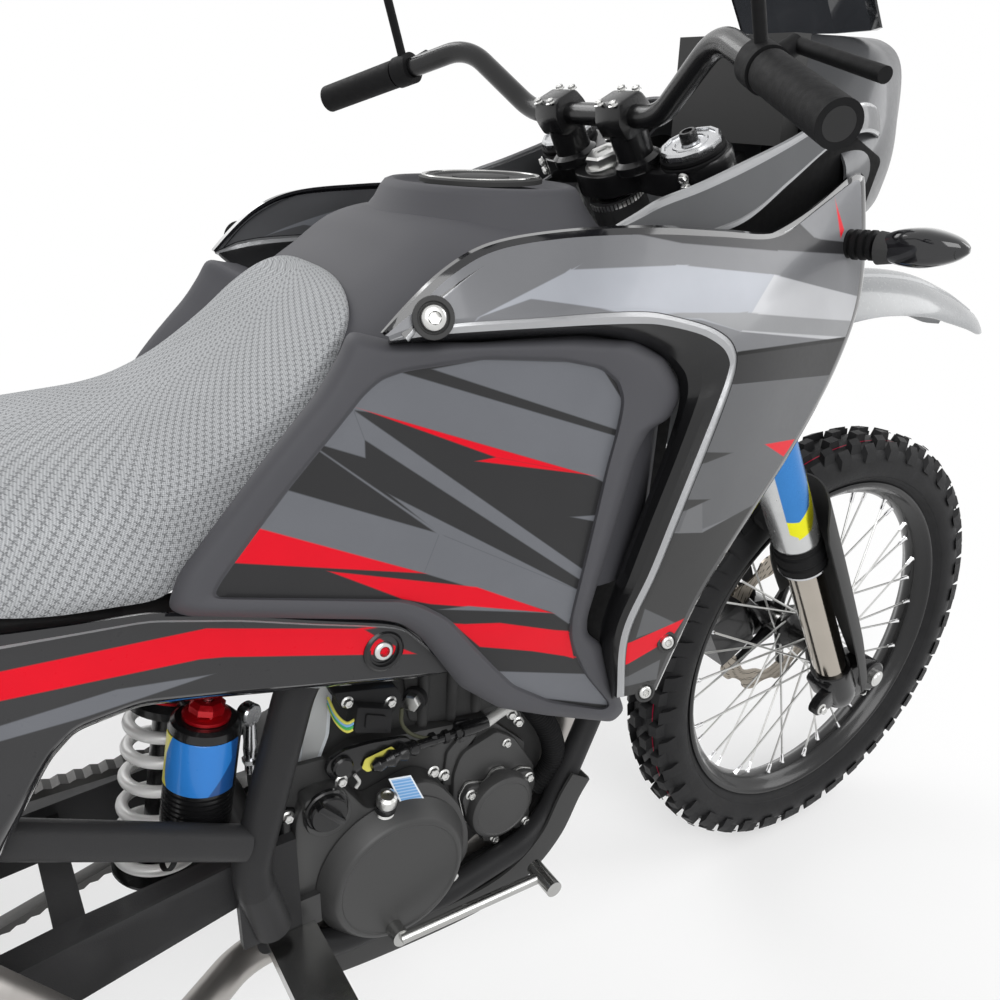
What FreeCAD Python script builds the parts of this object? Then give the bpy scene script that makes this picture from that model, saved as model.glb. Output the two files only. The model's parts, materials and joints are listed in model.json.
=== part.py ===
import FreeCAD, Part
import math
import os
import re

import Sketcher
from FreeCAD import Placement, Rotation, Vector

# Dual sport motorcycle, built upright with +X forward, +Y to the left and +Z up, then leaned
# on its side stand. The plane Z = 0 of the upright machine is the road under both tyres.

SIZES = {
    # Whole machine
    "wheel_base": 1500, "seat_height": 900, "body_half_width": 250, "front_reach_share": 0.48,
    "park_lean": 10, "seat_gap": 0.3, "move_gap": 5, "overrun": 20,
    # Front wheel
    "front_tyre_radius": 348, "front_tyre_half_width": 42, "front_rim_radius": 272,
    "front_rim_half_width": 27, "front_hub_half_width": 48, "front_hub_radius": 22,
    "front_flange_radius": 34, "front_disc_radius": 132, "front_disc_thickness": 4,
    # Rear wheel
    "rear_tyre_radius": 338, "rear_tyre_half_width": 55, "rear_rim_radius": 234,
    "rear_rim_half_width": 34, "rear_hub_half_width": 52, "rear_hub_radius": 30,
    "rear_flange_radius": 44, "rear_disc_radius": 112, "rear_disc_thickness": 4,
    # Both wheels
    "rim_depth": 22, "rim_wall": 3, "lug_height": 12,
    "front_lug_pitches": 30, "rear_lug_pitches": 28, "disc_waves": 10, "spoke_radius": 2, "spoke_count": 36,
    "axle_radius": 12.45, "axle_bore_radius": 12.5,
    # Chain drive
    "chain_pitch": 15.875, "rear_teeth": 48, "front_teeth": 13, "chain_roller_radius": 5.1,
    "chain_plate_height": 15, "chain_half_width": 9, "chain_line": 74, "sprocket_thickness": 6,
    # Steering
    "rake": 27.7, "axle_lead": 51, "clamp_offset": 29, "leg_half_spacing": 102,
    "fork_length": 862, "fork_tube_bottom": 259, "fork_tube_radius": 31,
    "fork_clamp_radius": 27, "stanchion_radius": 24, "stanchion_fit": 0.3,
    "upper_clamp_level": 832, "upper_clamp_thickness": 25,
    "lower_clamp_level": 640, "lower_clamp_thickness": 40,
    "head_tube_level": 690, "head_tube_length": 134, "head_tube_radius": 30,
    "head_bore_radius": 26, "stem_radius": 15, "bearing_radius": 25.95, "bearing_length": 15,
    "steer_stop": 38,
    "bar_radius": 11.1, "bar_half_width": 405, "riser_height": 52, "riser_half_spacing": 52,
    "grip_radius": 16, "grip_length": 118,
    # Frame
    "frame_tube_radius": 19, "cradle_tube_radius": 15, "subframe_tube_radius": 12,
    "brace_tube_radius": 17, "pivot_plate_thickness": 12,
    # Side stand
    "stand_pivot_x_share": -0.075, "stand_pivot_y_share": 0.56, "stand_pivot_z_share": 0.33,
    "stand_leg_radius": 11, "stand_pin_radius": 6, "stand_foot_radius": 26,
    "stand_foot_thickness": 6, "stand_axis_tilt": 25, "stand_pin_fit": 0.05, "stand_spread": 150,
    "stand_rake": 40, "stand_fold": 95,
    # Fuel tank and its cap
    "filler_radius": 90, "filler_height": 22, "neck_radius": 24, "neck_depth": 40,
    "cap_radius": 62, "cap_thickness": 8, "hinge_radius": 4, "cap_open": 95,
    # Skins and soft parts
    "skin_thickness": 4, "fender_thickness": 4,
    # Engine
    "case_half_width": 92, "cover_radius": 72, "cover_depth": 58,
    # Rear shock
    "spring_radius": 40, "spring_wire_radius": 6, "spring_turns": 6, "reservoir_radius": 33,
}

doc = FreeCAD.newDocument("motorcycle")
sheet = doc.addObject("Spreadsheet::Sheet", "sizes")
for row, (name, value) in enumerate(SIZES.items(), start=1):
    sheet.set(f"A{row}", name)
    sheet.set(f"B{row}", str(value))
    sheet.setAlias(f"B{row}", name)
doc.recompute()


class Sheet:
    """Gives each cell of the sheet by its alias."""

    def __getattr__(self, name):
        return float(sheet.get(name))


sz = Sheet()
ORIGIN = Vector(0, 0, 0)
AHEAD = Vector(1, 0, 0)
LEFT = Vector(0, 1, 0)
UP = Vector(0, 0, 1)
FULL_TURN = 360
pieces = {}


def bound(text):
    """Turns an expression in sheet words into one that names the sheet."""
    return re.sub(r"[a-z][a-z_0-9]*", lambda word: "sizes." + word.group(0), text)


def worth(text):
    return float(sheet.evalExpression(re.sub(r"\bsizes\.", "", bound(text))))


def at(x_share, y_share, z_share):
    """A place on the upright machine, in shares of wheel base, body half width and seat height."""
    return Vector(x_share * sz.wheel_base, y_share * sz.body_half_width, z_share * sz.seat_height)


def keep(label, thing, place=None):
    """Registers a finished sub-part under its label, with its place on the upright machine."""
    if isinstance(thing, Part.Shape):
        piece = doc.addObject("Part::Feature", label)
        piece.Shape = thing
        place = place.multiply(thing.Placement) if place else thing.Placement
    else:
        piece = thing
    piece.Label = label
    piece.Placement = place if place else Placement()
    pieces[label] = piece
    return piece


def origin_plane(body, role):
    return next(part for part in body.Origin.OriginFeatures if part.Role == role)


def draw(sketch, outline):
    """Draws a closed outline whose corners are pairs of expressions in sheet words."""
    corners = [Vector(worth(across), worth(along), 0) for across, along in outline]
    count = len(corners)
    for index in range(count):
        sketch.addGeometry(Part.LineSegment(corners[index], corners[(index + 1) % count]), False)
    for index in range(count):
        sketch.addConstraint(Sketcher.Constraint("Coincident", index, 2, (index + 1) % count, 1))
    for index, pair in enumerate(outline):
        for kind, text in zip(("DistanceX", "DistanceY"), pair):
            number = sketch.addConstraint(Sketcher.Constraint(kind, -1, 1, index, 1, worth(text)))
            if re.search("[a-z]", text):
                sketch.setExpression(f"Constraints[{number}]", bound(text))


def turned_body(label, outline):
    """A body turned about its Y axis from an outline of (radius, distance along Y)."""
    body = doc.addObject("PartDesign::Body", label)
    sketch = body.newObject("Sketcher::SketchObject", label + "_outline")
    sketch.AttachmentSupport = [(origin_plane(body, "XY_Plane"), "")]
    sketch.MapMode = "FlatFace"
    draw(sketch, outline)
    turn = body.newObject("PartDesign::Revolution", label + "_turn")
    turn.Profile = sketch
    turn.ReferenceAxis = (sketch, ["V_Axis"])
    turn.Angle = FULL_TURN
    return body


def cylinder(base, direction, radius, length):
    return Part.makeCylinder(radius, length, base, direction)


def between(start, finish, radius):
    """A round rod from one point to another."""
    run = finish - start
    return Part.makeCylinder(radius, run.Length, start, run)


def slab(corner, opposite):
    """A box between two opposite corners."""
    low = Vector(*(min(a, b) for a, b in zip(corner, opposite)))
    high = Vector(*(max(a, b) for a, b in zip(corner, opposite)))
    span = high - low
    return Part.makeBox(span.x, span.y, span.z, low)


def bent_path(points, bend_radius):
    """Straight runs joined by tangent arcs, each arc cut down where its runs are short."""
    edges = []
    start = points[0]
    for before, corner, after in zip(points, points[1:], points[2:]):
        back, ahead = before - corner, after - corner
        room = min(back.Length, ahead.Length)
        back.normalize()
        ahead.normalize()
        half_turn = (math.pi - back.getAngle(ahead)) / 2
        radius = min(bend_radius, BEND_SHARE * room / math.tan(half_turn))
        trim = radius * math.tan(half_turn)
        middle = (back + ahead).normalize()
        centre = corner + middle * (radius / math.cos(half_turn))
        first, last = corner + back * trim, corner + ahead * trim
        edges.append(Part.LineSegment(start, first).toShape())
        edges.append(Part.Arc(first, centre - middle * radius, last).toShape())
        start = last
    edges.append(Part.LineSegment(start, points[-1]).toShape())
    return Part.Wire(edges)


def bent_tube(points, radius, bend_radius):
    """A round bar along straight runs and tangent arcs."""
    path = bent_path(points, bend_radius)
    ring = Part.Wire(Part.makeCircle(radius, points[0], points[1] - points[0]))
    return path.makePipeShell([ring], True, False)


def loft(sections, ruled=False):
    """A solid through closed sections, each a list of points."""
    wires = [Part.makePolygon(section + section[:1]) for section in sections]
    return Part.makeLoft(wires, True, ruled)


def facet(corners):
    return Part.Face(Part.makePolygon(corners + corners[:1]))


def solid_of(faces):
    """The solid that a closed set of flat faces bounds."""
    shell = Part.Compound(faces)
    shell.sewShape()
    solid = Part.makeSolid(shell.Shells[0] if shell.Shells else Part.makeShell(faces))
    if solid.Volume < 0:
        solid.reverse()
    return solid


def turned_solid(profile, base, axis):
    """A solid turned about an axis from a closed outline of (radius, height) pairs."""
    side = axis.cross(UP if abs(axis.z) < 0.9 else AHEAD).normalize()
    corners = [base + side * radius + axis * height for radius, height in profile]
    return facet(corners).revolve(base, axis, FULL_TURN)


def fused(shapes):
    first, rest = shapes[0], shapes[1:]
    return first.multiFuse(rest).removeSplitter() if rest else first


BEND_SHARE = 0.45
FRONT_AXLE = Vector(sz.front_reach_share * sz.wheel_base, 0, sz.front_tyre_radius)
REAR_AXLE = Vector((sz.front_reach_share - 1) * sz.wheel_base, 0, sz.rear_tyre_radius)

# The steering axis is the Z axis of the steering frame, X ahead of it and the axle at Z = 0.
steer_turn = Rotation(LEFT, -sz.rake)
steer_foot = FRONT_AXLE - steer_turn.multVec(AHEAD) * (sz.axle_lead + sz.clamp_offset)
STEER = Placement(steer_foot, steer_turn)


# Wheels
def wheel_words(end):
    """The sheet words of one wheel."""
    names = ("tyre_radius", "tyre_half_width", "rim_radius", "rim_half_width", "hub_half_width",
             "hub_radius", "flange_radius", "disc_radius", "disc_thickness")
    return {name: f"{end}_{name}" for name in names}


def tyre_profile(end):
    """The tyre's section as (radius, distance across) from bore to bore, with each lug's top or none."""
    word = wheel_words(end)
    half, tip, rim_top = (worth(word[name]) for name in ("tyre_half_width", "tyre_radius", "rim_radius"))
    bead_half = worth(word["rim_half_width"]) - sz.rim_wall
    floor = tip - sz.lug_height
    # The bore's flats, not its corners, clear the round rim
    corner_share = 1 / math.cos(math.pi / (2 * worth(f"{end}_lug_pitches")))
    right = [((rim_top - sz.rim_depth / 2 + sz.seat_gap) * corner_share, sz.rim_wall - bead_half),
             ((rim_top + sz.seat_gap) * corner_share, sz.seat_gap - bead_half),
             (rim_top + (floor - rim_top) * 0.45, -half * 0.96),
             (floor - sz.lug_height * 0.9, -half * 0.92),
             (floor, -half * 0.44),
             (floor, -half * 0.05)]
    shoulder = ((tip - sz.lug_height * 1.0, -half), (tip - sz.lug_height * 0.18, -half * 0.56))
    centre = ((tip, -half * 0.38), (tip, -half * 0.09))
    left = [(radius, -across) for radius, across in reversed(right)]
    tops = {3: shoulder, 4: centre}
    for edge, pair in list(tops.items()):
        tops[len(right) + len(left) - 2 - edge] = tuple((radius, -across) for radius, across in reversed(pair))
    return right + left, tops


def tyre(end):
    """A ring of flat facets with staggered lugs: centre pairs between shoulder pairs."""
    profile, tops = tyre_profile(end)
    steps = 2 * int(worth(f"{end}_lug_pitches"))
    step_angle = 2 * math.pi / steps
    # A centre lug of the left side stands straight below the axle
    start = -math.pi / 2 - step_angle / 2

    def spot(place, step):
        radius, across = place
        angle = start + step * step_angle
        return Vector(radius * math.cos(angle), across, radius * math.sin(angle))

    faces = []
    count = len(profile)
    left_side = count / 2
    for edge in range(count):
        foot, tip = profile[edge], profile[(edge + 1) % count]
        for step in range(steps):
            base = [spot(foot, step), spot(tip, step), spot(tip, step + 1), spot(foot, step + 1)]
            top = tops.get(edge)
            centre_row = edge in (4, count - 6)
            ahead = 0 if edge > left_side else 1
            raised = top and (step + ahead + (0 if centre_row else 1)) % 2 == 0
            if not raised:
                faces.append(facet(base))
                continue
            roof = [spot(top[0], step), spot(top[1], step), spot(top[1], step + 1), spot(top[0], step + 1)]
            faces.append(facet(roof))
            for corner in range(len(base)):
                after = (corner + 1) % len(base)
                faces.append(facet([base[corner], base[after], roof[after], roof[corner]]))
    return solid_of(faces)


def rim(end):
    word = wheel_words(end)
    radius, half = word["rim_radius"], word["rim_half_width"]
    well = f"{half} - rim_wall * 2"
    right = [(f"{radius} - rim_depth", f"0 - ({half}) * 0.5"),
             (f"{radius} - rim_depth * 0.7", f"0 - ({half} - rim_wall)"),
             (f"{radius}", f"0 - {half}"),
             (f"{radius}", f"0 - ({half} - rim_wall)"),
             (f"{radius} - rim_depth / 2", f"0 - ({well})")]
    left = [(outer, along.replace("0 - ", "", 1)) for outer, along in reversed(right)]
    return turned_body(f"{end}_rim", right + left)


def spoked_hub(end, left_reach):
    """The hub's barrel and flanges with every spoke fused to it, out to the rim."""
    word = wheel_words(end)
    reach, barrel = worth(word["hub_half_width"]), worth(word["hub_radius"])
    flange = worth(word["flange_radius"])
    rim_inside = worth(word["rim_radius"]) - sz.rim_depth - sz.seat_gap * 2
    flange_inside, flange_outside = reach * 0.55, reach * 0.75
    hub = cylinder(Vector(0, -reach, 0), LEFT, barrel, reach + left_reach)
    for side in (-1, 1):
        start = Vector(0, flange_inside if side > 0 else -flange_outside, 0)
        hub = hub.fuse(cylinder(start, LEFT, flange, flange_outside - flange_inside))
    spokes = []
    count = int(sz.spoke_count)
    cross = math.radians(FULL_TURN / 6)
    for index in range(count):
        angle = 2 * math.pi * index / count
        side = 1 if index % 2 else -1
        lean = 1 if index % 4 < 2 else -1
        hub_angle = angle + lean * cross
        hub_reach = flange - 2 * sz.spoke_radius
        outer = flange_outside - sz.spoke_radius if lean > 0 else flange_inside + sz.spoke_radius
        foot = Vector(hub_reach * math.cos(hub_angle), side * outer, hub_reach * math.sin(hub_angle))
        tip = Vector(rim_inside * math.cos(angle), side * sz.spoke_radius * 2, rim_inside * math.sin(angle))
        spokes.append(prism(foot, tip, sz.spoke_radius))
    bore = cylinder(Vector(0, -reach - sz.overrun, 0), LEFT, sz.axle_bore_radius,
                    reach + left_reach + 2 * sz.overrun)
    return hub.multiFuse(spokes).cut(bore)


def prism(foot, tip, radius):
    """A six-sided rod."""
    run = tip - foot
    side = run.cross(LEFT).normalize() * radius
    corners = []
    for step in range(SPOKE_SIDES):
        turn = Rotation(run, step * FULL_TURN / SPOKE_SIDES)
        corners.append(foot + turn.multVec(side))
    return Part.Face(Part.makePolygon(corners + corners[:1])).extrude(run)


SPOKE_SIDES = 6


WAVE_POINTS = 6


def wave_disc(end):
    """The brake disc: a plate with a waved edge, a row of slots and a hole over the hub."""
    word = wheel_words(end)
    radius, thickness = worth(word["disc_radius"]), worth(word["disc_thickness"])
    waves = int(sz.disc_waves)
    wave_depth = sz.seat_gap * 12
    corners = []
    for index in range(waves * WAVE_POINTS):
        angle = 2 * math.pi * index / (waves * WAVE_POINTS)
        reach = radius - wave_depth * (0.5 - 0.5 * math.cos(waves * angle))
        corners.append(Vector(reach * math.cos(angle), -thickness / 2, reach * math.sin(angle)))
    plate = facet(corners).extrude(LEFT * thickness)
    cuts = [cylinder(Vector(0, -sz.overrun, 0), LEFT, sz.axle_bore_radius * 1.6, 2 * sz.overrun)]
    for index in range(waves):
        outline = []
        for turn_share, reach_share in ((-0.3, 0.60), (0.3, 0.60), (0.36, 0.70), (-0.36, 0.70)):
            angle = 2 * math.pi * (index + turn_share) / waves
            outline.append(Vector(math.cos(angle), 0, math.sin(angle)) * radius * reach_share - LEFT * sz.overrun)
        cuts.append(facet(outline).extrude(LEFT * 2 * sz.overrun))
    return plate.cut(Part.makeCompound(cuts))


front_place = Placement(FRONT_AXLE, Rotation())
rear_place = Placement(REAR_AXLE, Rotation())
keep("front_tyre", tyre("front"), front_place)
keep("front_rim", rim("front"), front_place)
keep("front_spokes", spoked_hub("front", sz.front_hub_half_width), front_place)
front_disc_y = sz.front_hub_half_width + sz.seat_gap + sz.front_disc_thickness / 2
keep("front_disc", wave_disc("front"),
     Placement(FRONT_AXLE + LEFT * front_disc_y, Rotation()))
keep("rear_tyre", tyre("rear"), rear_place)
keep("rear_rim", rim("rear"), rear_place)
sprocket_face = sz.chain_line - sz.sprocket_thickness / 2
keep("rear_spokes", spoked_hub("rear", sprocket_face - sz.seat_gap), rear_place)
rear_disc_y = -(sz.rear_hub_half_width + sz.seat_gap + sz.rear_disc_thickness / 2)
keep("rear_disc", wave_disc("rear"),
     Placement(REAR_AXLE + LEFT * rear_disc_y, Rotation()))


# Chain drive
def pitch_radius(teeth):
    return sz.chain_pitch / (2 * math.sin(math.pi / teeth))


FRONT_SPROCKET = at(-0.085, 0, 0.47)
sprocket_outer = pitch_radius(sz.rear_teeth) - sz.chain_roller_radius - sz.move_gap / 2


def rear_sprocket():
    """A plate whose tooth tips stay inside the chain's rollers."""
    teeth = int(sz.rear_teeth)
    root = sprocket_outer - sz.chain_roller_radius
    corners = []
    for index in range(teeth):
        for part, reach in ((0.0, root), (0.35, sprocket_outer), (0.65, sprocket_outer)):
            angle = 2 * math.pi * (index + part) / teeth
            corners.append(Vector(reach * math.cos(angle), 0, reach * math.sin(angle)))
    plate = Part.Face(Part.makePolygon(corners + corners[:1])).extrude(LEFT * sz.sprocket_thickness)
    hole = cylinder(Vector(0, -sz.overrun, 0), LEFT, sz.axle_bore_radius * 1.6, 3 * sz.overrun)
    return plate.cut(hole)


def chain_spot(run, base, spread, offset, share):
    """A place on the chain's loop, by its share of the loop, moved outwards by an offset."""
    big, small = pitch_radius(sz.rear_teeth), pitch_radius(sz.front_teeth)
    straight = math.sqrt(run.Length ** 2 - (big - small) ** 2)
    front_arc, rear_arc = 2 * small * spread, 2 * big * (math.pi - spread)
    way = share * (2 * straight + front_arc + rear_arc)
    rear, front = Vector(REAR_AXLE.x, 0, REAR_AXLE.z), Vector(FRONT_SPROCKET.x, 0, FRONT_SPROCKET.z)

    def ray(angle):
        return Vector(math.cos(angle), 0, math.sin(angle))

    top, low = base + spread, base - spread
    if way < straight:
        start, finish = rear + ray(top) * big, front + ray(top) * small
        return start + (finish - start) * (way / straight) + ray(top) * offset
    way -= straight
    if way < front_arc:
        return front + ray(top - way / small) * (small + offset)
    way -= front_arc
    if way < straight:
        start, finish = front + ray(low) * small, rear + ray(low) * big
        return start + (finish - start) * (way / straight) + ray(low) * offset
    way -= straight
    return rear + ray(low - way / big) * (big + offset)


def chain():
    """The chain as one closed loop round both sprockets: waisted links outside, plain inside."""
    big, small = pitch_radius(sz.rear_teeth), pitch_radius(sz.front_teeth)
    run = FRONT_SPROCKET - REAR_AXLE
    run.y = 0
    base = math.atan2(run.z, run.x)
    spread = math.acos((big - small) / run.Length)
    half = sz.chain_plate_height / 2
    loop = 2 * run.Length + math.pi * (big + small)
    links = 2 * round(loop / sz.chain_pitch / 2)
    outer = []
    for index in range(2 * links):
        reach = half if index % 2 else half * CHAIN_WAIST
        outer.append(chain_spot(run, base, spread, reach, index / (2 * links)))
    inside = sz.move_gap / 2 - sz.chain_roller_radius
    steps = int(links * CHAIN_INNER_STEPS)
    inner = [chain_spot(run, base, spread, inside, index / steps) for index in range(steps)]
    band = facet(outer).cut(facet(inner)).extrude(LEFT * 2 * sz.chain_half_width)
    band.translate(LEFT * (sz.chain_line - sz.chain_half_width))
    return band


CHAIN_WAIST = 0.62
CHAIN_INNER_STEPS = 0.96
sprocket_place = Placement(REAR_AXLE + LEFT * sprocket_face, Rotation())
keep("rear_sprocket", rear_sprocket(), sprocket_place)
keep("chain", chain())


# Steering: everything here is built in the steering frame
def leg_spot(side, level, ahead=0):
    return Vector(sz.clamp_offset + ahead, side * sz.leg_half_spacing, level)


def clamp(level, thickness, reach_share):
    """A fork clamp: two leg eyes and a stem eye joined by a waisted plate."""
    eye, boss = sz.fork_clamp_radius * 1.4, sz.stem_radius * 1.9
    outline = [Vector(-boss * reach_share, -boss, level), Vector(-boss * reach_share, boss, level),
               Vector(sz.clamp_offset - eye * 0.6, sz.leg_half_spacing, level),
               Vector(sz.clamp_offset + eye, sz.leg_half_spacing, level),
               Vector(boss, 0, level),
               Vector(sz.clamp_offset + eye, -sz.leg_half_spacing, level),
               Vector(sz.clamp_offset - eye * 0.6, -sz.leg_half_spacing, level)]
    plate = Part.Face(Part.makePolygon(outline + outline[:1])).extrude(UP * thickness)
    eyes = [cylinder(leg_spot(side, level), UP, eye, thickness) for side in (-1, 1)]
    solid = plate.multiFuse(eyes + [cylinder(Vector(0, 0, level), UP, boss, thickness)])
    for side in (-1, 1):
        hole = cylinder(leg_spot(side, level - sz.overrun), UP, sz.fork_clamp_radius + sz.seat_gap / 2,
                        thickness + 2 * sz.overrun)
        solid = solid.cut(hole)
    return solid


def triple_clamps():
    upper = clamp(sz.upper_clamp_level, sz.upper_clamp_thickness, 1)
    lower = clamp(sz.lower_clamp_level, sz.lower_clamp_thickness, 1)
    top = sz.upper_clamp_level + sz.upper_clamp_thickness
    stem = cylinder(Vector(0, 0, sz.lower_clamp_level), UP, sz.stem_radius, top - sz.lower_clamp_level)
    low_bearing = cylinder(Vector(0, 0, sz.head_tube_level), UP, sz.bearing_radius, sz.bearing_length)
    high_level = sz.head_tube_level + sz.head_tube_length - sz.bearing_length
    high_bearing = cylinder(Vector(0, 0, high_level), UP, sz.bearing_radius, sz.bearing_length)
    nut = cylinder(Vector(0, 0, top), UP, sz.stem_radius * 1.25, sz.stem_radius)
    risers = []
    for side in (-1, 1):
        foot = Vector(0, side * sz.riser_half_spacing, top)
        risers.append(cylinder(foot, UP, sz.bar_radius * 1.7, sz.riser_height))
        block = sz.bar_radius * 2
        risers.append(slab(foot + Vector(-block, -block, sz.riser_height - block),
                           foot + Vector(block, block, sz.riser_height + block)))
    solid = fused([upper, stem, lower, low_bearing, high_bearing, nut] + risers)
    bar_level = top + sz.riser_height
    bar_hole = cylinder(Vector(0, -sz.body_half_width, bar_level), LEFT, sz.bar_radius + sz.seat_gap / 2,
                        2 * sz.body_half_width)
    return solid.cut(bar_hole)


def fork_tubes():
    """The upper fork tubes, silver, each with its cap, hollow where the stanchion goes in."""
    tubes = []
    for side in (-1, 1):
        bottom, top = sz.fork_tube_bottom, sz.fork_length
        low_end, high_end = bottom + (top - bottom) * 0.5, bottom + (top - bottom) * 0.6
        tube = cylinder(leg_spot(side, bottom), UP, sz.fork_tube_radius, low_end - bottom)
        cone = Part.makeCone(sz.fork_tube_radius, sz.fork_clamp_radius, high_end - low_end,
                             leg_spot(side, low_end), UP)
        upper = cylinder(leg_spot(side, high_end), UP, sz.fork_clamp_radius, top - high_end)
        bore = cylinder(leg_spot(side, bottom - sz.overrun), UP, sz.stanchion_radius + sz.stanchion_fit,
                        sz.fork_tube_radius + sz.overrun)
        tubes.append(fused([tube, cone, upper]).cut(bore))
    return Part.makeCompound(tubes)


LUG_HALF_SHARE = 0.85


def fork_legs():
    """The stanchions, their axle lugs and the axle, one piece from leg to leg."""
    lug_half = sz.stanchion_radius * LUG_HALF_SHARE
    parts = []
    for side in (-1, 1):
        foot_level = -sz.stanchion_radius
        top = sz.fork_tube_bottom + sz.fork_tube_radius * 0.8
        parts.append(cylinder(leg_spot(side, 0), UP, sz.stanchion_radius, top))
        low = leg_spot(side, foot_level, -sz.stanchion_radius) - LEFT * lug_half
        high = leg_spot(side, sz.stanchion_radius * 1.5, sz.axle_lead) + LEFT * lug_half
        parts.append(slab(low, high))
        eye = leg_spot(side, 0, sz.axle_lead) - LEFT * lug_half
        parts.append(cylinder(eye, LEFT, sz.stanchion_radius, 2 * lug_half))
        inner = sz.front_hub_half_width + sz.seat_gap * 2
        spacer = cylinder(Vector(sz.clamp_offset + sz.axle_lead, side * inner, 0), LEFT * side,
                          sz.axle_radius * 1.35, sz.leg_half_spacing - inner)
        parts.append(spacer)
    ear_low = leg_spot(1, sz.stanchion_radius * 2, -sz.front_disc_radius * 0.55) - LEFT * lug_half
    ear_high = leg_spot(1, sz.stanchion_radius * 4.6, 0)
    parts.append(slab(ear_low, ear_high))
    reach = sz.leg_half_spacing + lug_half + sz.axle_radius
    axle = cylinder(Vector(sz.clamp_offset + sz.axle_lead, -reach, 0), LEFT, sz.axle_radius, 2 * reach)
    return fused(parts + [axle])


def fork_guards():
    """A curved guard in front of each stanchion, from the axle lug up to the seal."""
    guards = []
    inner = sz.fork_tube_radius + sz.seat_gap
    outer = inner + sz.skin_thickness
    for side in (-1, 1):
        low, high = sz.stanchion_radius * 1.5 + sz.seat_gap, sz.fork_tube_bottom + sz.fork_tube_radius * 3
        shell = cylinder(leg_spot(side, low), UP, outer, high - low)
        shell = shell.cut(cylinder(leg_spot(side, low - sz.overrun), UP, inner, high - low + 2 * sz.overrun))
        keep_box = slab(leg_spot(side, low - sz.overrun, sz.fork_tube_radius * 0.2) - LEFT * 2 * outer,
                        leg_spot(side, high + sz.overrun, 2 * outer) + LEFT * 2 * outer)
        guards.append(shell.common(keep_box))
    return Part.makeCompound(guards)


BAR_LEVEL = sz.upper_clamp_level + sz.upper_clamp_thickness + sz.riser_height


def bar_points(side):
    """Bends of one half of the handlebar, from its middle to its end."""
    reach = sz.bar_half_width
    rise = sz.riser_height
    shares = ((0, 0, 0), (0, 0.26, 0), (0.1, 0.50, 1.35), (-1.9, 1.0, 1.1))
    return [Vector(ahead * rise, side * across * reach, BAR_LEVEL + lift * rise)
            for ahead, across, lift in shares]


def handlebar():
    left = bar_points(1)
    right = bar_points(-1)
    points = list(reversed(right)) + left[1:]
    points.remove(right[0])
    return bent_tube(points, sz.bar_radius, sz.bar_radius * 6)


def bar_end(side):
    points = bar_points(side)
    along = points[-1] - points[-2]
    return points[-1], along.normalize()


def hand_controls():
    """Grips, lever perches, levers and mirrors, each its own solid."""
    solids = []
    for side in (-1, 1):
        end, along = bar_end(side)
        start = end - along * sz.grip_length
        grip = cylinder(start, along, sz.grip_radius, sz.grip_length)
        grip = grip.cut(cylinder(start - along * sz.overrun, along, sz.bar_radius + sz.seat_gap / 2,
                                 sz.grip_length + 2 * sz.overrun))
        solids.append(grip)
        perch_start = start - along * sz.grip_radius * 1.6
        perch = cylinder(perch_start, along, sz.grip_radius * 1.1, sz.grip_radius * 1.4)
        knuckle = perch_start + along * sz.grip_radius * 0.7
        lever_root = knuckle + AHEAD * sz.grip_radius * 2.2
        perch = perch.fuse(between(knuckle, lever_root, sz.grip_radius * 0.5))
        lever_tip = end - along * sz.grip_radius + AHEAD * sz.grip_radius * 3.4
        perch = perch.fuse(between(lever_root, lever_tip, sz.grip_radius * 0.35))
        mirror_foot = knuckle + UP * sz.grip_radius
        mirror_bend = mirror_foot + UP * sz.grip_length * 0.55 + AHEAD * sz.grip_radius
        mirror_top = mirror_bend + UP * sz.grip_length * 0.65 + LEFT * side * sz.grip_length * 0.4
        perch = perch.fuse(between(knuckle, mirror_bend, sz.grip_radius * 0.32))
        perch = perch.fuse(between(mirror_bend, mirror_top, sz.grip_radius * 0.32))
        glass = Part.makeCylinder(sz.grip_length * 0.42, sz.grip_radius, mirror_top, AHEAD)
        perch = perch.fuse(glass)
        perch = perch.cut(cylinder(perch_start - along * sz.overrun, along, sz.bar_radius + sz.seat_gap / 2,
                                   sz.grip_length))
        solids.append(perch)
    return Part.makeCompound(solids)


keep("triple_clamps", triple_clamps(), STEER)
keep("fork_tubes", fork_tubes(), STEER)
keep("fork_legs", fork_legs(), STEER)
keep("fork_guards", fork_guards(), STEER)
keep("handlebar", handlebar(), STEER)
keep("hand_controls", hand_controls(), STEER)


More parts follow.
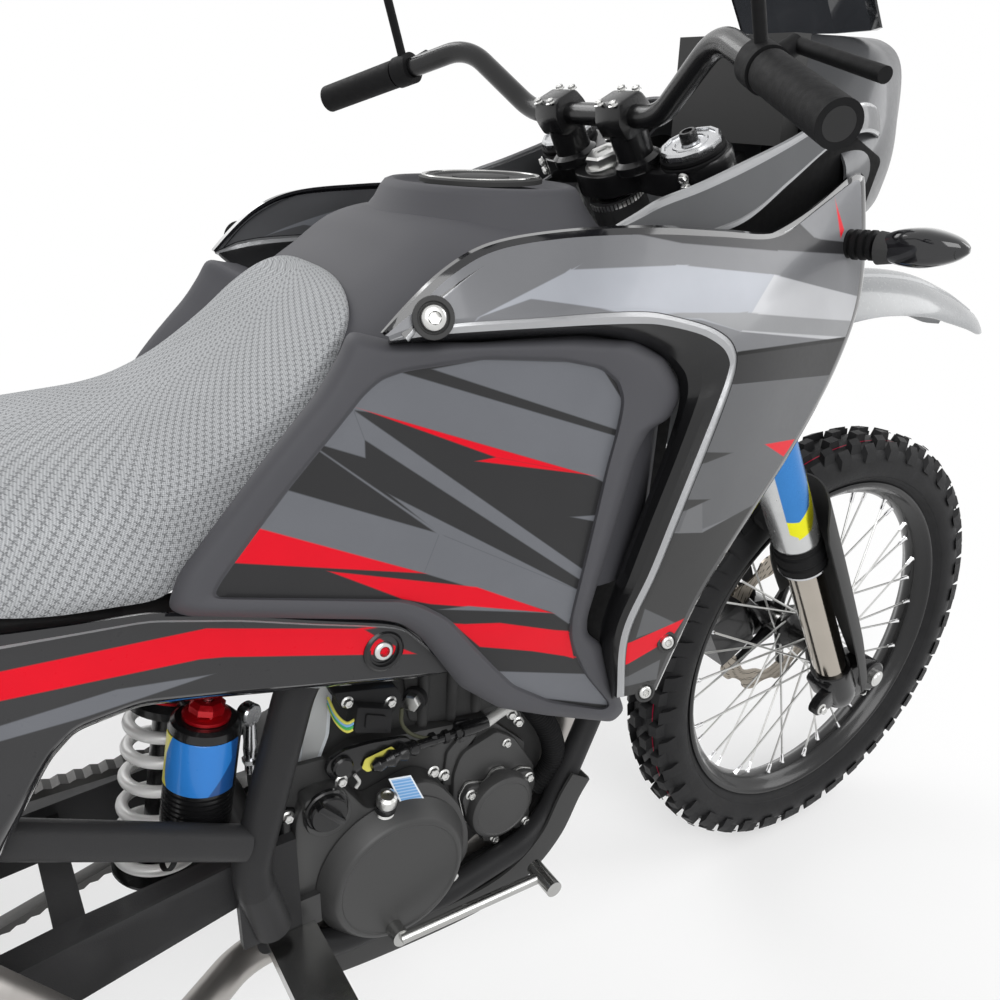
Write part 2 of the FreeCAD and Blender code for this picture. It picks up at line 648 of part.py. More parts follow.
def front_fender():
    """A high arched fender with a pointed beak, on the upright machine."""
    stations = ((-0.030, 0.21, -0.130), (0.0, 0.22, -0.035), (0.058, 0.24, 0), (0.128, 0.26, 0.020),
                (0.208, 0.26, 0.035), (0.288, 0.25, 0.020), (0.348, 0.18, -0.025), (0.390, 0.05, -0.050))
    drop = sz.fender_thickness * 7
    hanger = STEER.multVec(Vector(sz.clamp_offset, 0, sz.lower_clamp_level))

    def section(x_share, y_share, z_share, inset):
        crest = hanger + at(x_share, 0, z_share)
        half = y_share * sz.body_half_width - inset
        fall = drop * min(1, y_share * 4)
        return [Vector(crest.x, -half, crest.z - fall), Vector(crest.x, -half * 0.6, crest.z - inset),
                Vector(crest.x, half * 0.6, crest.z - inset), Vector(crest.x, half, crest.z - fall)]

    sections = []
    for x_share, y_share, z_share in stations:
        outer = section(x_share, y_share, z_share, 0)
        inner = section(x_share, y_share, z_share, sz.fender_thickness)
        sections.append(outer + list(reversed(inner)))
    seats = []
    for side in (-1, 1):
        top = Vector(sz.clamp_offset, side * sz.stem_radius * 1.6, sz.lower_clamp_level - sz.seat_gap)
        seat = cylinder(top - UP * sz.stem_radius * 2.2, UP, sz.stem_radius * 0.6, sz.stem_radius * 2.2)
        seat.Placement = STEER.multiply(seat.Placement)
        seats.append(seat)
    return fused([loft(sections, True)] + seats)


keep("front_fender", front_fender())


def front_caliper():
    """The caliper over the disc behind the left leg, with a slot that the disc runs in."""
    grip_half = sz.front_disc_thickness / 2 + sz.move_gap * 0.6
    centre_y = front_disc_y
    inner = centre_y - sz.stanchion_radius * 0.7
    outer = sz.leg_half_spacing - LUG_HALF_SHARE * sz.stanchion_radius - sz.seat_gap
    reach = sz.front_disc_radius
    hub = Vector(sz.clamp_offset + sz.axle_lead, 0, 0)
    block = slab(hub + Vector(-reach * 1.08, inner, reach * 0.35), hub + Vector(-reach * 0.55, outer, reach * 1.0))
    slot = cylinder(hub + LEFT * (centre_y - grip_half), LEFT, reach + sz.move_gap, 2 * grip_half)
    return block.cut(slot)


keep("front_caliper", front_caliper(), STEER)


# Frame
SWING_SHARES = (-0.137, 0.46)
TOWER_LEVEL = sz.head_tube_level + sz.head_tube_length * 0.45
stand_tilt = math.radians(sz.stand_axis_tilt)
STAND_AXIS = Vector(0, math.cos(stand_tilt), math.sin(stand_tilt))
STAND_PIVOT = at(sz.stand_pivot_x_share, sz.stand_pivot_y_share, sz.stand_pivot_z_share)


def main_frame():
    """Head tube, two spars, two cradle tubes, pivot plates and cross tubes."""
    head_foot = STEER.multVec(UP * sz.head_tube_level)
    head_up = steer_turn.multVec(UP)
    head = cylinder(head_foot, head_up, sz.head_tube_radius, sz.head_tube_length)
    spar_shares = ((0.115, 0.28, 0.955), (-0.03, 0.46, 0.84), (-0.108, 0.50, 0.71),
                   (-0.149, 0.50, 0.49), (-0.137, 0.50, 0.40))
    cradle_shares = ((0.175, 0.22, 0.80), (0.148, 0.34, 0.50), (0.09, 0.42, 0.34),
                     (0.0, 0.44, 0.315), (-0.10, 0.44, 0.315), (-0.140, 0.48, 0.38))
    parts = [head]
    for side in (-1, 1):
        across = side * sz.head_tube_radius * 0.4
        spar_root = [STEER.multVec(Vector(-sz.stem_radius, across, TOWER_LEVEL - sz.stem_radius))]
        cradle_root = [STEER.multVec(Vector(-sz.stem_radius, across, sz.head_tube_level + sz.head_tube_radius * 1.2)),
                       STEER.multVec(Vector(-sz.head_tube_radius * 3.3, 3 * across, sz.head_tube_level))]
        for root, shares, radius in ((spar_root, spar_shares, sz.frame_tube_radius),
                                     (cradle_root, cradle_shares, sz.cradle_tube_radius)):
            points = root + [at(x_share, side * y_share, z_share) for x_share, y_share, z_share in shares]
            parts.append(bent_tube(points, radius, sz.frame_tube_radius * 5))
        plate_middle = at(SWING_SHARES[0], side * 0.48, SWING_SHARES[1])
        half = sz.pivot_plate_thickness / 2
        plate = slab(plate_middle + Vector(-sz.frame_tube_radius * 1.6, -half, -sz.frame_tube_radius * 3.6),
                     plate_middle + Vector(sz.frame_tube_radius * 1.6, half, sz.frame_tube_radius * 2.4))
        parts.append(plate)
    for x_share, z_share, y_share in ((-0.06, 0.80, 0.46), (-0.135, 0.36, 0.46)):
        parts.append(between(at(x_share, -y_share, z_share), at(x_share, y_share, z_share),
                             sz.subframe_tube_radius))
    tower = slab(Vector(sz.head_tube_radius * 0.9, -sz.stem_radius, TOWER_LEVEL),
                 Vector(sz.fork_tube_radius * 5.4, sz.stem_radius, TOWER_LEVEL + sz.stem_radius * 2))
    tower.Placement = STEER
    parts.append(tower)
    lug_foot = at(sz.stand_pivot_x_share, 0.46, sz.stand_pivot_z_share)
    shoulder = STAND_PIVOT - STAND_AXIS * (sz.stand_leg_radius + sz.seat_gap)
    collar_foot = shoulder - STAND_AXIS * sz.stand_leg_radius
    parts.append(between(collar_foot, STAND_PIVOT + STAND_AXIS * sz.stand_leg_radius * 1.6, sz.stand_pin_radius))
    parts.append(between(collar_foot, shoulder, sz.stand_leg_radius * 1.3))
    parts.append(between(lug_foot, collar_foot, sz.stand_leg_radius * 0.8))
    frame = fused(parts)
    bore = cylinder(head_foot - head_up * sz.overrun, head_up, sz.head_bore_radius,
                    sz.head_tube_length + 2 * sz.overrun)
    return frame.cut(bore)


def subframe():
    """Two upper rails and two lower braces behind the main frame, with a cross rail."""
    rail_shares = ((-0.115, 0.40, 0.80), (-0.20, 0.40, 0.815), (-0.36, 0.36, 0.86), (-0.50, 0.30, 0.93))
    brace_shares = ((-0.150, 0.52, 0.535), (-0.28, 0.53, 0.645), (-0.40, 0.40, 0.80), (-0.43, 0.345, 0.885))
    parts = []
    for side in (-1, 1):
        rail = [at(x_share, side * y_share, z_share) for x_share, y_share, z_share in rail_shares]
        brace = [at(x_share, side * y_share, z_share) for x_share, y_share, z_share in brace_shares]
        parts.append(bent_tube(rail, sz.subframe_tube_radius, sz.frame_tube_radius * 5))
        parts.append(bent_tube(brace, sz.brace_tube_radius, sz.frame_tube_radius * 5))
    parts.append(between(at(-0.48, -0.31, 0.918), at(-0.48, 0.31, 0.918), sz.subframe_tube_radius))
    parts.append(between(at(-0.30, -0.37, 0.843), at(-0.30, 0.37, 0.843), sz.subframe_tube_radius))
    return fused(parts).cut(pieces["main_frame"].Shape)


keep("main_frame", main_frame())
keep("subframe", subframe())


# Engine
ENGINE_WIDTH_SHARE = 1.45


def engine_block():
    """Crankcase outline extruded across, with its curves."""
    shares = ((-0.112, 0.36), (-0.09, 0.335), (0.03, 0.335), (0.085, 0.39), (0.085, 0.47), (0.05, 0.53),
              (-0.06, 0.56), (-0.112, 0.52))
    outline = [at(x_share, 0, z_share) - LEFT * sz.case_half_width * 0.8 for x_share, z_share in shares]
    case = Part.Face(Part.makePolygon(outline + outline[:1])).extrude(LEFT * ENGINE_WIDTH_SHARE * sz.case_half_width)
    reach = LEFT * (0.48 * sz.body_half_width - sz.pivot_plate_thickness / 2 - sz.seat_gap)
    lug = slab(at(-0.125, 0, 0.362) - reach, at(-0.10, 0, 0.405) + reach)
    return case.fuse(lug).cut(pieces["main_frame"].Shape)


def cylinder_head():
    """The leaning barrel and head."""
    foot, tip = at(0.035, 0, 0.53), at(0.075, 0, 0.78)
    run = tip - foot
    half = sz.case_half_width * 0.62
    side = run.cross(LEFT).normalize() * half
    corners = [foot + side - LEFT * half, foot + side + LEFT * half, foot - side + LEFT * half,
               foot - side - LEFT * half]
    barrel = Part.Face(Part.makePolygon(corners + corners[:1])).extrude(run)
    return barrel.cut(pieces["engine"].Shape)


ENGINE_FACE = -sz.case_half_width * 0.8 - sz.seat_gap


def cover_form(radius, depth):
    """A round cover's outline: bevelled shoulder, raised rim and a sunk flat disc."""
    bevel = radius * 0.14
    return [(0, 0), (radius, 0), (radius, depth - bevel), (radius - bevel, depth), (radius * 0.74, depth),
            (radius * 0.71, depth - bevel * 0.4), (0, depth - bevel * 0.4)]


def clutch_cover():
    """The big cover with its filler cap, the cap's neck and the oil pump's cover."""
    spots = ((-0.05, 0.415, 1.0, 1.0), (-0.085, 0.50, 0.5, 0.6), (-0.097, 0.52, 0.22, 0.9), (0.035, 0.45, 0.36, 0.55))
    covers = []
    for x_share, z_share, radius_share, depth_share in spots:
        base = at(x_share, 0, z_share) + LEFT * ENGINE_FACE
        covers.append(turned_solid(cover_form(sz.cover_radius * radius_share, sz.cover_depth * depth_share), base,
                                   -LEFT))
    bridge = slab(at(-0.06, 0, 0.45) + LEFT * ENGINE_FACE,
                  at(0.035, 0, 0.47) + LEFT * (ENGINE_FACE - sz.cover_depth * 0.35))
    return fused(covers + [bridge])


keep("engine", engine_block())
keep("cylinder_head", cylinder_head())
keep("clutch_cover", clutch_cover())
generator_foot = at(-0.02, 0, 0.42) + LEFT * (sz.case_half_width * (ENGINE_WIDTH_SHARE - 0.8) + sz.seat_gap)
generator_form = cover_form(sz.cover_radius * 0.85, sz.cover_depth * 0.7)
keep("generator_cover", turned_solid(generator_form, generator_foot, LEFT))


def exhaust():
    """Header down the front, under the engine and up to the silencer on the right."""
    shares = ((0.085, -0.10, 0.67), (0.135, -0.10, 0.62), (0.150, -0.10, 0.42), (0.08, -0.14, 0.305),
              (-0.15, -0.24, 0.291), (-0.225, -0.62, 0.32), (-0.30, -0.66, 0.52), (-0.377, -0.52, 0.662))
    pipe = bent_tube([at(*share) for share in shares], sz.frame_tube_radius, sz.frame_tube_radius * 4)
    silencer = between(at(-0.375, -0.52, 0.66), at(-0.57, -0.50, 0.82), sz.frame_tube_radius * 2.3)
    return fused([pipe, silencer]).cut(pieces["cylinder_head"].Shape)


keep("exhaust", exhaust())


def radiators():
    solids = []
    for side in (-1, 1):
        low, high = at(0.105, side * 0.33, 0.70), at(0.135, side * 0.585, 0.93)
        solids.append(slab(low, high).cut(pieces["main_frame"].Shape.translated(LEFT * side * sz.seat_gap)))
    return Part.makeCompound(solids)


keep("radiators", radiators())


def skid_plate():
    """A bent plate under the cradle tubes, with posts up to them."""
    sections = []
    for x_share, z_share in ((-0.13, 0.265), (0.06, 0.265), (0.13, 0.31), (0.165, 0.41)):
        left, right = at(x_share, 0.5, z_share), at(x_share, -0.5, z_share)
        sections.append([right, left, left - UP * sz.fender_thickness, right - UP * sz.fender_thickness])
    posts = []
    for x_share in (-0.09, 0.0):
        for side in (-1, 1):
            foot = at(x_share, side * 0.44, 0.265) - UP * sz.fender_thickness / 2
            posts.append(cylinder(foot, UP, sz.stand_leg_radius, at(0, 0, 0.315).z - foot.z))
    plate = loft(sections, True).multiFuse(posts)
    return plate.cut(pieces["main_frame"].Shape.translated(UP * -sz.seat_gap))


keep("skid_plate", skid_plate())


# Bodywork
def mirrored_section(right):
    """A closed section from its right half, which runs from the middle's top to the middle's foot."""
    return right + [Vector(point.x, -point.y, point.z) for point in reversed(right[1:-1])]


def tank_section(x_share, roof_share, line):
    """An upside-down U across the tank: its skin from crown to hem, an inner wall and an inner roof."""
    skin_points = [at(x_share, y_share, z_share) for y_share, z_share in line]
    inner = sz.body_half_width * 0.60
    wall = [Vector(skin_points[-1].x, inner, skin_points[-1].z), at(x_share, 0, roof_share) + LEFT * inner,
            at(x_share, 0, roof_share)]
    return mirrored_section(skin_points + wall)


# Each section: crown, crown's edge, two shoulders, flank's top, widest place, lower flank and hem
TANK_STATIONS = (
    (-0.190, 0.855, ((0, 0.875), (0.32, 0.875), (0.60, 0.880), (0.66, 0.895), (0.72, 0.897), (0.744, 0.893),
                     (0.744, 0.888), (0.736, 0.868))),
    (-0.133, 0.86, ((0, 0.928), (0.32, 0.928), (0.58, 0.931), (0.67, 0.989), (0.752, 1.0), (0.784, 0.961),
                    (0.784, 0.90), (0.76, 0.852))),
    (-0.100, 0.865, ((0, 1.006), (0.32, 1.006), (0.56, 1.009), (0.66, 1.064), (0.752, 1.069), (0.784, 1.0),
                     (0.776, 0.911), (0.76, 0.835))),
    (-0.075, 0.87, ((0, 1.056), (0.32, 1.056), (0.52, 1.057), (0.64, 1.078), (0.74, 1.072), (0.79, 1.020),
                    (0.81, 0.933), (0.784, 0.820))),
    (-0.040, 0.90, ((0, 1.102), (0.32, 1.100), (0.56, 1.091), (0.736, 1.069), (0.816, 1.039), (0.864, 1.0),
                    (0.848, 0.844), (0.816, 0.742))),
    (0.007, 0.93, ((0, 1.141), (0.40, 1.136), (0.608, 1.122), (0.784, 1.094), (0.872, 1.050), (0.928, 1.0),
                   (0.92, 0.80), (0.832, 0.672))),
    (0.065, 0.98, ((0, 1.144), (0.428, 1.140), (0.64, 1.124), (0.82, 1.083), (0.912, 1.033), (0.952, 0.978),
                   (0.944, 0.778), (0.848, 0.628))),
    (0.095, 1.01, ((0, 1.140), (0.428, 1.133), (0.632, 1.118), (0.80, 1.078), (0.896, 1.033), (0.944, 0.978),
                   (0.84, 0.778), (0.80, 0.613))),
    (0.115, 1.03, ((0, 1.122), (0.40, 1.117), (0.60, 1.094), (0.76, 1.056), (0.856, 1.017), (0.904, 0.972),
                   (0.76, 0.778), (0.72, 0.628))),
    (0.143, 0.98, ((0, 1.072), (0.36, 1.067), (0.52, 1.050), (0.64, 1.017), (0.704, 0.983), (0.704, 0.933),
                   (0.688, 0.80), (0.664, 0.667))),
)
FILLER = at(0.065, 0, 1.145)


def fuel_tank():
    tank = loft([tank_section(*station) for station in TANK_STATIONS], True)
    collar = Part.makeCone(sz.filler_radius * 1.25, sz.filler_radius, 2 * sz.filler_height,
                           FILLER - UP * sz.filler_height, UP)
    pads = []
    for side in (-1, 1):
        pad = slab(at(-0.045, side * 0.38, 0.85), at(-0.01, side * 0.56, 0.935))
        pads.append(pad.cut(pieces["main_frame"].Shape.translated(UP * sz.seat_gap)))
    tank = tank.multiFuse([collar] + pads)
    neck = cylinder(FILLER + UP * (sz.filler_height - sz.neck_depth), UP, sz.neck_radius,
                    sz.neck_depth + sz.overrun)
    return tank.cut(neck).cut(pieces["main_frame"].Shape)


CAP_HINGE = FILLER - AHEAD * (sz.cap_radius + sz.hinge_radius) + UP * (sz.filler_height + sz.seat_gap + sz.hinge_radius)


def fuel_cap():
    base = FILLER + UP * (sz.filler_height + sz.seat_gap)
    lid = cylinder(base, UP, sz.cap_radius, sz.cap_thickness)
    hinge = CAP_HINGE
    barrel = cylinder(hinge - LEFT * sz.hinge_radius * 3, LEFT, sz.hinge_radius, sz.hinge_radius * 6)
    tab = slab(base - AHEAD * sz.cap_radius * 0.9 - LEFT * sz.hinge_radius * 3 + UP * sz.hinge_radius,
               hinge + LEFT * sz.hinge_radius * 3 + UP * sz.hinge_radius)
    return fused([lid, barrel, tab])


keep("fuel_tank", fuel_tank())
keep("fuel_cap", fuel_cap())


def seat_section(x_share, half_share, top_share, low_share):
    x, half = x_share * sz.wheel_base, half_share * sz.body_half_width
    top, low = top_share * sz.seat_height, low_share * sz.seat_height
    rise = top - low
    right = [Vector(x, 0, top), Vector(x, half * 0.6, top - rise * 0.05), Vector(x, half * 0.9, top - rise * 0.25),
             Vector(x, half, low + rise * 0.3), Vector(x, half * 0.95, low), Vector(x, 0, low)]
    return mirrored_section(right)


SEAT_STATIONS = (
    (-0.052, 0.25, 1.100, 1.085), (-0.078, 0.46, 1.085, 1.073), (-0.100, 0.52, 1.045, 1.02),
    (-0.130, 0.58, 1.01, 0.943), (-0.190, 0.62, 0.98, 0.868), (-0.26, 0.62, 0.975, 0.872),
    (-0.38, 0.58, 0.99, 0.905), (-0.50, 0.46, 1.01, 0.955), (-0.54, 0.30, 1.01, 0.975))


def seat():
    """The seat's pad, resting a little above the tank and the rails."""
    pad = loft([seat_section(*station) for station in SEAT_STATIONS], True)
    pad = pad.cut(pieces["fuel_tank"].Shape.translated(UP * sz.seat_gap))
    feet = []
    for x_share, y_share, low_share, high_share in ((-0.28, 0.38, 0.838, 0.90), (-0.45, 0.321, 0.905, 0.95)):
        for side in (-1, 1):
            foot = between(at(x_share, side * y_share, low_share), at(x_share, side * y_share, high_share),
                           sz.stand_leg_radius)
            feet.append(foot.cut(pieces["subframe"].Shape.translated(UP * sz.seat_gap)))
    return pad.multiFuse(feet)


keep("seat", seat())


def skin(stations, side):
    """A bent sheet: at each station a line of (y share, z share), thickened inwards."""
    sections = []
    for x_share, line in stations:
        outer = [at(x_share, side * y_share, z_share) for y_share, z_share in line]
        inner = [point - LEFT * side * sz.skin_thickness for point in outer]
        sections.append(outer + list(reversed(inner)))
    return loft(sections, True)


def cut_out(outline_shares):
    """A side-view outline, extruded right across the machine."""
    outline = [at(x_share, -2, z_share) for x_share, z_share in outline_shares]
    return Part.Face(Part.makePolygon(outline + outline[:1])).extrude(LEFT * 4 * sz.body_half_width)


FAIRING_STATIONS = (
    (-0.085, ((0.84, 1.22), (0.86, 1.08), (0.90, 1.0), (0.92, 0.60))),
    (-0.02, ((0.82, 1.22), (0.94, 1.10), (1.00, 1.0), (1.00, 0.60))),
    (0.08, ((0.80, 1.22), (0.96, 1.10), (1.05, 0.98), (1.04, 0.60))),
    (0.16, ((0.76, 1.22), (0.92, 1.10), (1.02, 0.96), (1.00, 0.60))),
    (0.24, ((0.70, 1.22), (0.82, 1.10), (0.86, 0.98), (0.82, 0.60))),
    (0.31, ((0.62, 1.22), (0.70, 1.10), (0.72, 0.98), (0.70, 0.60))),
)
FAIRING_OUTLINE = (
    (-0.073, 1.075), (-0.047, 1.113), (-0.017, 1.141), (0.027, 1.15), (0.087, 1.152), (0.157, 1.141),
    (0.193, 1.147), (0.243, 1.178), (0.270, 1.189), (0.288, 1.11), (0.293, 1.05), (0.289, 0.994),
    (0.253, 0.892), (0.163, 0.738), (0.116, 0.642), (0.095, 0.622), (0.079, 0.655), (0.073, 0.728),
    (0.085, 0.735), (0.148, 0.983), (0.123, 1.033), (0.073, 1.058), (0.010, 1.073))


FAIRING_BOLTS = ((-0.041, 1.083), (0.119, 0.707), (0.104, 0.650))


def reach_at(shape, side, x_share, z_share):
    """How far a shape reaches to one side at a place in the side view."""
    inner, outer = at(x_share, 0, z_share), at(x_share, 2 * side, z_share)
    hits = Part.LineSegment(inner, outer).toShape().common(shape)
    return max(abs(corner.Y) for corner in hits.Vertexes)


def bosses(sheet_solid, carrier, side, places):
    """Round bosses inside a sheet, each as long as the gap to the carrier at its bolt."""
    posts = []
    for x_share, z_share in places:
        start = at(x_share, 0, z_share) + LEFT * side * (reach_at(carrier, side, x_share, z_share) - sz.stand_leg_radius)
        finish = at(x_share, 0, z_share) + LEFT * side * (reach_at(sheet_solid, side, x_share, z_share) - sz.skin_thickness / 2)
        posts.append(between(start, finish, sz.stand_leg_radius))
    return posts


def side_fairings():
    sheets = []
    for side in (-1, 1):
        sheet_solid = skin(FAIRING_STATIONS, side).common(cut_out(FAIRING_OUTLINE))
        posts = bosses(sheet_solid, pieces["fuel_tank"].Shape, side, FAIRING_BOLTS)
        posts = [post.cut(pieces["fuel_tank"].Shape.translated(LEFT * side * sz.seat_gap)) for post in posts]
        sheets.append(sheet_solid.multiFuse(posts))
    return Part.makeCompound(sheets)


PANEL_STATIONS = (
    (0.0, ((0.76, 0.98), (0.80, 0.86), (0.78, 0.55))),
    (-0.10, ((0.70, 0.98), (0.74, 0.80), (0.74, 0.55))),
    (-0.20, ((0.66, 0.98), (0.74, 0.80), (0.76, 0.55))),
    (-0.30, ((0.64, 1.0), (0.76, 0.82), (0.80, 0.55))),
    (-0.52, ((0.48, 1.1), (0.62, 0.90), (0.66, 0.55))))
PANEL_OUTLINE = (
    (-0.019, 0.709), (-0.057, 0.783), (-0.13, 0.825), (-0.193, 0.855), (-0.267, 0.86), (-0.373, 0.89), (-0.493, 0.94),
    (-0.48, 0.87), (-0.40, 0.71), (-0.347, 0.622), (-0.293, 0.622), (-0.279, 0.664), (-0.248, 0.747),
    (-0.23, 0.775), (-0.203, 0.774), (-0.119, 0.741))


def side_panels():
    sheets = []
    tank_below = pieces["fuel_tank"].Shape.translated(UP * -sz.seat_gap)
    for side in (-1, 1):
        sheets.append(skin(PANEL_STATIONS, side).common(cut_out(PANEL_OUTLINE)).cut(tank_below))
    return Part.makeCompound(sheets)


keep("side_fairings", side_fairings())
keep("side_panels", side_panels())


def nose_cowl():
    """The headlight surround, a ring of bodywork between the fairing's front edges."""
    stations = ((0.292, 0.68, 1.24, 1.10), (0.345, 0.55, 1.34, 1.11), (0.395, 0.36, 1.34, 1.12))
    sections = []
    for x_share, half_share, top_share, low_share in stations:
        sections.append([at(x_share, half_share * 0.7, top_share), at(x_share, half_share, (top_share + low_share) / 2),
                         at(x_share, half_share * 0.8, low_share), at(x_share, -half_share * 0.8, low_share),
                         at(x_share, -half_share, (top_share + low_share) / 2), at(x_share, -half_share * 0.7, top_share)])
    bands = [cowl_band(side) for side in (-1, 1)]
    return loft(sections, True).multiFuse(bands).cut(pieces["main_frame"].Shape)


def cowl_band(side):
    """A flat band that climbs from beside the tank to the cowl: at each station its foot and its top."""
    stations = ((0.090, 0.680, 1.128, 1.152), (0.123, 0.686, 1.112, 1.160), (0.187, 0.69, 1.140, 1.192),
                (0.277, 0.64, 1.188, 1.240), (0.302, 0.61, 1.196, 1.246),
                (0.335, 0.53, 1.195, 1.240))
    sections = []
    for x_share, y_share, low_share, top_share in stations:
        foot, top = at(x_share, side * y_share, low_share), at(x_share, side * (y_share - 0.02), top_share)
        inward = LEFT * -side * sz.skin_thickness
        sections.append([foot, top, top + inward, foot + inward])
    return loft(sections, True)


def headlight():
    face = at(0.395, 0, 1.23) + AHEAD * sz.seat_gap
    half_height = 0.1 * sz.seat_height * 0.9
    return Part.makeBox(sz.skin_thickness * 3, 0.5 * sz.body_half_width, 2 * half_height,
                        face - LEFT * 0.25 * sz.body_half_width - UP * half_height)


def windscreen():
    lead = AHEAD * sz.skin_thickness
    sections = []
    for x_share, half_share, z_share in ((0.385, 0.40, 1.3405), (0.35, 0.40, 1.43), (0.315, 0.32, 1.53)):
        front = at(x_share, 0, z_share)
        half = half_share * sz.body_half_width
        sweep = AHEAD * half * 0.5
        sections.append([front, front - sweep * 0.4 + LEFT * half * 0.7, front - sweep + LEFT * half,
                         front - sweep + LEFT * half - lead, front - sweep * 0.4 + LEFT * half * 0.65 - lead,
                         front - lead, front - sweep * 0.4 - LEFT * half * 0.65 - lead,
                         front - sweep - LEFT * half - lead, front - sweep - LEFT * half,
                         front - sweep * 0.4 - LEFT * half * 0.7])
    return loft(sections, True)


keep("nose_cowl", nose_cowl())
keep("headlight", headlight())
keep("windscreen", windscreen())
keep("dashboard", slab(at(0.275, -0.34, 1.21), at(0.292, 0.34, 1.33) - AHEAD * sz.seat_gap))


def rear_fender():
    stations = ((-0.30, 0.24, 0.80), (-0.42, 0.24, 0.865), (-0.48, 0.24, 0.9040), (-0.51, 0.24, 0.915),
                (-0.545, 0.34, 0.93), (-0.64, 0.30, 0.93), (-0.70, 0.26, 0.87))
    sections = []
    for x_share, y_share, z_share in stations:
        sections.append([at(x_share, -y_share, z_share - 0.02), at(x_share, -y_share * 0.5, z_share),
                         at(x_share, y_share * 0.5, z_share), at(x_share, y_share, z_share - 0.02),
                         at(x_share, y_share, z_share - 0.025), at(x_share, y_share * 0.5, z_share - 0.005),
                         at(x_share, -y_share * 0.5, z_share - 0.005), at(x_share, -y_share, z_share - 0.025)])
    return loft(sections, True)


keep("rear_fender", rear_fender())
light_shares = ((-0.655, 0.915), (-0.655, 0.95), (-0.68, 0.95), (-0.68, 0.89))
light_outline = [at(x_share, -0.2, z_share) + UP * 2 * sz.seat_gap for x_share, z_share in light_shares]
light_face = Part.Face(Part.makePolygon(light_outline + light_outline[:1]))
keep("tail_light", light_face.extrude(LEFT * 0.4 * sz.body_half_width))


def turn_signals():
    solids = []
    for side in (-1, 1):
        for x_share, y_share, z_share, reach in ((0.283, 0.70, 1.11, 0.46), (-0.60, 0.30, 0.915, 0.46)):
            root = at(x_share, side * y_share, z_share)
            tip = at(x_share + 0.015, side * (y_share + reach), z_share + 0.008)
            stalk = between(root, root + (tip - root) * 0.35, sz.spring_wire_radius)
            lamp = Part.makeCone(sz.stem_radius * 1.1, sz.stem_radius * 0.4, (tip - root).Length * 0.65,
                                 root + (tip - root) * 0.35, tip - root)
            carrier = "side_fairings" if x_share > 0 else "rear_fender"
            solids.append(fused([stalk, lamp]).cut(pieces[carrier].Shape))
    return Part.makeCompound(solids)


keep("turn_signals", turn_signals())


# Controls at the feet
def foot_controls():
    solids = []
    for side in (-1, 1):
        inner = at(-0.125, side * 0.506, 0.385)
        outer = at(-0.125, side * 0.94, 0.385)
        peg = slab(inner + Vector(-sz.grip_radius * 1.6, 0, -sz.grip_radius), outer + Vector(sz.grip_radius * 1.6, 0, 0))
        solids.append(peg.cut(pieces["main_frame"].Shape.translated(LEFT * side * sz.seat_gap)))
        pedal_root = at(-0.05, side * 0.60, 0.325)
        pedal_tip = at(0.060, side * 0.70, 0.355)
        pedal = between(pedal_root, pedal_tip, sz.grip_radius * 0.4)
        pedal = pedal.fuse(between(at(-0.05, side * 0.46, 0.320), pedal_root, sz.grip_radius * 0.6))
        pedal = pedal.fuse(between(pedal_tip - LEFT * side * sz.grip_radius, pedal_tip + LEFT * side * sz.grip_radius * 1.5,
                                   sz.grip_radius * 0.6))
        pedal = pedal.cut(pieces["main_frame"].Shape.translated(LEFT * side * sz.seat_gap))
        solids.append(pedal)
    return Part.makeCompound(solids)


keep("foot_controls", foot_controls())


# Rear suspension
SWING_PIVOT = at(SWING_SHARES[0], 0, SWING_SHARES[1])


ARM_REACH = sz.chain_line + sz.chain_half_width + sz.move_gap / 2 + sz.frame_tube_radius * 0.8
ARM_SHARES = ((SWING_SHARES[0], 0.94, SWING_SHARES[1]), (-0.26, 1.0, 0.435), (-0.43, 1.04, 0.40))
ARM_SECTIONS = ((1.37, 0.55), (1.79, 0.8), (1.58, 0.8), (1.26, 0.8))


def swingarm():
    """Two tapered arms with a pivot tube, a cross member and the rear axle."""
    parts = []
    for side in (-1, 1):
        points = [at(x_share, 0, z_share) + LEFT * side * ARM_REACH * y_share
                  for x_share, y_share, z_share in ARM_SHARES]
        points.append(REAR_AXLE + LEFT * side * ARM_REACH * 1.05 - AHEAD * sz.frame_tube_radius * 2)
        sections = []
        for point, (height_share, half_share) in zip(points, ARM_SECTIONS):
            half = sz.frame_tube_radius * half_share
            rise = UP * sz.frame_tube_radius * height_share
            sections.append([point - LEFT * half - rise, point + LEFT * half - rise, point + LEFT * half + rise,
                             point - LEFT * half + rise])
        parts.append(loft(sections, True))
    pivot_reach = LEFT * (0.50 * sz.body_half_width - sz.frame_tube_radius - sz.seat_gap)
    parts.append(between(SWING_PIVOT - pivot_reach, SWING_PIVOT + pivot_reach, sz.frame_tube_radius * 1.15))
    brace = LEFT * ARM_REACH * 0.9
    parts.append(slab(at(-0.262, 0, 0.41) - brace, at(-0.243, 0, 0.46) + brace))
    reach = ARM_REACH * 1.05 + sz.frame_tube_radius * 1.4
    parts.append(cylinder(Vector(REAR_AXLE.x, -reach, REAR_AXLE.z), LEFT, sz.axle_radius, 2 * reach))
    return parts[0].multiFuse(parts[1:])


keep("swingarm", swingarm())


SHOCK_FOOT, SHOCK_HEAD = at(-0.195, 0, 0.38), at(-0.158, 0, 0.70)


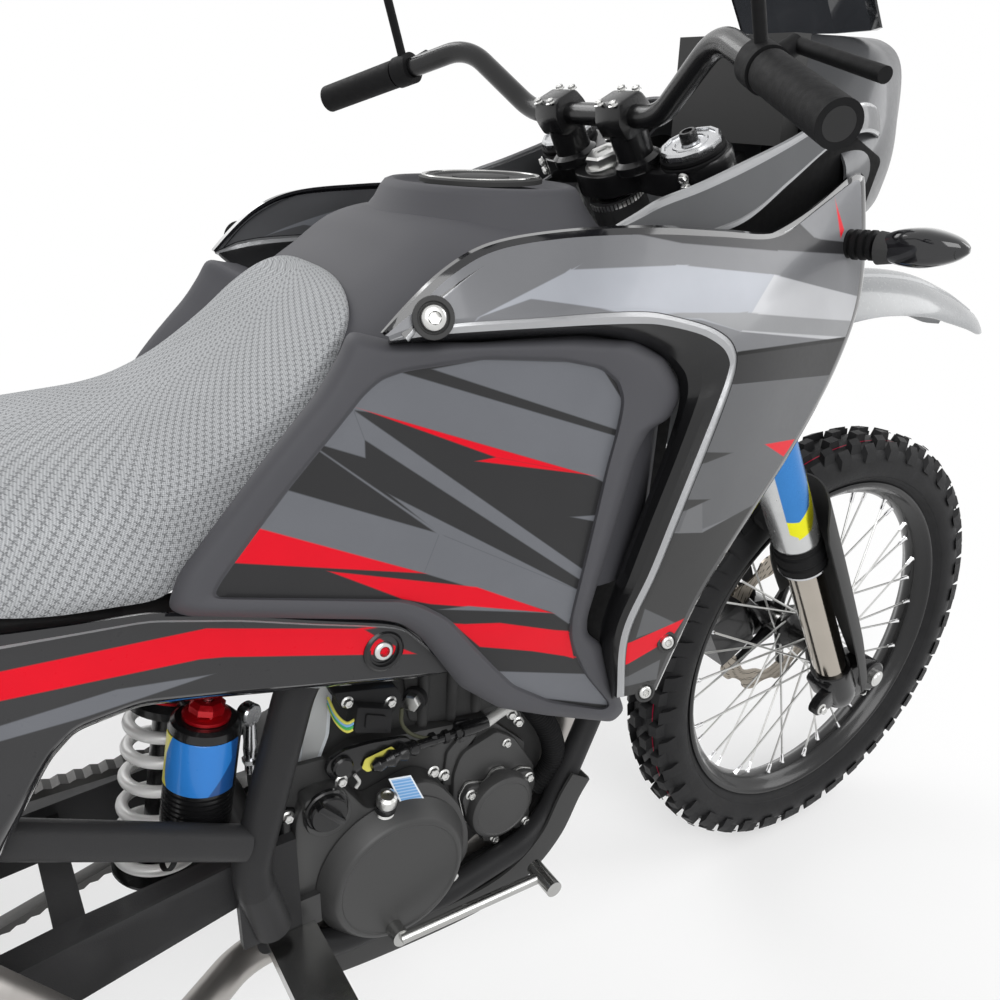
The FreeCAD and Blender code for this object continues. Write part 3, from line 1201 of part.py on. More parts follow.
def shock_body():
    foot, head = SHOCK_FOOT, SHOCK_HEAD
    rod = between(foot, head, sz.spring_radius * 0.45)
    low_cup = between(foot + (head - foot) * 0.1, foot + (head - foot) * 0.14, sz.spring_radius * 1.15)
    high_cup = between(foot + (head - foot) * 0.82, foot + (head - foot) * 0.92, sz.spring_radius * 1.15)
    can_foot = at(-0.172, 0, 0.54)
    can_foot.y = -(sz.spring_radius + sz.spring_wire_radius + sz.move_gap * 0.3 + sz.reservoir_radius)
    can = between(can_foot, can_foot + (head - foot) * 0.36, sz.reservoir_radius)
    arm = between(can_foot + (head - foot) * 0.34, foot + (head - foot) * 0.87, sz.spring_radius * 0.4)
    return fused([rod, low_cup, high_cup, can, arm])


COIL_RUNS, COIL_SIDES = 14, 6


def shock_spring():
    """A coil between the two cups, in short straight runs of a six-sided wire."""
    foot, head = SHOCK_FOOT, SHOCK_HEAD
    run = head - foot
    start = foot + run * 0.14
    wire = sz.spring_wire_radius
    height = run.Length * 0.68 - 2 * wire
    steps = int(sz.spring_turns * COIL_RUNS)
    sections = []
    for step in range(steps + 1):
        turn = 2 * math.pi * step / COIL_RUNS
        out = Vector(math.cos(turn), math.sin(turn), 0)
        middle = out * sz.spring_radius + UP * (height * step / steps)
        angles = [2 * math.pi * corner / COIL_SIDES for corner in range(COIL_SIDES)]
        sections.append([middle + out * wire * math.cos(angle) + UP * wire * math.sin(angle) for angle in angles])
    coil = loft(sections, True)
    coil.Placement = Placement(start + run.normalize() * wire, Rotation(UP, run))
    return coil


keep("rear_shock", shock_body())
keep("shock_spring", shock_spring())


def rear_caliper():
    """The caliper on top of the right arm, with a slot for the disc."""
    grip_half = sz.rear_disc_thickness / 2 + sz.move_gap * 0.6
    reach = sz.rear_disc_radius
    low = REAR_AXLE + Vector(reach * 0.3, rear_disc_y - sz.stanchion_radius, reach * 0.45)
    high = REAR_AXLE + Vector(reach * 0.95, rear_disc_y + sz.stanchion_radius * 0.8, reach * 1.15)
    slot = cylinder(REAR_AXLE + LEFT * (rear_disc_y - grip_half), LEFT, reach + sz.move_gap, 2 * grip_half)
    arm_inside = -ARM_REACH * 1.042 + sz.frame_tube_radius * 0.8 + sz.seat_gap
    bracket = slab(REAR_AXLE + Vector(reach * 0.35, arm_inside, reach * 0.05),
                   REAR_AXLE + Vector(reach * 0.8, rear_disc_y - sz.stanchion_radius * 0.6, reach * 0.6))
    return slab(low, high).fuse(bracket).cut(slot)


keep("rear_caliper", rear_caliper())


# Side stand: its foot lies flat on the leaned machine's floor
LEAN = Rotation(AHEAD, -sz.park_lean)
UNLEAN = Rotation(AHEAD, sz.park_lean)


def tyre_floor():
    """Height of the floor under both tyres once the machine is leaned."""
    lows = []
    for label in ("front_tyre", "rear_tyre"):
        lows += [LEAN.multVec(corner.Point).z for corner in pieces[label].Shape.Vertexes]
    return min(lows)


def side_stand():
    pivot = LEAN.multVec(STAND_PIVOT)
    foot = Vector(pivot.x + sz.stand_rake, pivot.y + sz.stand_spread, tyre_floor() + sz.stand_foot_thickness)
    sole = cylinder(foot - UP * sz.stand_foot_thickness, UP, sz.stand_foot_radius, sz.stand_foot_thickness)
    leg = between(pivot, foot, sz.stand_leg_radius)
    sole = fused([sole, leg]).cut(slab(foot + Vector(-sz.overrun * 3, -sz.overrun * 3, -sz.overrun * 3),
                                       foot + Vector(sz.overrun * 3, sz.overrun * 3, -sz.stand_foot_thickness)))
    sole.rotate(ORIGIN, AHEAD, sz.park_lean)
    eye_foot = STAND_PIVOT - STAND_AXIS * sz.stand_leg_radius
    eye = cylinder(eye_foot, STAND_AXIS, sz.stand_leg_radius * 1.5, sz.stand_leg_radius * 2)
    bore = cylinder(eye_foot - STAND_AXIS * sz.overrun, STAND_AXIS, sz.stand_pin_radius + sz.stand_pin_fit,
                    sz.stand_leg_radius * 2 + 2 * sz.overrun)
    return fused([sole, eye]).cut(bore)


keep("side_stand", side_stand())

# Parking: lean, then the origin goes to the middle of the box on the floor
doc.recompute()
for piece in pieces.values():
    piece.Placement = Placement(ORIGIN, LEAN).multiply(piece.Placement)
box = FreeCAD.BoundBox()
for piece in pieces.values():
    box.add(piece.Shape.BoundBox)
SHIFT = Vector(-(box.XMin + box.XMax) / 2, -(box.YMin + box.YMax) / 2, -box.ZMin)
for piece in pieces.values():
    piece.Placement = Placement(SHIFT, Rotation()).multiply(piece.Placement)
PARK = Placement(SHIFT, LEAN)

os.makedirs("parts", exist_ok=True)
for item in doc.Objects:
    if "Invalid" in item.State or "Error" in item.State:
        raise ValueError(f"{item.Label} failed to build")
faulty = [label for label, piece in pieces.items() if piece.Shape.isNull() or not piece.Shape.isValid()]
if faulty:
    raise ValueError(f"no valid shape: {faulty}")
for label, piece in pieces.items():
    piece.Shape.exportStep(f"parts/{label}.step")
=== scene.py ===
"""Dual sport motorcycle: the looks of every surface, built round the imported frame.

All shapes are worked out on the upright machine (x ahead, y left, z up, metres, road at z = 0)
and then laid over with it on its side stand.
"""

import json
import logging
import math
from dataclasses import dataclass
from enum import Enum
from typing import Sequence

import bmesh
import bpy
import numpy as np
from mathutils import Matrix, Vector


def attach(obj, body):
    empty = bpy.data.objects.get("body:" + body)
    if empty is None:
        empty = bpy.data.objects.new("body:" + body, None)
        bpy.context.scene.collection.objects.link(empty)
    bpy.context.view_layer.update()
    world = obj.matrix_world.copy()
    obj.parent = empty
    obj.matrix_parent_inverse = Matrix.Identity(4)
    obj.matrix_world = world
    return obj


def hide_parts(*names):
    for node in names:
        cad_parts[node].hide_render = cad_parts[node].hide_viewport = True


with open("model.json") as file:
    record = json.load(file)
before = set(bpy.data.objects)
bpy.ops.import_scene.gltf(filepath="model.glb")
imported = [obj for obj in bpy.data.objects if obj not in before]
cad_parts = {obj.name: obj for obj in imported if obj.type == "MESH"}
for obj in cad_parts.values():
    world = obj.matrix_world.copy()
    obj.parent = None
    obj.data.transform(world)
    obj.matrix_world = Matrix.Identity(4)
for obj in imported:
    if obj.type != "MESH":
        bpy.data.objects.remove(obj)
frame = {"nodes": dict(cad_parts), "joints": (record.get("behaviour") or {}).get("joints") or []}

log = logging.getLogger("motorcycle")
MM = 0.001
Colour = tuple[float, float, float]
Point = tuple[float, float, float]
Line = tuple[tuple[float, ...], ...]
Array = np.ndarray
FINE_STEPS = 6
TINY = 1e-9
WAVE = 6.283
GLASS_IOR = 1.46
COAT_ROUGHNESS = 0.08
SPECULAR_METAL, SPECULAR_GLOSS, SPECULAR_MATTE = 0.5, 0.30, 0.13
GLOSS_BELOW = 0.3
UP, RIGHT, LEFT, AHEAD = (0, 0, 1), (0, -1, 0), (0, 1, 0), (1, 0, 0)


# Places
@dataclass(frozen=True)
class Machine:
    """Driving sizes of the upright machine, as the CAD part has them."""

    front_axle: tuple[float, float, float] = (0.720, 0.0, 0.348)
    rear_axle: tuple[float, float, float] = (-0.780, 0.0, 0.338)
    lean_deg: float = 10.0
    rake_deg: float = 27.7
    axle_lead: float = 0.051
    clamp_offset: float = 0.029
    leg_half_spacing: float = 0.102


MACHINE = Machine()


class Place:
    """A rotation and a shift that carry points from one frame to another."""

    def __init__(self, turn: Array, shift: Array) -> None:
        """Keeps the turn, a 3 by 3 matrix, and the shift, in metres."""
        self.turn = turn
        self.shift = shift

    def __call__(self, points: Array) -> Array:
        """Carries points of shape (..., 3)."""
        return np.asarray(points, float) @ self.turn.T + self.shift

    def direction(self, way: Array) -> Array:
        """Carries a direction."""
        return np.asarray(way, float) @ self.turn.T


def turn_about_x(degrees: float) -> Array:
    """The matrix of a right-handed turn about X."""
    cosine, sine = math.cos(math.radians(degrees)), math.sin(math.radians(degrees))
    return np.array([[1, 0, 0], [0, cosine, -sine], [0, sine, cosine]])


def turn_about_y(degrees: float) -> Array:
    """The matrix of a right-handed turn about Y."""
    cosine, sine = math.cos(math.radians(degrees)), math.sin(math.radians(degrees))
    return np.array([[cosine, 0, sine], [0, 1, 0], [-sine, 0, cosine]])


def parked_place() -> Place:
    """Where the upright machine lies in the row frame, from the front wheel's joint."""
    joint = next(item for item in frame["joints"] if item["name"] == "front_wheel_spin")
    turn = turn_about_x(-MACHINE.lean_deg)
    return Place(turn, np.array(joint["pos_m"]) - turn @ np.array(MACHINE.front_axle))


def steering_place() -> Place:
    """The steering frame on the upright machine: Z along the steering axis, the axle at Z = 0."""
    turn = turn_about_y(-MACHINE.rake_deg)
    back = turn @ np.array([MACHINE.axle_lead + MACHINE.clamp_offset, 0, 0])
    return Place(turn, np.array(MACHINE.front_axle) - back)


PARK = parked_place()
STEER = steering_place()


# Curves and surfaces
def circle(count: int) -> Array:
    """Angles at even steps round a circle."""
    return np.linspace(0, 2 * np.pi, count, endpoint=False)


def steps_of(line: Array) -> Array:
    """How far each point of a line lies from its start, along it."""
    return np.concatenate([[0], np.cumsum(np.linalg.norm(np.diff(line, axis=0), axis=1))])


def directions(line: Array) -> Array:
    """The unit direction of a line at each of its points."""
    way = np.gradient(line, axis=0)
    return way / np.linalg.norm(way, axis=1, keepdims=True)


def curve(points: Sequence[Sequence[float]], count: int, even: bool = True) -> Array:
    """A smooth line through points.

    Formula: Catmull-Rom segments, then points at even steps of the line's length.

    Args:
        points: the points to pass through, of any dimension.
        count: how many points the line gets.
        even: even steps of length, or else even steps between the given points.

    Returns:
        An array of count points.
    """
    knots = np.asarray(points, float)
    padded = np.vstack([2 * knots[0] - knots[1], knots, 2 * knots[-1] - knots[-2]])
    fine = count * FINE_STEPS if even else count
    t = np.linspace(0, len(knots) - 1, fine)
    i = np.minimum(t.astype(int), len(knots) - 2)
    f = (t - i)[:, None]
    a, b, c, d = padded[i], padded[i + 1], padded[i + 2], padded[i + 3]
    line = 0.5 * (2 * b + (c - a) * f + (2 * a - 5 * b + 4 * c - d) * f**2 + (3 * b - a - 3 * c + d) * f**3)
    if not even:
        return line
    run = steps_of(line)
    steps = np.linspace(0, run[-1], count)
    return np.stack([np.interp(steps, run, line[:, k]) for k in range(line.shape[1])], axis=1)


def straight(points: Sequence[Sequence[float]], count: int) -> Array:
    """Points at even steps along straight runs.

    Args:
        points: the corners, of any dimension.
        count: how many points the line gets.

    Returns:
        An array of count points.
    """
    knots = np.asarray(points, float)
    run = steps_of(knots)
    steps = np.linspace(0, run[-1], count)
    return np.stack([np.interp(steps, run, knots[:, k]) for k in range(knots.shape[1])], axis=1)


def lattice(stations: Array, rows: int, columns: int) -> Array:
    """A smooth surface through stations of shape (stations, knots, k), rows by columns points."""
    across = np.stack([curve(line, columns, even=False) for line in stations])
    return np.stack([curve(across[:, j], rows, even=False) for j in range(columns)], axis=1)


def normals(grid: Array) -> Array:
    """Unit normals of a grid, from the cross product of its two directions.

    Args:
        grid: points of shape (rows, columns, 3).

    Returns:
        One unit direction for each point.
    """
    along = np.gradient(grid, axis=0)
    across = np.gradient(grid, axis=1)
    cross = np.cross(along, across)
    return cross / np.maximum(np.linalg.norm(cross, axis=2, keepdims=True), 1e-12)


def frames_along(path: Array, up: Sequence[float] = UP) -> tuple[Array, Array]:
    """Two unit directions across a path at each of its points, kept from twisting.

    Args:
        path: the path's points.
        up: the first guess of the upward direction.

    Returns:
        The sideways and the upward direction at each point.
    """
    way = directions(path)
    side = np.zeros_like(path)
    start = np.cross(up, way[0])
    if np.linalg.norm(start) < 1e-3:
        start = np.cross((1.0, 0.0, 0.0), way[0])
    side[0] = start / np.linalg.norm(start)
    for k in range(1, len(path)):
        moved = side[k - 1] - way[k] * (side[k - 1] @ way[k])
        side[k] = moved / np.linalg.norm(moved)
    return side, np.cross(way, side)


def tube(path: Array, radius: float | Array, sides: int = 16) -> Array:
    """A round tube: centre + radius * (side * cos + up * sin), at each point of the path.

    Args:
        path: the middle line's points.
        radius: one radius, or one for each point.
        sides: points round the tube.

    Returns:
        A grid, one row for each point, that closes on itself across.
    """
    side, up = frames_along(path)
    angle = circle(sides)
    reach = np.broadcast_to(np.asarray(radius, float), (len(path),))[:, None, None]
    ring = side[:, None, :] * np.cos(angle)[None, :, None] + up[:, None, :] * np.sin(angle)[None, :, None]
    return path[:, None, :] + ring * reach


def turned(profile: Sequence[Sequence[float]], base: Sequence[float], axis: Sequence[float],
           sides: int = 32) -> Array:
    """A turned form: each (radius, height) of the profile goes round the axis.

    Args:
        profile: pairs of radius and height along the axis.
        base: where height 0 lies.
        axis: the axis' direction.
        sides: points round the axis.

    Returns:
        A grid, one row for each profile point, that closes on itself across.
    """
    way = np.asarray(axis, float) / np.linalg.norm(axis)
    side = np.cross(way, (0.0, 0.0, 1.0) if abs(way[2]) < 0.9 else (1.0, 0.0, 0.0))
    side /= np.linalg.norm(side)
    up = np.cross(way, side)
    angle = circle(sides)
    ring = side * np.cos(angle)[:, None] + up * np.sin(angle)[:, None]
    radius, height = np.asarray(profile, float).T
    return np.asarray(base, float) + way * height[:, None, None] + ring[None] * radius[:, None, None]


def distance_inside(points: Array, outline: Sequence[Sequence[float]]) -> Array:
    """How deep each 2-D point lies inside a closed outline, negative outside.

    Args:
        points: places of shape (..., 2).
        outline: the outline's corners.

    Returns:
        One distance for each place.
    """
    corners = np.asarray(outline, float)
    start, finish = corners, np.roll(corners, -1, axis=0)
    flat = points.reshape(-1, 2)
    edge = finish - start
    gap = flat[:, None, :] - start[None]
    share = np.clip((gap * edge).sum(-1) / (edge**2).sum(-1), 0, 1)
    reach = np.linalg.norm(gap - share[..., None] * edge, axis=-1).min(axis=1)
    x, y = flat[:, 0:1], flat[:, 1:2]
    crosses = (start[:, 1] > y) != (finish[:, 1] > y)
    rise = np.where(finish[:, 1] == start[:, 1], 1e-12, finish[:, 1] - start[:, 1])
    left = x < edge[:, 0] * (y - start[:, 1]) / rise + start[:, 0]
    inside = (crosses & left).sum(axis=1) % 2 == 1
    return np.where(inside, reach, -reach).reshape(points.shape[:-1])


def area_of(corners: Sequence[Sequence[float]]) -> float:
    """The signed area of a closed outline, positive when it runs counter-clockwise."""
    table = np.asarray(corners, float)
    x, y = table[:, 0], table[:, 1]
    return 0.5 * float(np.sum(x * np.roll(y, -1) - np.roll(x, -1) * y))


def rounded(corners: Sequence[Sequence[float]], radius: float, steps: int = 6) -> Array:
    """A closed outline with round corners.

    Formula: at each corner a quadratic arc from a radius before it to a radius behind it,
    (1 - t)^2 * start + 2 t (1 - t) * corner + t^2 * end.

    Args:
        corners: the outline's corners.
        radius: how far each round corner reaches.
        steps: points of each arc.

    Returns:
        The rounded outline's points.
    """
    table = np.asarray(corners, float)
    before, after = np.roll(table, 1, axis=0) - table, np.roll(table, -1, axis=0) - table
    reach = [np.minimum(radius, 0.45 * np.linalg.norm(way, axis=1)) for way in (before, after)]
    start = table + before * (reach[0] / np.maximum(np.linalg.norm(before, axis=1), TINY))[:, None]
    finish = table + after * (reach[1] / np.maximum(np.linalg.norm(after, axis=1), TINY))[:, None]
    t = np.linspace(0, 1, steps)[None, :, None]
    arcs = (1 - t) ** 2 * start[:, None] + 2 * t * (1 - t) * table[:, None] + t**2 * finish[:, None]
    return arcs.reshape(-1, 2)


def inset(outline: Array, reach: float) -> Array:
    """An outline drawn in: each corner moves along the mitre of its two edges' inward normals.

    Args:
        outline: the outline's points.
        reach: how far it is drawn in; outwards when negative.

    Returns:
        The drawn-in outline.
    """
    ahead = np.roll(outline, -1, axis=0) - outline
    ahead = ahead / np.maximum(np.linalg.norm(ahead, axis=1, keepdims=True), TINY)
    inward = np.stack([-ahead[:, 1], ahead[:, 0]], axis=1) * (1.0 if area_of(outline) > 0 else -1.0)
    mitre = inward + np.roll(inward, 1, axis=0)
    mitre = mitre / np.maximum((mitre**2).sum(axis=1, keepdims=True) / 2, 0.5)
    return outline + mitre * reach


def smoothstep(value: Array) -> Array:
    """0 below 0, 1 above 1, and a smooth rise between."""
    t = np.clip(value, 0, 1)
    return t * t * (3 - 2 * t)


class SideHull:
    """The half width of bodywork over its side view.

    Formula: a thin plate bent through knots, the sum of r * r * log(r) about each knot plus a plane.
    """

    def __init__(self, knots: Sequence[tuple[float, float, float]]) -> None:
        """Takes knots of x, z and half width, in millimetres."""
        table = np.asarray(knots, float) * MM
        self.places = table[:, :2]
        count = len(table)
        matrix = np.zeros((count + 3, count + 3))
        matrix[:count, :count] = self._bend(self.places)
        matrix[:count, count:] = np.hstack([np.ones((count, 1)), self.places])
        matrix[count:, :count] = matrix[:count, count:].T
        self.weights = np.linalg.solve(matrix, np.concatenate([table[:, 2], np.zeros(3)]))

    def _bend(self, points: Array) -> Array:
        """The plate's response at points to each knot."""
        reach = np.linalg.norm(points[:, None, :] - self.places[None], axis=2)
        return np.where(reach > TINY, reach**2 * np.log(np.maximum(reach, TINY)), 0.0)

    def __call__(self, chart: Array) -> Array:
        """The half width at side-view places of shape (..., 2)."""
        flat = chart.reshape(-1, 2)
        plane = np.hstack([np.ones((len(flat), 1)), flat])
        return (self._bend(flat) @ self.weights[:-3] + plane @ self.weights[-3:]).reshape(chart.shape[:-1])


# Meshes
class Draft:
    """Collects grids and blocks on the upright machine, then makes one mesh object of them."""

    def __init__(self, name: str) -> None:
        """Starts an empty piece."""
        self.name = name
        self.points: list[Array] = []
        self.faces: list[list[int]] = []
        self.slots: list[int] = []
        self.flow: list[Array] = []
        self.count = 0

    def _add_points(self, points: Array, flow: Array | None) -> int:
        """Adds points with their along and across lengths, and returns the first one's number.

        Args:
            points: points of any shape that ends in 3.
            flow: each point's place on its pattern, or none.

        Returns:
            The first new point's number.
        """
        first = self.count
        flat = points.reshape(-1, 3)
        self.points.append(flat)
        self.flow.append(np.zeros((len(flat), 2)) if flow is None else flow.reshape(-1, 2))
        self.count += len(flat)
        return first

    def grid(self, grid: Array, slot: int | Array = 0, wrap: bool = False, ring: bool = False,
             caps: bool = False, chart: Array | None = None) -> "Draft":
        """Adds a grid of points.

        Args:
            grid: points of shape (rows, columns, 3).
            slot: a material number, or one for each column strip.
            wrap: joins the last column to the first.
            ring: joins the last row to the first.
            caps: closes the first and last row with a face, for a wrapped grid.
            chart: each point's place on its pattern, or none for lengths along and across.

        Returns:
            The draft itself.
        """
        rows, columns = grid.shape[:2]
        along = np.concatenate([np.zeros((1, columns)),
                                np.cumsum(np.linalg.norm(np.diff(grid, axis=0), axis=2), axis=0)])
        across = np.concatenate([np.zeros((rows, 1)),
                                 np.cumsum(np.linalg.norm(np.diff(grid, axis=1), axis=2), axis=1)], axis=1)
        first = self._add_points(grid, np.stack([along, across], axis=2) if chart is None else chart)
        number = np.arange(rows * columns).reshape(rows, columns) + first
        if wrap:
            number = np.hstack([number, number[:, :1]])
        if ring:
            number = np.vstack([number, number[:1]])
        quads = np.stack([number[:-1, :-1], number[1:, :-1], number[1:, 1:], number[:-1, 1:]], axis=2)
        self.faces += quads.reshape(-1, 4).tolist()
        strips = np.broadcast_to(np.asarray(slot), (quads.shape[1],))
        self.slots += np.tile(strips, quads.shape[0]).tolist()
        if caps:
            self.faces += [number[0, :columns].tolist(), number[-1, :columns][::-1].tolist()]
            self.slots += [int(strips[0]), int(strips[-1])]
        return self

    def shell(self, grid: Array, thickness: float | Array, slot: int | Array = 0,
              chart: Array | None = None) -> "Draft":
        """Adds a sheet with its wall: the grid, the grid moved along its normals and four rims.

        Args:
            grid: points of shape (rows, columns, 3).
            thickness: the wall, one or for each point.
            slot: a material number, or one for each column strip.
            chart: each point's place on its pattern, or none.

        Returns:
            The draft itself.
        """
        wall = np.asarray(thickness, float)
        inner = grid - normals(grid) * (wall[..., None] if wall.ndim else wall)
        loop = np.concatenate([grid, inner[:, ::-1]], axis=1)
        strips = np.broadcast_to(np.asarray(slot), (grid.shape[1] - 1,))
        edge = np.concatenate([strips, strips[-1:], strips[::-1], strips[:1]])
        both = None if chart is None else np.concatenate([chart, chart[:, ::-1]], axis=1)
        self.grid(loop, edge, wrap=True, chart=both)
        start = self.count - loop.shape[0] * loop.shape[1]
        number = np.arange(loop.shape[0] * loop.shape[1]).reshape(loop.shape[:2]) + start
        half = grid.shape[1]
        for row in (number[0], number[-1]):
            outer, back = row[:half], row[half:][::-1]
            self.faces += np.stack([outer[:-1], outer[1:], back[1:], back[:-1]], axis=1).tolist()
            self.slots += strips.tolist()
        return self

    def block(self, corners: Array, faces: Sequence[Sequence[int]], slot: int = 0) -> "Draft":
        """Adds many copies of one small form: corners of shape (copies, points, 3).

        Args:
            corners: the copies' corners.
            faces: each face's corners, by number.
            slot: the material number.

        Returns:
            The draft itself.
        """
        copies, size = corners.shape[:2]
        first = self._add_points(corners, None)
        for face in faces:
            numbers = np.asarray(face)[None, :] + np.arange(copies)[:, None] * size + first
            self.faces += numbers.tolist()
            self.slots += [slot] * copies
        return self

    def plate(self, corners: Sequence[Sequence[float]], near: float, far: float, slot: int = 0,
              radius: float = 3.0, edge: float = 1.2, flat: str = "xz") -> "Draft":
        """Adds a flat plate with round corners and a bevelled outer face.

        Args:
            corners: its outline in millimetres, as x and z, or as x and y for a level plate.
            near: where its outer face lies across the outline's plane, in millimetres.
            far: where its hidden face lies.
            slot: the material number.
            radius: how far the round corners reach, in millimetres.
            edge: the bevel, in millimetres.
            flat: "xz" for an upright plate or "xy" for a level one.

        Returns:
            The draft itself.
        """
        outline = rounded(np.asarray(corners, float), radius) * MM
        out = math.copysign(1.0, near - far)
        rows = [(outline, far), (outline, near - out * edge),
                (inset(outline, edge * 0.3 * MM), near - out * edge * 0.3), (inset(outline, edge * MM), near)]
        stack = []
        for line, depth in rows:
            level = np.full(len(line), depth * MM)
            stack.append(np.stack([line[:, 0], level, line[:, 1]] if flat == "xz" else
                                  [line[:, 0], line[:, 1], level], axis=1))
        return self.grid(np.stack(stack), slot, wrap=True, caps=True)

    def rod(self, points: Sequence[Sequence[float]], radius: float | Sequence[float], slot: int = 0,
            sides: int = 16, count: int = 40, bent: bool = True) -> "Draft":
        """Adds a round rod or hose through points, both in millimetres; radii are spread evenly along it.

        Args:
            points: the middle line.
            radius: one radius, or some to spread along it.
            slot: the material number.
            sides: points round the rod.
            count: points along the rod.
            bent: a smooth line, or else straight runs.

        Returns:
            The draft itself.
        """
        knots = np.asarray(points, float) * MM
        path = curve(knots, count) if bent and len(knots) > 2 else straight(knots, count)
        reach = np.atleast_1d(np.asarray(radius, float)) * MM
        spread = np.interp(np.linspace(0, 1, len(path)), np.linspace(0, 1, len(reach)), reach)
        return self.grid(tube(path, spread, sides), slot, wrap=True, caps=True)

    def bolt(self, head: Sequence[float], axis: Sequence[float], across: float = 10.0,
             slot: int = 0) -> "Draft":
        """Adds a flanged six-sided bolt head, its seat at a place in millimetres.

        Args:
            head: where its seat lies.
            axis: which way the head points.
            across: the head's width, in millimetres.
            slot: the material number.

        Returns:
            The draft itself.
        """
        base = np.asarray(head, float) * MM
        flange = [(0, 0), (1.45, 0), (1.45, 0.22), (1.05, 0.45), (0, 0.45)]
        six_sided = [(1.12, 0.3), (1.12, 1.0), (0.95, 1.2), (0.62, 1.2), (0.55, 1.05), (0, 1.05)]
        for form, sides in ((flange, 24), (six_sided, 6)):
            self.grid(turned(np.array(form) * (across / 2) * MM, base, axis, sides), slot, wrap=True)
        return self

    def lathe(self, profile: Sequence[Sequence[float]], base: Sequence[float], axis: Sequence[float],
              slot: int = 0, sides: int = 32) -> "Draft":
        """Adds a turned form from pairs of radius and height and a foot, all in millimetres; it is closed.

        Args:
            profile: pairs of radius and height.
            base: where height 0 lies.
            axis: the axis' direction.
            slot: the material number.
            sides: points round the axis.

        Returns:
            The draft itself.
        """
        hollow = profile[0][0] > 0 and profile[-1][0] > 0 and len(profile) > 2
        return self.grid(turned(np.asarray(profile, float) * MM, np.asarray(base, float) * MM, axis, sides),
                         slot, wrap=True, ring=hollow, caps=not hollow)

    def mirrored(self) -> "Draft":
        """Adds the same forms on the other side of the machine."""
        points = np.vstack(self.points)
        flow = np.vstack(self.flow)
        faces, slots = list(self.faces), list(self.slots)
        first = self._add_points(points * np.array([1, -1, 1]), flow)
        self.faces += [[first + k for k in reversed(face)] for face in faces]
        self.slots += slots
        return self

    def finish(self, body: str, finishes: Sequence["Finish"], replaces: Sequence[str] = (),
               within: Place | None = None, sharp_deg: float = 34.0,
               outward: bool = True) -> bpy.types.Object:
        """Makes the mesh object, in place, with its maps and finishes.

        Args:
            body: the CAD body that the piece rides on.
            finishes: the finish of each slot number.
            replaces: CAD nodes that the piece stands for.
            within: the frame of the points on the upright machine, or none.
            sharp_deg: edges sharper than this stay crisp.
            outward: turns the faces of closed forms outwards.

        Returns:
            The object, at the origin, riding on its body.
        """
        points = np.vstack(self.points)
        upright = within(points) if within else points
        parked = PARK(upright)
        mesh = bpy.data.meshes.new(self.name)
        mesh.from_pydata(parked.tolist(), [], self.faces)
        mesh.polygons.foreach_set("material_index", np.asarray(self.slots, np.int32))
        corner = np.zeros(len(mesh.loops), np.int32)
        mesh.loops.foreach_get("vertex_index", corner)
        for title, table in (("side", upright[:, [0, 2]]), ("flow", np.vstack(self.flow))):
            layer = mesh.uv_layers.new(name=title)
            layer.data.foreach_set("uv", table[corner].astype(np.float32).ravel())
        if outward:
            shape = bmesh.new()
            shape.from_mesh(mesh)
            bmesh.ops.remove_doubles(shape, verts=shape.verts, dist=1e-6)
            bmesh.ops.recalc_face_normals(shape, faces=shape.faces)
            shape.to_mesh(mesh)
            shape.free()
        mesh.shade_smooth()
        mesh.set_sharp_from_angle(angle=math.radians(sharp_deg))
        for item in finishes:
            mesh.materials.append(item.material())
        piece = bpy.data.objects.new(self.name, mesh)
        bpy.context.scene.collection.objects.link(piece)
        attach(piece, body)
        if replaces:
            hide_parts(*replaces)
        log.info("%s: %d faces on %s", self.name, len(mesh.polygons), body)
        return piece


# Finishes
class Relief(Enum):
    """What makes the fine relief of a finish."""

    NONE = "none"
    GRAIN = "grain"
    CAST = "cast"
    BRUSHED = "brushed"


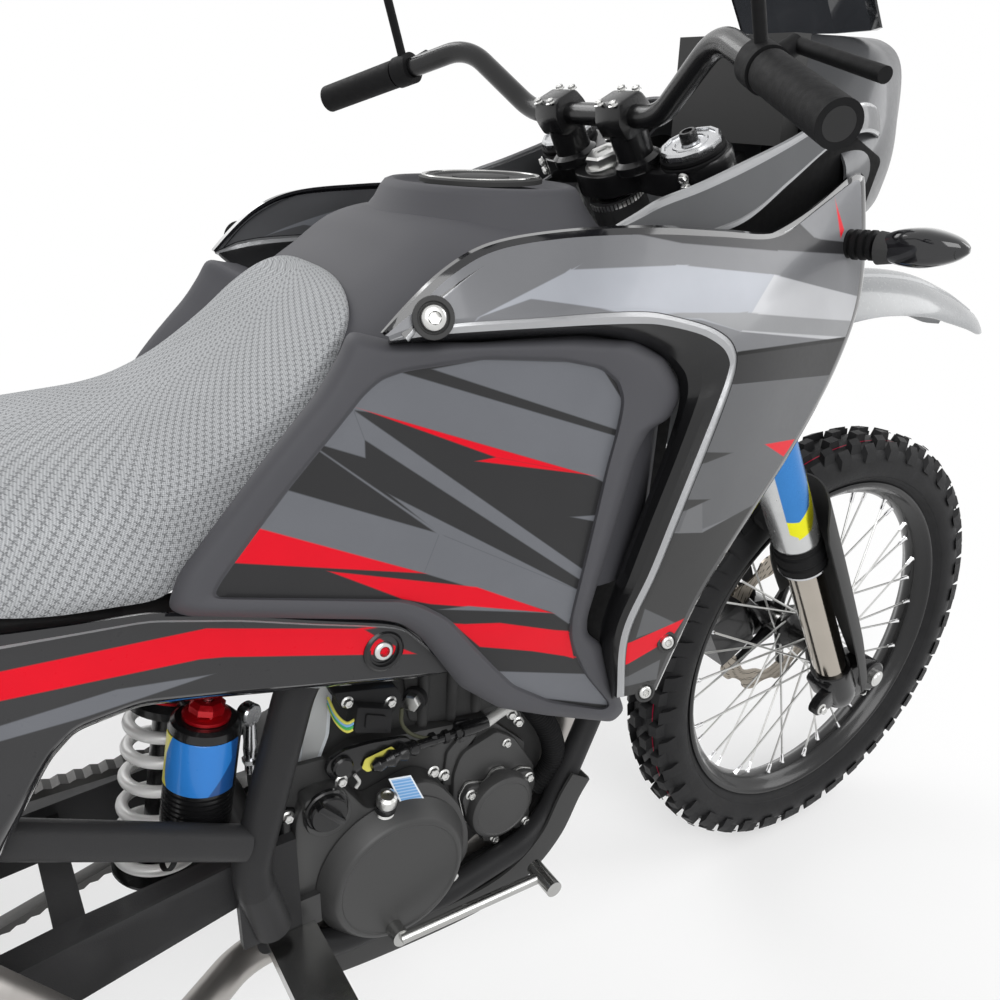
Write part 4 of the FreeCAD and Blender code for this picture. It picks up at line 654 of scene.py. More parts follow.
class Tree:
    """A short way to write a node tree."""

    def __init__(self, tree: bpy.types.NodeTree) -> None:
        """Keeps the tree."""
        self.tree = tree

    def add(self, kind: str, settings: dict[str, object] | None = None,
            **links: object) -> bpy.types.Node:
        """Adds a node, sets its properties, and fills or links its inputs by name or number.

        Args:
            kind: the node's type.
            settings: its properties.
            links: its inputs, by name with underscores or by _number.

        Returns:
            The node.
        """
        node = self.tree.nodes.new(kind)
        for key, value in (settings or {}).items():
            setattr(node, key, value)
        for key, value in links.items():
            self.feed(node, int(key[1:]) if key[0] == "_" else key.replace("_", " "), value)
        return node

    def feed(self, node: bpy.types.Node, socket: int | str, value: object) -> None:
        """Links a socket to an output, or sets its number or colour.

        Args:
            node: the node.
            socket: the input's name or number.
            value: an output, a node, a number or a colour.
        """
        target = node.inputs[socket]
        if isinstance(value, bpy.types.NodeSocket):
            self.tree.links.new(value, target)
        elif isinstance(value, bpy.types.Node):
            self.tree.links.new(value.outputs[0], target)
        else:
            target.default_value = value

    def math(self, operation: str, first: object, second: object = 0.0,
             third: object = 0.0) -> bpy.types.Node:
        """A Math node."""
        return self.add("ShaderNodeMath", {"operation": operation}, _0=first, _1=second, _2=third)

    def times(self, first: object, second: object) -> bpy.types.Node:
        """The product of two numbers."""
        return self.math("MULTIPLY", first, second)

    def plus(self, first: object, second: object) -> bpy.types.Node:
        """The sum of two numbers."""
        return self.math("ADD", first, second)

    def minus(self, first: object, second: object) -> bpy.types.Node:
        """The first number less the second."""
        return self.math("SUBTRACT", first, second)

    def ramp(self, value: object, low: float, high: float, start: float = 0.0,
             end: float = 1.0) -> bpy.types.Node:
        """Maps low..high to start..end, clamped."""
        return self.add("ShaderNodeMapRange", {"clamp": True}, _0=value, _1=low, _2=high, _3=start, _4=end)

    def blend(self, share: object, first: object, second: object) -> bpy.types.NodeSocket:
        """Mixes two colours.

        Args:
            share: how much of the second colour shows.
            first: the colour at share 0.
            second: the colour at share 1.

        Returns:
            The mixed colour's output.
        """
        node = self.tree.nodes.new("ShaderNodeMix")
        node.data_type = "RGBA"
        self.feed(node, 0, share)
        self.feed(node, 6, (*first, 1.0) if isinstance(first, tuple) else first)
        self.feed(node, 7, (*second, 1.0) if isinstance(second, tuple) else second)
        return node.outputs[2]

    def noise(self, place: object, scale: float, detail: float = 3.0,
              rough: float = 0.55) -> bpy.types.Node:
        """A noise field, one number."""
        return self.add("ShaderNodeTexNoise", {"noise_dimensions": "3D"}, Vector=place, Scale=scale,
                        Detail=detail, Roughness=rough)

    def place(self, stretch: Colour | None = None) -> bpy.types.NodeSocket:
        """Object coordinates, in metres, stretched if asked."""
        where = self.add("ShaderNodeTexCoord").outputs["Object"]
        if stretch is None:
            return where
        return self.add("ShaderNodeMapping", None, Vector=where, Scale=stretch).outputs[0]

    def chart(self, name: str) -> bpy.types.NodeSocket:
        """One of the piece's own maps."""
        return self.add("ShaderNodeUVMap", {"uv_map": name}).outputs[0]

    def bump(self, height: object, distance: float, strength: float = 1.0) -> bpy.types.Node:
        """A bump of a height of 0..1."""
        return self.add("ShaderNodeBump", None, Height=height, Distance=distance, Strength=strength)

    def split(self, chart: object) -> bpy.types.Node:
        """A place's three numbers, one at each output."""
        return self.add("ShaderNodeSeparateXYZ", None, _0=chart)

    def seen(self) -> bpy.types.Node:
        """1 to the camera, to gloss and through glass, and 0 to the light."""
        rays = self.add("ShaderNodeLightPath").outputs
        mirrored = self.math("MAXIMUM", rays["Is Transmission Ray"], rays["Is Glossy Ray"])
        return self.math("MAXIMUM", rays["Is Camera Ray"], mirrored)


class Nodes(Tree):
    """A material's node tree."""

    def __init__(self, name: str) -> None:
        """Starts a material with a surface shader."""
        self.material = bpy.data.materials.new(name)
        self.material.use_nodes = True
        super().__init__(self.material.node_tree)
        self.shader = self.tree.nodes["Principled BSDF"]


@dataclass(frozen=True)
class Finish:
    """One surface finish: its colour and how that varies, its gloss and its relief."""

    name: str
    colour: Colour
    rough: float = 0.5
    metal: float = 0.0
    mottle: float = 0.10
    mottle_scale: float = 18.0
    relief: Relief = Relief.GRAIN
    relief_depth: float = 0.00012
    relief_scale: float = 1400.0
    coat: float = 0.0
    sheen: float = 0.0
    clear: float = 0.0
    wear: float = 0.0

    def material(self) -> bpy.types.Material:
        """The finish's material, made once."""
        made = bpy.data.materials.get(self.name)
        return made if made else self._make()

    def colour_of(self, nodes: Nodes) -> object:
        """The colour before it is mottled; a patterned finish gives its own."""
        return self.colour

    def relief_of(self, nodes: Nodes) -> object | None:
        """The relief's normal.

        Args:
            nodes: the material's tree.

        Returns:
            The bump node, or none.
        """
        if self.relief is Relief.NONE:
            return None
        stretch = (1.0, 1.0, 1.0)
        if self.relief is Relief.BRUSHED:
            stretch = (0.06, 1.0, 1.0)
        if self.relief is Relief.CAST:
            cells = nodes.add("ShaderNodeTexVoronoi", {"feature": "SMOOTH_F1"}, Vector=nodes.place(),
                              Scale=self.relief_scale)
            return nodes.bump(cells.outputs["Distance"], self.relief_depth)
        field_value = nodes.noise(nodes.place(stretch), self.relief_scale, 2.0)
        return nodes.bump(field_value, self.relief_depth)

    def _specular(self) -> float:
        """How strongly the surface mirrors: full for metal and glass, less for gloss, least for matte."""
        if self.metal > 0.5 or self.clear:
            return SPECULAR_METAL
        return SPECULAR_GLOSS if self.rough < GLOSS_BELOW else SPECULAR_MATTE

    def _make(self) -> bpy.types.Material:
        """Builds the node tree."""
        nodes = Nodes(self.name)
        shader = nodes.shader
        cloud = nodes.noise(nodes.place(), self.mottle_scale, 4.0)
        base = self.colour_of(nodes)
        low = tuple(channel * (1 - self.mottle) for channel in self.colour)
        if isinstance(base, tuple):
            high = tuple(min(1.0, channel * (1 + self.mottle)) for channel in self.colour)
            colour = nodes.blend(nodes.ramp(cloud, 0.3, 0.7), low, high)
        else:
            shade = nodes.ramp(cloud, 0.3, 0.7, 1 - self.mottle, 1 + self.mottle)
            colour = nodes.add("ShaderNodeVectorMath", {"operation": "SCALE"}, _0=base,
                               Scale=shade).outputs[0]
        if self.wear:
            edge = nodes.add("ShaderNodeNewGeometry").outputs["Pointiness"]
            worn = nodes.ramp(edge, 0.505, 0.53, 0.0, self.wear)
            pale = tuple(min(1.0, channel * 2.5 + 0.08) for channel in self.colour)
            colour = nodes.blend(worn, colour, pale)
        nodes.feed(shader, "Base Color", colour)
        fine = nodes.noise(nodes.place(), self.mottle_scale * 9, 3.0)
        nodes.feed(shader, "Roughness", nodes.ramp(fine, 0.25, 0.75, max(0.02, self.rough * 0.88),
                                                   min(1.0, self.rough * 1.12)))
        shader.inputs["Metallic"].default_value = self.metal
        shader.inputs["Specular IOR Level"].default_value = self._specular()
        shader.inputs["Coat Weight"].default_value = self.coat
        shader.inputs["Coat Roughness"].default_value = COAT_ROUGHNESS
        shader.inputs["Sheen Weight"].default_value = self.sheen
        if self.clear:
            shader.inputs["Transmission Weight"].default_value = self.clear
            shader.inputs["IOR"].default_value = GLASS_IOR
        normal = self.relief_of(nodes)
        if normal is not None:
            nodes.feed(shader, "Normal", normal)
        return nodes.material


@dataclass(frozen=True)
class Patch:
    """One coloured area of a side-view pattern, with convex corners in millimetres."""

    colour: Colour
    corners: tuple[tuple[float, float], ...]


def triangles_of(corners: Sequence[Sequence[float]]) -> list[tuple[list[int], list[bool]]]:
    """Cuts a closed outline into triangles by its ears.

    Args:
        corners: the outline, counter-clockwise.

    Returns:
        For each triangle its corners' numbers, and for each of its edges whether it is an inner cut.
    """
    table = np.asarray(corners, float)
    left = list(range(len(table)))
    ears = []
    while len(left) > 3:
        for k in range(len(left)):
            trio = [left[k - 1], left[k], left[(k + 1) % len(left)]]
            others = [table[j] for j in left if j not in trio]
            inside = [distance_inside(np.array([p]), table[trio])[0] > 0 for p in others]
            if area_of(table[trio]) > 0 and not any(inside):
                break
        ears.append(trio)
        left.pop(k)
    ears.append(left)
    count = len(table)
    return [(trio, [(b - a) % count != 1 for a, b in zip(trio, trio[1:] + trio[:1])]) for trio in ears]


def is_convex(corners: Array) -> bool:
    """True when an outline, counter-clockwise, never turns right."""
    ahead = np.roll(corners, -1, axis=0) - corners
    nxt = np.roll(ahead, -1, axis=0)
    return bool(np.all(ahead[:, 0] * nxt[:, 1] - ahead[:, 1] * nxt[:, 0] >= -1e-12))


def patch_mask(nodes: Nodes, chart: bpy.types.NodeSocket, corners: Sequence[Sequence[float]],
               softness: float = 0.0006) -> bpy.types.Node:
    """1 inside an outline and 0 outside.

    Formula: for each convex part the least of the distances to its edges, each the dot product of
    the place with the edge's inward unit normal less its offset; the most of the parts' values is
    ramped over the softness. A cut between parts stands back by a millimetre, so no seam shows.

    Args:
        nodes: the material's tree.
        chart: the place on the pattern.
        corners: the outline, in millimetres.
        softness: the edge's half width, in metres.

    Returns:
        The mask's node.
    """
    table = np.asarray(corners, float) * MM
    if area_of(table) < 0:
        table = table[::-1]
    if is_convex(table):
        parts = [(list(range(len(table))), [False] * len(table))]
    else:
        parts = triangles_of(table)
    most: object = None
    for trio, cuts in parts:
        least: object = None
        for k, cut in enumerate(cuts):
            start, finish = table[trio[k]], table[trio[(k + 1) % len(trio)]]
            edge = (finish - start) / np.linalg.norm(finish - start)
            inward = (-edge[1], edge[0], 0.0)
            reach = nodes.add("ShaderNodeVectorMath", {"operation": "DOT_PRODUCT"}, _0=chart, _1=inward)
            offset = float(start @ np.array(inward[:2])) - (MM if cut else 0.0)
            depth = nodes.minus(reach.outputs["Value"], offset)
            least = depth if least is None else nodes.math("MINIMUM", least, depth)
        most = least if most is None else nodes.math("MAXIMUM", most, least)
    return nodes.ramp(most, -softness, softness)


@dataclass(frozen=True)
class Pattern(Finish):
    """A finish with a side-view pattern of coloured areas over its own colour."""

    patches: tuple[Patch, ...] = ()

    def colour_of(self, nodes: Nodes) -> object:
        """Lays the areas over each other in turn."""
        chart = nodes.chart("flow")
        colour: object = nodes.blend(0.0, self.colour, self.colour)
        for patch in self.patches:
            colour = nodes.blend(patch_mask(nodes, chart, patch.corners), colour, patch.colour)
        return colour


def srgb(text: str) -> Colour:
    """A linear colour from a written one such as 6c7078."""
    parts = [int(text[k:k + 2], 16) / 255 for k in (0, 2, 4)]
    return tuple(c / 12.92 if c <= 0.04045 else ((c + 0.055) / 1.055) ** 2.4 for c in parts)


FINISHES = {item.name: item for item in (
    Finish("tank_charcoal", srgb("363637"), 0.46, mottle=0.04, relief_depth=0.00018, relief_scale=2600,
           coat=0.05),
    Finish("black_plastic", srgb("1f1f20"), 0.42, mottle=0.08, relief_depth=0.0001, relief_scale=2200),
    Finish("gloss_black", srgb("17171a"), 0.10, mottle=0.03, relief=Relief.NONE, coat=0.8),
    # near-black used as painted shade: on the fairing's deepest wall strip, behind the fairing and in the
    # cowl's openings
    Finish("painted_shade_black", srgb("0b0b0c"), 0.7, mottle=0.1),
    Finish("rubber", srgb("161617"), 0.62, mottle=0.12, relief_depth=0.0002, relief_scale=900),
    Finish("frame_black", srgb("2a2a2b"), 0.42, mottle=0.06, relief=Relief.CAST, relief_depth=0.00015,
           relief_scale=900, wear=0.12),
    Finish("engine_black", srgb("131314"), 0.36, mottle=0.08, relief=Relief.CAST, relief_depth=0.0002,
           relief_scale=1100),
    Finish("satin_black", srgb("161617"), 0.24, mottle=0.06, coat=0.25),
    Finish("silver", srgb("c9cacc"), 0.26, 1.0, mottle=0.04, relief=Relief.NONE),
    Finish("steel", srgb("b4b4b2"), 0.22, 1.0, mottle=0.07, relief=Relief.BRUSHED, relief_depth=0.00005),
    Finish("zinc", srgb("d2d2d0"), 0.30, 1.0, mottle=0.06, relief=Relief.NONE),
    Finish("chrome", srgb("e4e4e4"), 0.06, 1.0, mottle=0.02, relief=Relief.NONE),
    Finish("cast_silver", srgb("9b9c9e"), 0.45, 0.9, mottle=0.08, relief=Relief.CAST, relief_depth=0.0002),
    Finish("exhaust_steel", srgb("8c857c"), 0.34, 1.0, mottle=0.16, mottle_scale=9, relief=Relief.BRUSHED),
    Finish("beak_silver", srgb("909294"), 0.26, mottle=0.04, relief=Relief.NONE, coat=0.4),
    Finish("cowl_grey", srgb("5d5e60"), 0.34, 0.25, mottle=0.04, relief_depth=0.00008, coat=0.2),
    # pale silver of the bright edges: partly the trim's own silver, partly a painted highlight along gloss
    # black edges
    Finish("edge_silver_and_painted_highlight", srgb("a5a6a8"), 0.20, 0.35, mottle=0.03, coat=0.5),
    Finish("spring_white", srgb("dededc"), 0.22, mottle=0.03, coat=0.6),
    Finish("anodised_red", srgb("c40f1c"), 0.25, 0.6, mottle=0.06, coat=0.3),
    Finish("marker_red", srgb("c01040"), 0.5, mottle=0.05),
    Finish("clear_lens", srgb("f2f6f8"), 0.05, mottle=0.01, relief=Relief.NONE, clear=0.95),
    Finish("smoked_screen", srgb("3a3c40"), 0.08, mottle=0.02, relief=Relief.NONE, clear=0.7),
    Finish("red_lens", srgb("b00c10"), 0.15, mottle=0.05, relief=Relief.NONE, coat=0.6),
    Finish("label_blue", srgb("7fb0dc"), 0.4, mottle=0.05),
    Finish("label_white", srgb("e6ebef"), 0.4, mottle=0.03),
    Finish("tape_yellow", srgb("d8d264"), 0.4, mottle=0.08),
    Finish("connector", srgb("242425"), 0.5, mottle=0.08),
    Finish("cable_silver", srgb("c4c4c2"), 0.4, 0.4, mottle=0.06),
    Finish("stanchion", srgb("b2aba1"), 0.13, 1.0, mottle=0.03, relief=Relief.NONE),
    Finish("wire_green", srgb("4fb060"), 0.4, mottle=0.05),
    Finish("hose_olive", srgb("4a4b3c"), 0.4, mottle=0.08),
    Finish("pale_grey", srgb("c4c6c6"), 0.35, mottle=0.03),
    Finish("chain_black", srgb("2e2d2c"), 0.35, 0.6, mottle=0.14, wear=0.3),
)}


def coats(*names: str) -> tuple[Finish, ...]:
    """The named finishes, in the order of a piece's slots."""
    return tuple(FINISHES[name] for name in names)


# Bodywork: the photograph's point of view ties a side-view outline to the body's own width
@dataclass(frozen=True)
class Eye:
    """Where the photograph was taken from, on the upright machine."""

    place: tuple[float, float, float] = (-0.398, -0.825, 1.132)
    yaw_deg: float = 32.65
    pitch_deg: float = 23.36
    roll_deg: float = -1.66
    focal_share: float = 0.940

    def basis(self) -> Array:
        """The view's right, up and backward directions as rows."""
        yaw, pitch, roll = (math.radians(v) for v in (self.yaw_deg, self.pitch_deg, self.roll_deg))
        ahead = np.array([math.sin(yaw) * math.cos(pitch), math.cos(yaw) * math.cos(pitch), -math.sin(pitch)])
        right = np.array([math.cos(yaw), -math.sin(yaw), 0.0])
        down = np.cross(ahead, right)
        across = math.cos(roll) * right + math.sin(roll) * down
        fall = -math.sin(roll) * right + math.cos(roll) * down
        return np.stack([across, -fall, -ahead])


EYE = Eye()


def cast(chart: Array, plane: float, half: Array) -> Array:
    """Carries side-view places, read on the plane y = -plane, along the lines of sight to y = -half.

    Formula: eye + (place - eye) * (half + eye_y) / (plane + eye_y).

    Args:
        chart: side-view places of shape (..., 2), in metres.
        plane: the plane's distance.
        half: the half width at each place.

    Returns:
        Points of shape (..., 3).
    """
    eye = np.array(EYE.place)
    flat = np.stack([chart[..., 0], np.full(chart.shape[:-1], -plane), chart[..., 1]], axis=-1)
    share = (half + eye[1]) / (plane + eye[1])
    return eye + (flat - eye) * np.asarray(share)[..., None]


def ring_smooth(points: Array, passes: int) -> Array:
    """Rounds a closed line by neighbour means."""
    for _ in range(passes):
        points = 0.25 * np.roll(points, 1, axis=0) + 0.5 * points + 0.25 * np.roll(points, -1, axis=0)
    return points


def line_smooth(points: Array, passes: int) -> Array:
    """Rounds an open line by neighbour means, its ends kept."""
    for _ in range(passes):
        middle = 0.25 * points[:-2] + 0.5 * points[1:-1] + 0.25 * points[2:]
        points = np.concatenate([points[:1], middle, points[-1:]])
    return points


def matched(first: Sequence, second: Sequence, step: float, closed: bool) -> tuple[Array, Array]:
    """Two outlines with the same landmarks, filled in with the same counts of points.

    Args:
        first: landmarks of the outline that sets the spacing, in millimetres.
        second: the same landmarks on the other outline.
        step: the spacing, in millimetres.
        closed: the outlines run round.

    Returns:
        Both outlines in metres.
    """
    a, b = np.asarray(first, float), np.asarray(second, float)
    if closed:
        a, b = np.vstack([a, a[:1]]), np.vstack([b, b[:1]])
    rows_a, rows_b = [], []
    for k in range(len(a) - 1):
        count = max(1, round(float(np.linalg.norm(a[k + 1] - a[k])) / step))
        t = np.arange(count)[:, None] / count
        rows_a.append(a[k] + (a[k + 1] - a[k]) * t)
        rows_b.append(b[k] + (b[k + 1] - b[k]) * t)
    if not closed:
        rows_a.append(a[-1:])
        rows_b.append(b[-1:])
    return np.concatenate(rows_a) * MM, np.concatenate(rows_b) * MM


CHARCOAL, SLATE, RED = srgb("313132"), srgb("6a6c71"), srgb("dc0a22")
TANK_PLANE = 0.228
TANK_GRAPHICS = Pattern("tank_graphics", CHARCOAL, 0.34, mottle=0.03, relief=Relief.NONE, coat=0.05, patches=(
    Patch(SLATE, ((-78, 944), (-34, 946), (64, 932), (84, 922), (106, 894), (102, 868))),
    Patch(SLATE, ((-112, 948), (102, 862), (92, 822), (72, 832), (-128, 918), (-142, 922), (-130, 942))),
    Patch(RED, ((-128, 918), (72, 832), (-20, 864))),
    Patch(RED, ((-20, 864), (72, 832), (-38, 864))),
    Patch(SLATE, ((-142, 922), (-134, 898), (-134, 884), (-168, 900))),
    Patch(SLATE, ((-142, 922), (76, 738), (74, 728), (-134, 898))),
    Patch(SLATE, ((60, 794), (86, 790), (86, 784))),
    Patch(SLATE, ((-194, 870), (-72, 808), (-86, 776), (-218, 844))),
    Patch(SLATE, ((-114, 850), (72, 718), (-72, 808))),
    Patch(SLATE, ((-72, 808), (72, 718), (64, 686), (42, 704), (-86, 776))),
    Patch(RED, ((-218, 846), (-86, 776), (-240, 824))),
    Patch(RED, ((-166, 798), (-36, 750), (44, 702), (-80, 746), (-106, 758))),
    Patch(SLATE, ((-70, 738), (-44, 734), (38, 704))),
    Patch(RED, ((-58, 720), (-12, 708), (64, 676), (72, 646), (24, 668), (-32, 690))),
    Patch(SLATE, ((-12, 658), (88, 622), (130, 570), (42, 610), (4, 638))),
))


@dataclass(frozen=True)
class PadSizes:
    """Sizes of the tank's side pad, in metres."""

    recess: float = 0.0045
    lip: float = 0.0035
    roll: float = 0.017
    wall: float = 0.045
    step_mm: float = 4.0
    field_rings: int = 34
    border_rings: int = 16


@dataclass(frozen=True)
class TankPad:
    """The tank's side: a rolled charcoal border round an inset field with its stripes."""

    sizes: PadSizes = PadSizes()
    landmarks: tuple[Line, ...] = (((-286, 800), (-254, 800)), ((-276, 824), (-246, 812)),
                                   ((-216, 890), (-196, 868)), ((-168, 940), (-150, 914)),
                                   ((-150, 966), (-134, 931)), ((-144, 980), (-120, 941)),
                                   ((-108, 968), (-100, 945)), ((-40, 960), (-34, 946)),
                                   ((48, 954), (40, 936)), ((114, 946), (80, 925)), ((150, 926), (98, 911)),
                                   ((170, 900), (105, 896)), ((172, 884), (105, 884)),
                                   ((162, 868), (103, 872)), ((140, 862), (100, 858)),
                                   ((128, 842), (94, 834)), ((106, 760), (80, 764)), ((85, 686), (65, 692)),
                                   ((86, 668), (65, 672)), ((106, 650), (70, 655)), ((124, 604), (88, 620)),
                                   ((142, 560), (122, 574)), ((128, 551), (112, 573)), ((44, 590), (46, 607)),
                                   ((-10, 618), (6, 637)), ((-52, 656), (-16, 664)), ((-74, 692), (-40, 696)),
                                   ((-90, 718), (-62, 727)), ((-106, 735), (-88, 748)),
                                   ((-124, 744), (-104, 757)), ((-274, 790), (-240, 796)))
    width: SideHull = SideHull((
        (-286, 800, 186), (-200, 900, 196), (-144, 980, 190), (-60, 962, 218), (48, 954, 234),
        (150, 926, 238),
        (172, 884, 236), (100, 830, 238), (0, 860, 232), (-100, 860, 216), (-180, 820, 200), (84, 690, 232),
        (0, 720, 228), (-100, 742, 206), (142, 556, 214), (44, 600, 214), (-40, 660, 212)))

    def build(self, draft: Draft) -> None:
        """Adds the right pad: rings from the field's middle out over the border and down its wall.

        Args:
            draft: the tank's skin.
        """
        sizes = self.sizes
        outer, inner = matched([a for a, _ in self.landmarks], [b for _, b in self.landmarks], sizes.step_mm,
                               True)
        outer, inner = ring_smooth(outer, 3), ring_smooth(inner, 5)
        middle = inner.mean(axis=0)
        gap = np.linalg.norm(outer - inner, axis=1)
        roll = np.minimum(sizes.roll, 0.5 * gap)
        rings, sinks = [], []
        for share in np.linspace(0.0, 1.0, sizes.field_rings):
            rings.append(middle + (inner - middle) * share)
            sinks.append(np.full(len(inner), sizes.recess))
        ways = (outer - inner) / gap[:, None]
        for share in (0.35, 0.7, 1.0):
            rings.append(inner + ways * sizes.lip * share)
            sinks.append(np.full(len(inner), sizes.recess * (1 - smoothstep(np.array(share)))))
        for share in np.linspace(0.0, 1.0, sizes.border_rings)[1:]:
            reach = sizes.lip + (gap - sizes.lip) * share
            rings.append(inner + ways * reach[:, None])
            left = np.clip((roll - (gap - reach)) / roll, 0, 1)
            sinks.append(roll * (1 - np.sqrt(1 - np.minimum(left,
                                                            0.999) ** 2)) - 0.002 * np.sin(np.pi * share))
        for depth in (0.010, 0.024, sizes.wall):
            rings.append(outer)
            sinks.append(roll + depth)
        chart = np.stack(rings)
        half = self.width(chart) - np.stack(sinks)
        surface = cast(chart, TANK_PLANE, half)
        field_end = sizes.field_rings
        draft.grid(surface[:field_end], 0, wrap=True, chart=chart[:field_end])
        draft.grid(surface[field_end - 1:], 1, wrap=True, chart=chart[field_end - 1:])


@dataclass(frozen=True)
class TankCrown:
    """The tank's spine and shoulders between the seat's nose and the head of the frame."""

    stations: tuple[tuple[float, Line], ...] = (
        (-150, ((0, 900), (60, 900), (110, 895), (150, 885), (176, 868), (190, 835), (188, 790))),
        (-112, ((0, 958), (54, 957), (100, 950), (142, 935), (176, 905), (194, 865), (192, 790))),
        (-80, ((0, 985), (54, 983), (100, 976), (146, 958), (182, 925), (200, 880), (198, 775))),
        (-50, ((0, 1006), (54, 1003), (102, 995), (148, 976), (188, 942), (207, 895), (204, 765))),
        (-20, ((0, 1028), (54, 1025), (104, 1015), (150, 993), (192, 957), (212, 905), (208, 750))),
        (20, ((0, 1036), (56, 1033), (106, 1023), (154, 1001), (196, 965), (216, 912), (212, 735))),
        (70, ((0, 1036), (56, 1033), (108, 1023), (158, 1001), (200, 965), (218, 910), (214, 715))),
        (120, ((0, 1034), (56, 1031), (108, 1021), (157, 999), (198, 963), (216, 905), (212, 705))),
        (165, ((0, 1024), (54, 1021), (104, 1010), (150, 985), (188, 946), (202, 885), (198, 710))),
        (195, ((0, 1004), (50, 1001), (98, 988), (138, 962), (168, 925), (178, 870), (174, 740))),
        (214, ((0, 962), (46, 960), (90, 950), (126, 930), (150, 900), (158, 860), (154, 770))),
    )

    def build(self, draft: Draft) -> None:
        """Adds the crown over both sides, closed below by an inner roof.

        Args:
            draft: the tank's skin.
        """
        rows = []
        for x, half in self.stations:
            right = [(x, -y, z) for y, z in reversed(half)]
            left = [(x, y, z) for y, z in half[1:]]
            rows.append(right + left)
        surface = lattice(np.array(rows, float) * MM, 72, 90)
        draft.shell(surface, 0.006, 1)


@dataclass(frozen=True)
class FuelTank:
    """The whole tank, with its collar and its cap; forms are pairs of radius and height in millimetres."""

    collar: Line = ((150, -52), (132, -44), (116, -30), (103, -14), (97, -3), (93, 2), (88, 4), (84, 3),
                    (82, 0), (79, -3), (66, -3), (66, -8))
    collar_foot: Point = (0.0975, 0.0, 1.050)
    cap_form: Line = ((0, 5), (26, 5), (28, 4), (28, 3), (44, 3), (46, 4.5), (58, 4.5), (60, 3), (60, -1),
                      (0, -1))
    cap_ring: Line = ((54, 4.7), (54.5, 5.6), (57, 5.6), (57.5, 4.7))
    cap_foot: Point = (0.0975, 0.0, 1.0545)

    def build(self) -> None:
        """Makes the tank's pieces."""
        draft = Draft("fuel_tank_skin")
        TankPad().build(draft)
        draft.mirrored()
        TankCrown().build(draft)
        ring = turned(np.array(self.collar) * MM, self.collar_foot, (0.03, 0, 1), 72)
        draft.grid(ring, 1, wrap=True)
        draft.finish("chassis", (TANK_GRAPHICS, FINISHES["tank_charcoal"]), ("fuel_tank",), sharp_deg=50)
        cap = Draft("filler_cap")
        for slot, form in enumerate((self.cap_form, self.cap_ring)):
            cap.grid(turned(np.array(form) * MM, self.cap_foot, UP, 64), slot, wrap=True)
        cap.finish("fuel_cap", coats("black_plastic", "steel"), ("fuel_cap",))


FAIRING_PLANE = 0.200
FAIR_TOP, FAIR_SHARD, FAIR_DARK = srgb("757679"), srgb("a3a6ad"), srgb("3b3b3b")
FAIR_GRAPHICS = Pattern("fairing_graphics", FAIR_TOP, 0.34, 0.15, mottle=0.03, relief=Relief.NONE, coat=0.15,
                        patches=(
    Patch(srgb("333335"), ((90, 1034), (180, 1016), (300, 1003), (300, 1022), (258, 1028))),
    Patch(srgb("333335"), ((285, 1005), (432, 992), (432, 1003), (350, 1012), (320, 1030), (285, 1024))),
    Patch(FAIR_SHARD, ((-24, 971), (25, 981), (70, 985), (63, 1001))),
    Patch(FAIR_SHARD, ((25, 981), (63, 1001), (190, 997), (135, 959.5))),
    Patch(FAIR_SHARD, ((120, 962), (176, 998), (308, 980), (220, 946))),
    Patch(FAIR_SHARD, ((206, 949), (294, 982), (432, 950), (265, 931))),
    # pale grey area at the right end: partly the graphic's own light grey, partly a painted highlight
    Patch(srgb("b9babd"), ((300, 981), (432, 950), (424, 905), (265, 931))),
    Patch(srgb("8d8e90"), ((125, 961), (212, 948), (265, 931), (285, 946), (270, 948))),
    Patch(srgb("8d8e90"), ((258, 933), (432, 908), (432, 925), (268, 948))),
    Patch(RED, ((370, 1046), (389, 1019), (386, 1011))),
    Patch(CHARCOAL, ((264, 911), (424, 909), (420, 870), (258, 880))),
    Patch(srgb("0d0d0d"), ((264, 912), (434, 910), (434, 906), (264, 908))),
    Patch(srgb("616264"), ((258, 880), (420, 870), (330, 740), (247, 730), (200, 736), (214, 780))),
    Patch(FAIR_DARK, ((200, 736), (247, 726), (330, 745), (330, 640), (220, 520), (120, 520), (106, 640))),
    Patch(srgb("6d6e70"), ((214, 733), (224, 760), (241, 764), (247, 726))),
    Patch(srgb("5c5d5f"), ((179, 656), (226, 625), (171, 624))),
    Patch(RED, ((321, 809), (367, 807), (352, 790))),
    Patch(FAIR_DARK, ((238, 815), (275, 808), (236, 803))),
    Patch(FAIR_DARK, ((220, 768), (252, 762), (214, 755))),
    Patch(RED, ((236, 628), (220, 608), (150, 592), (155, 620))),
    Patch(srgb("5c5d5f"), ((208, 586), (206, 562), (158, 568), (163, 579))),
))


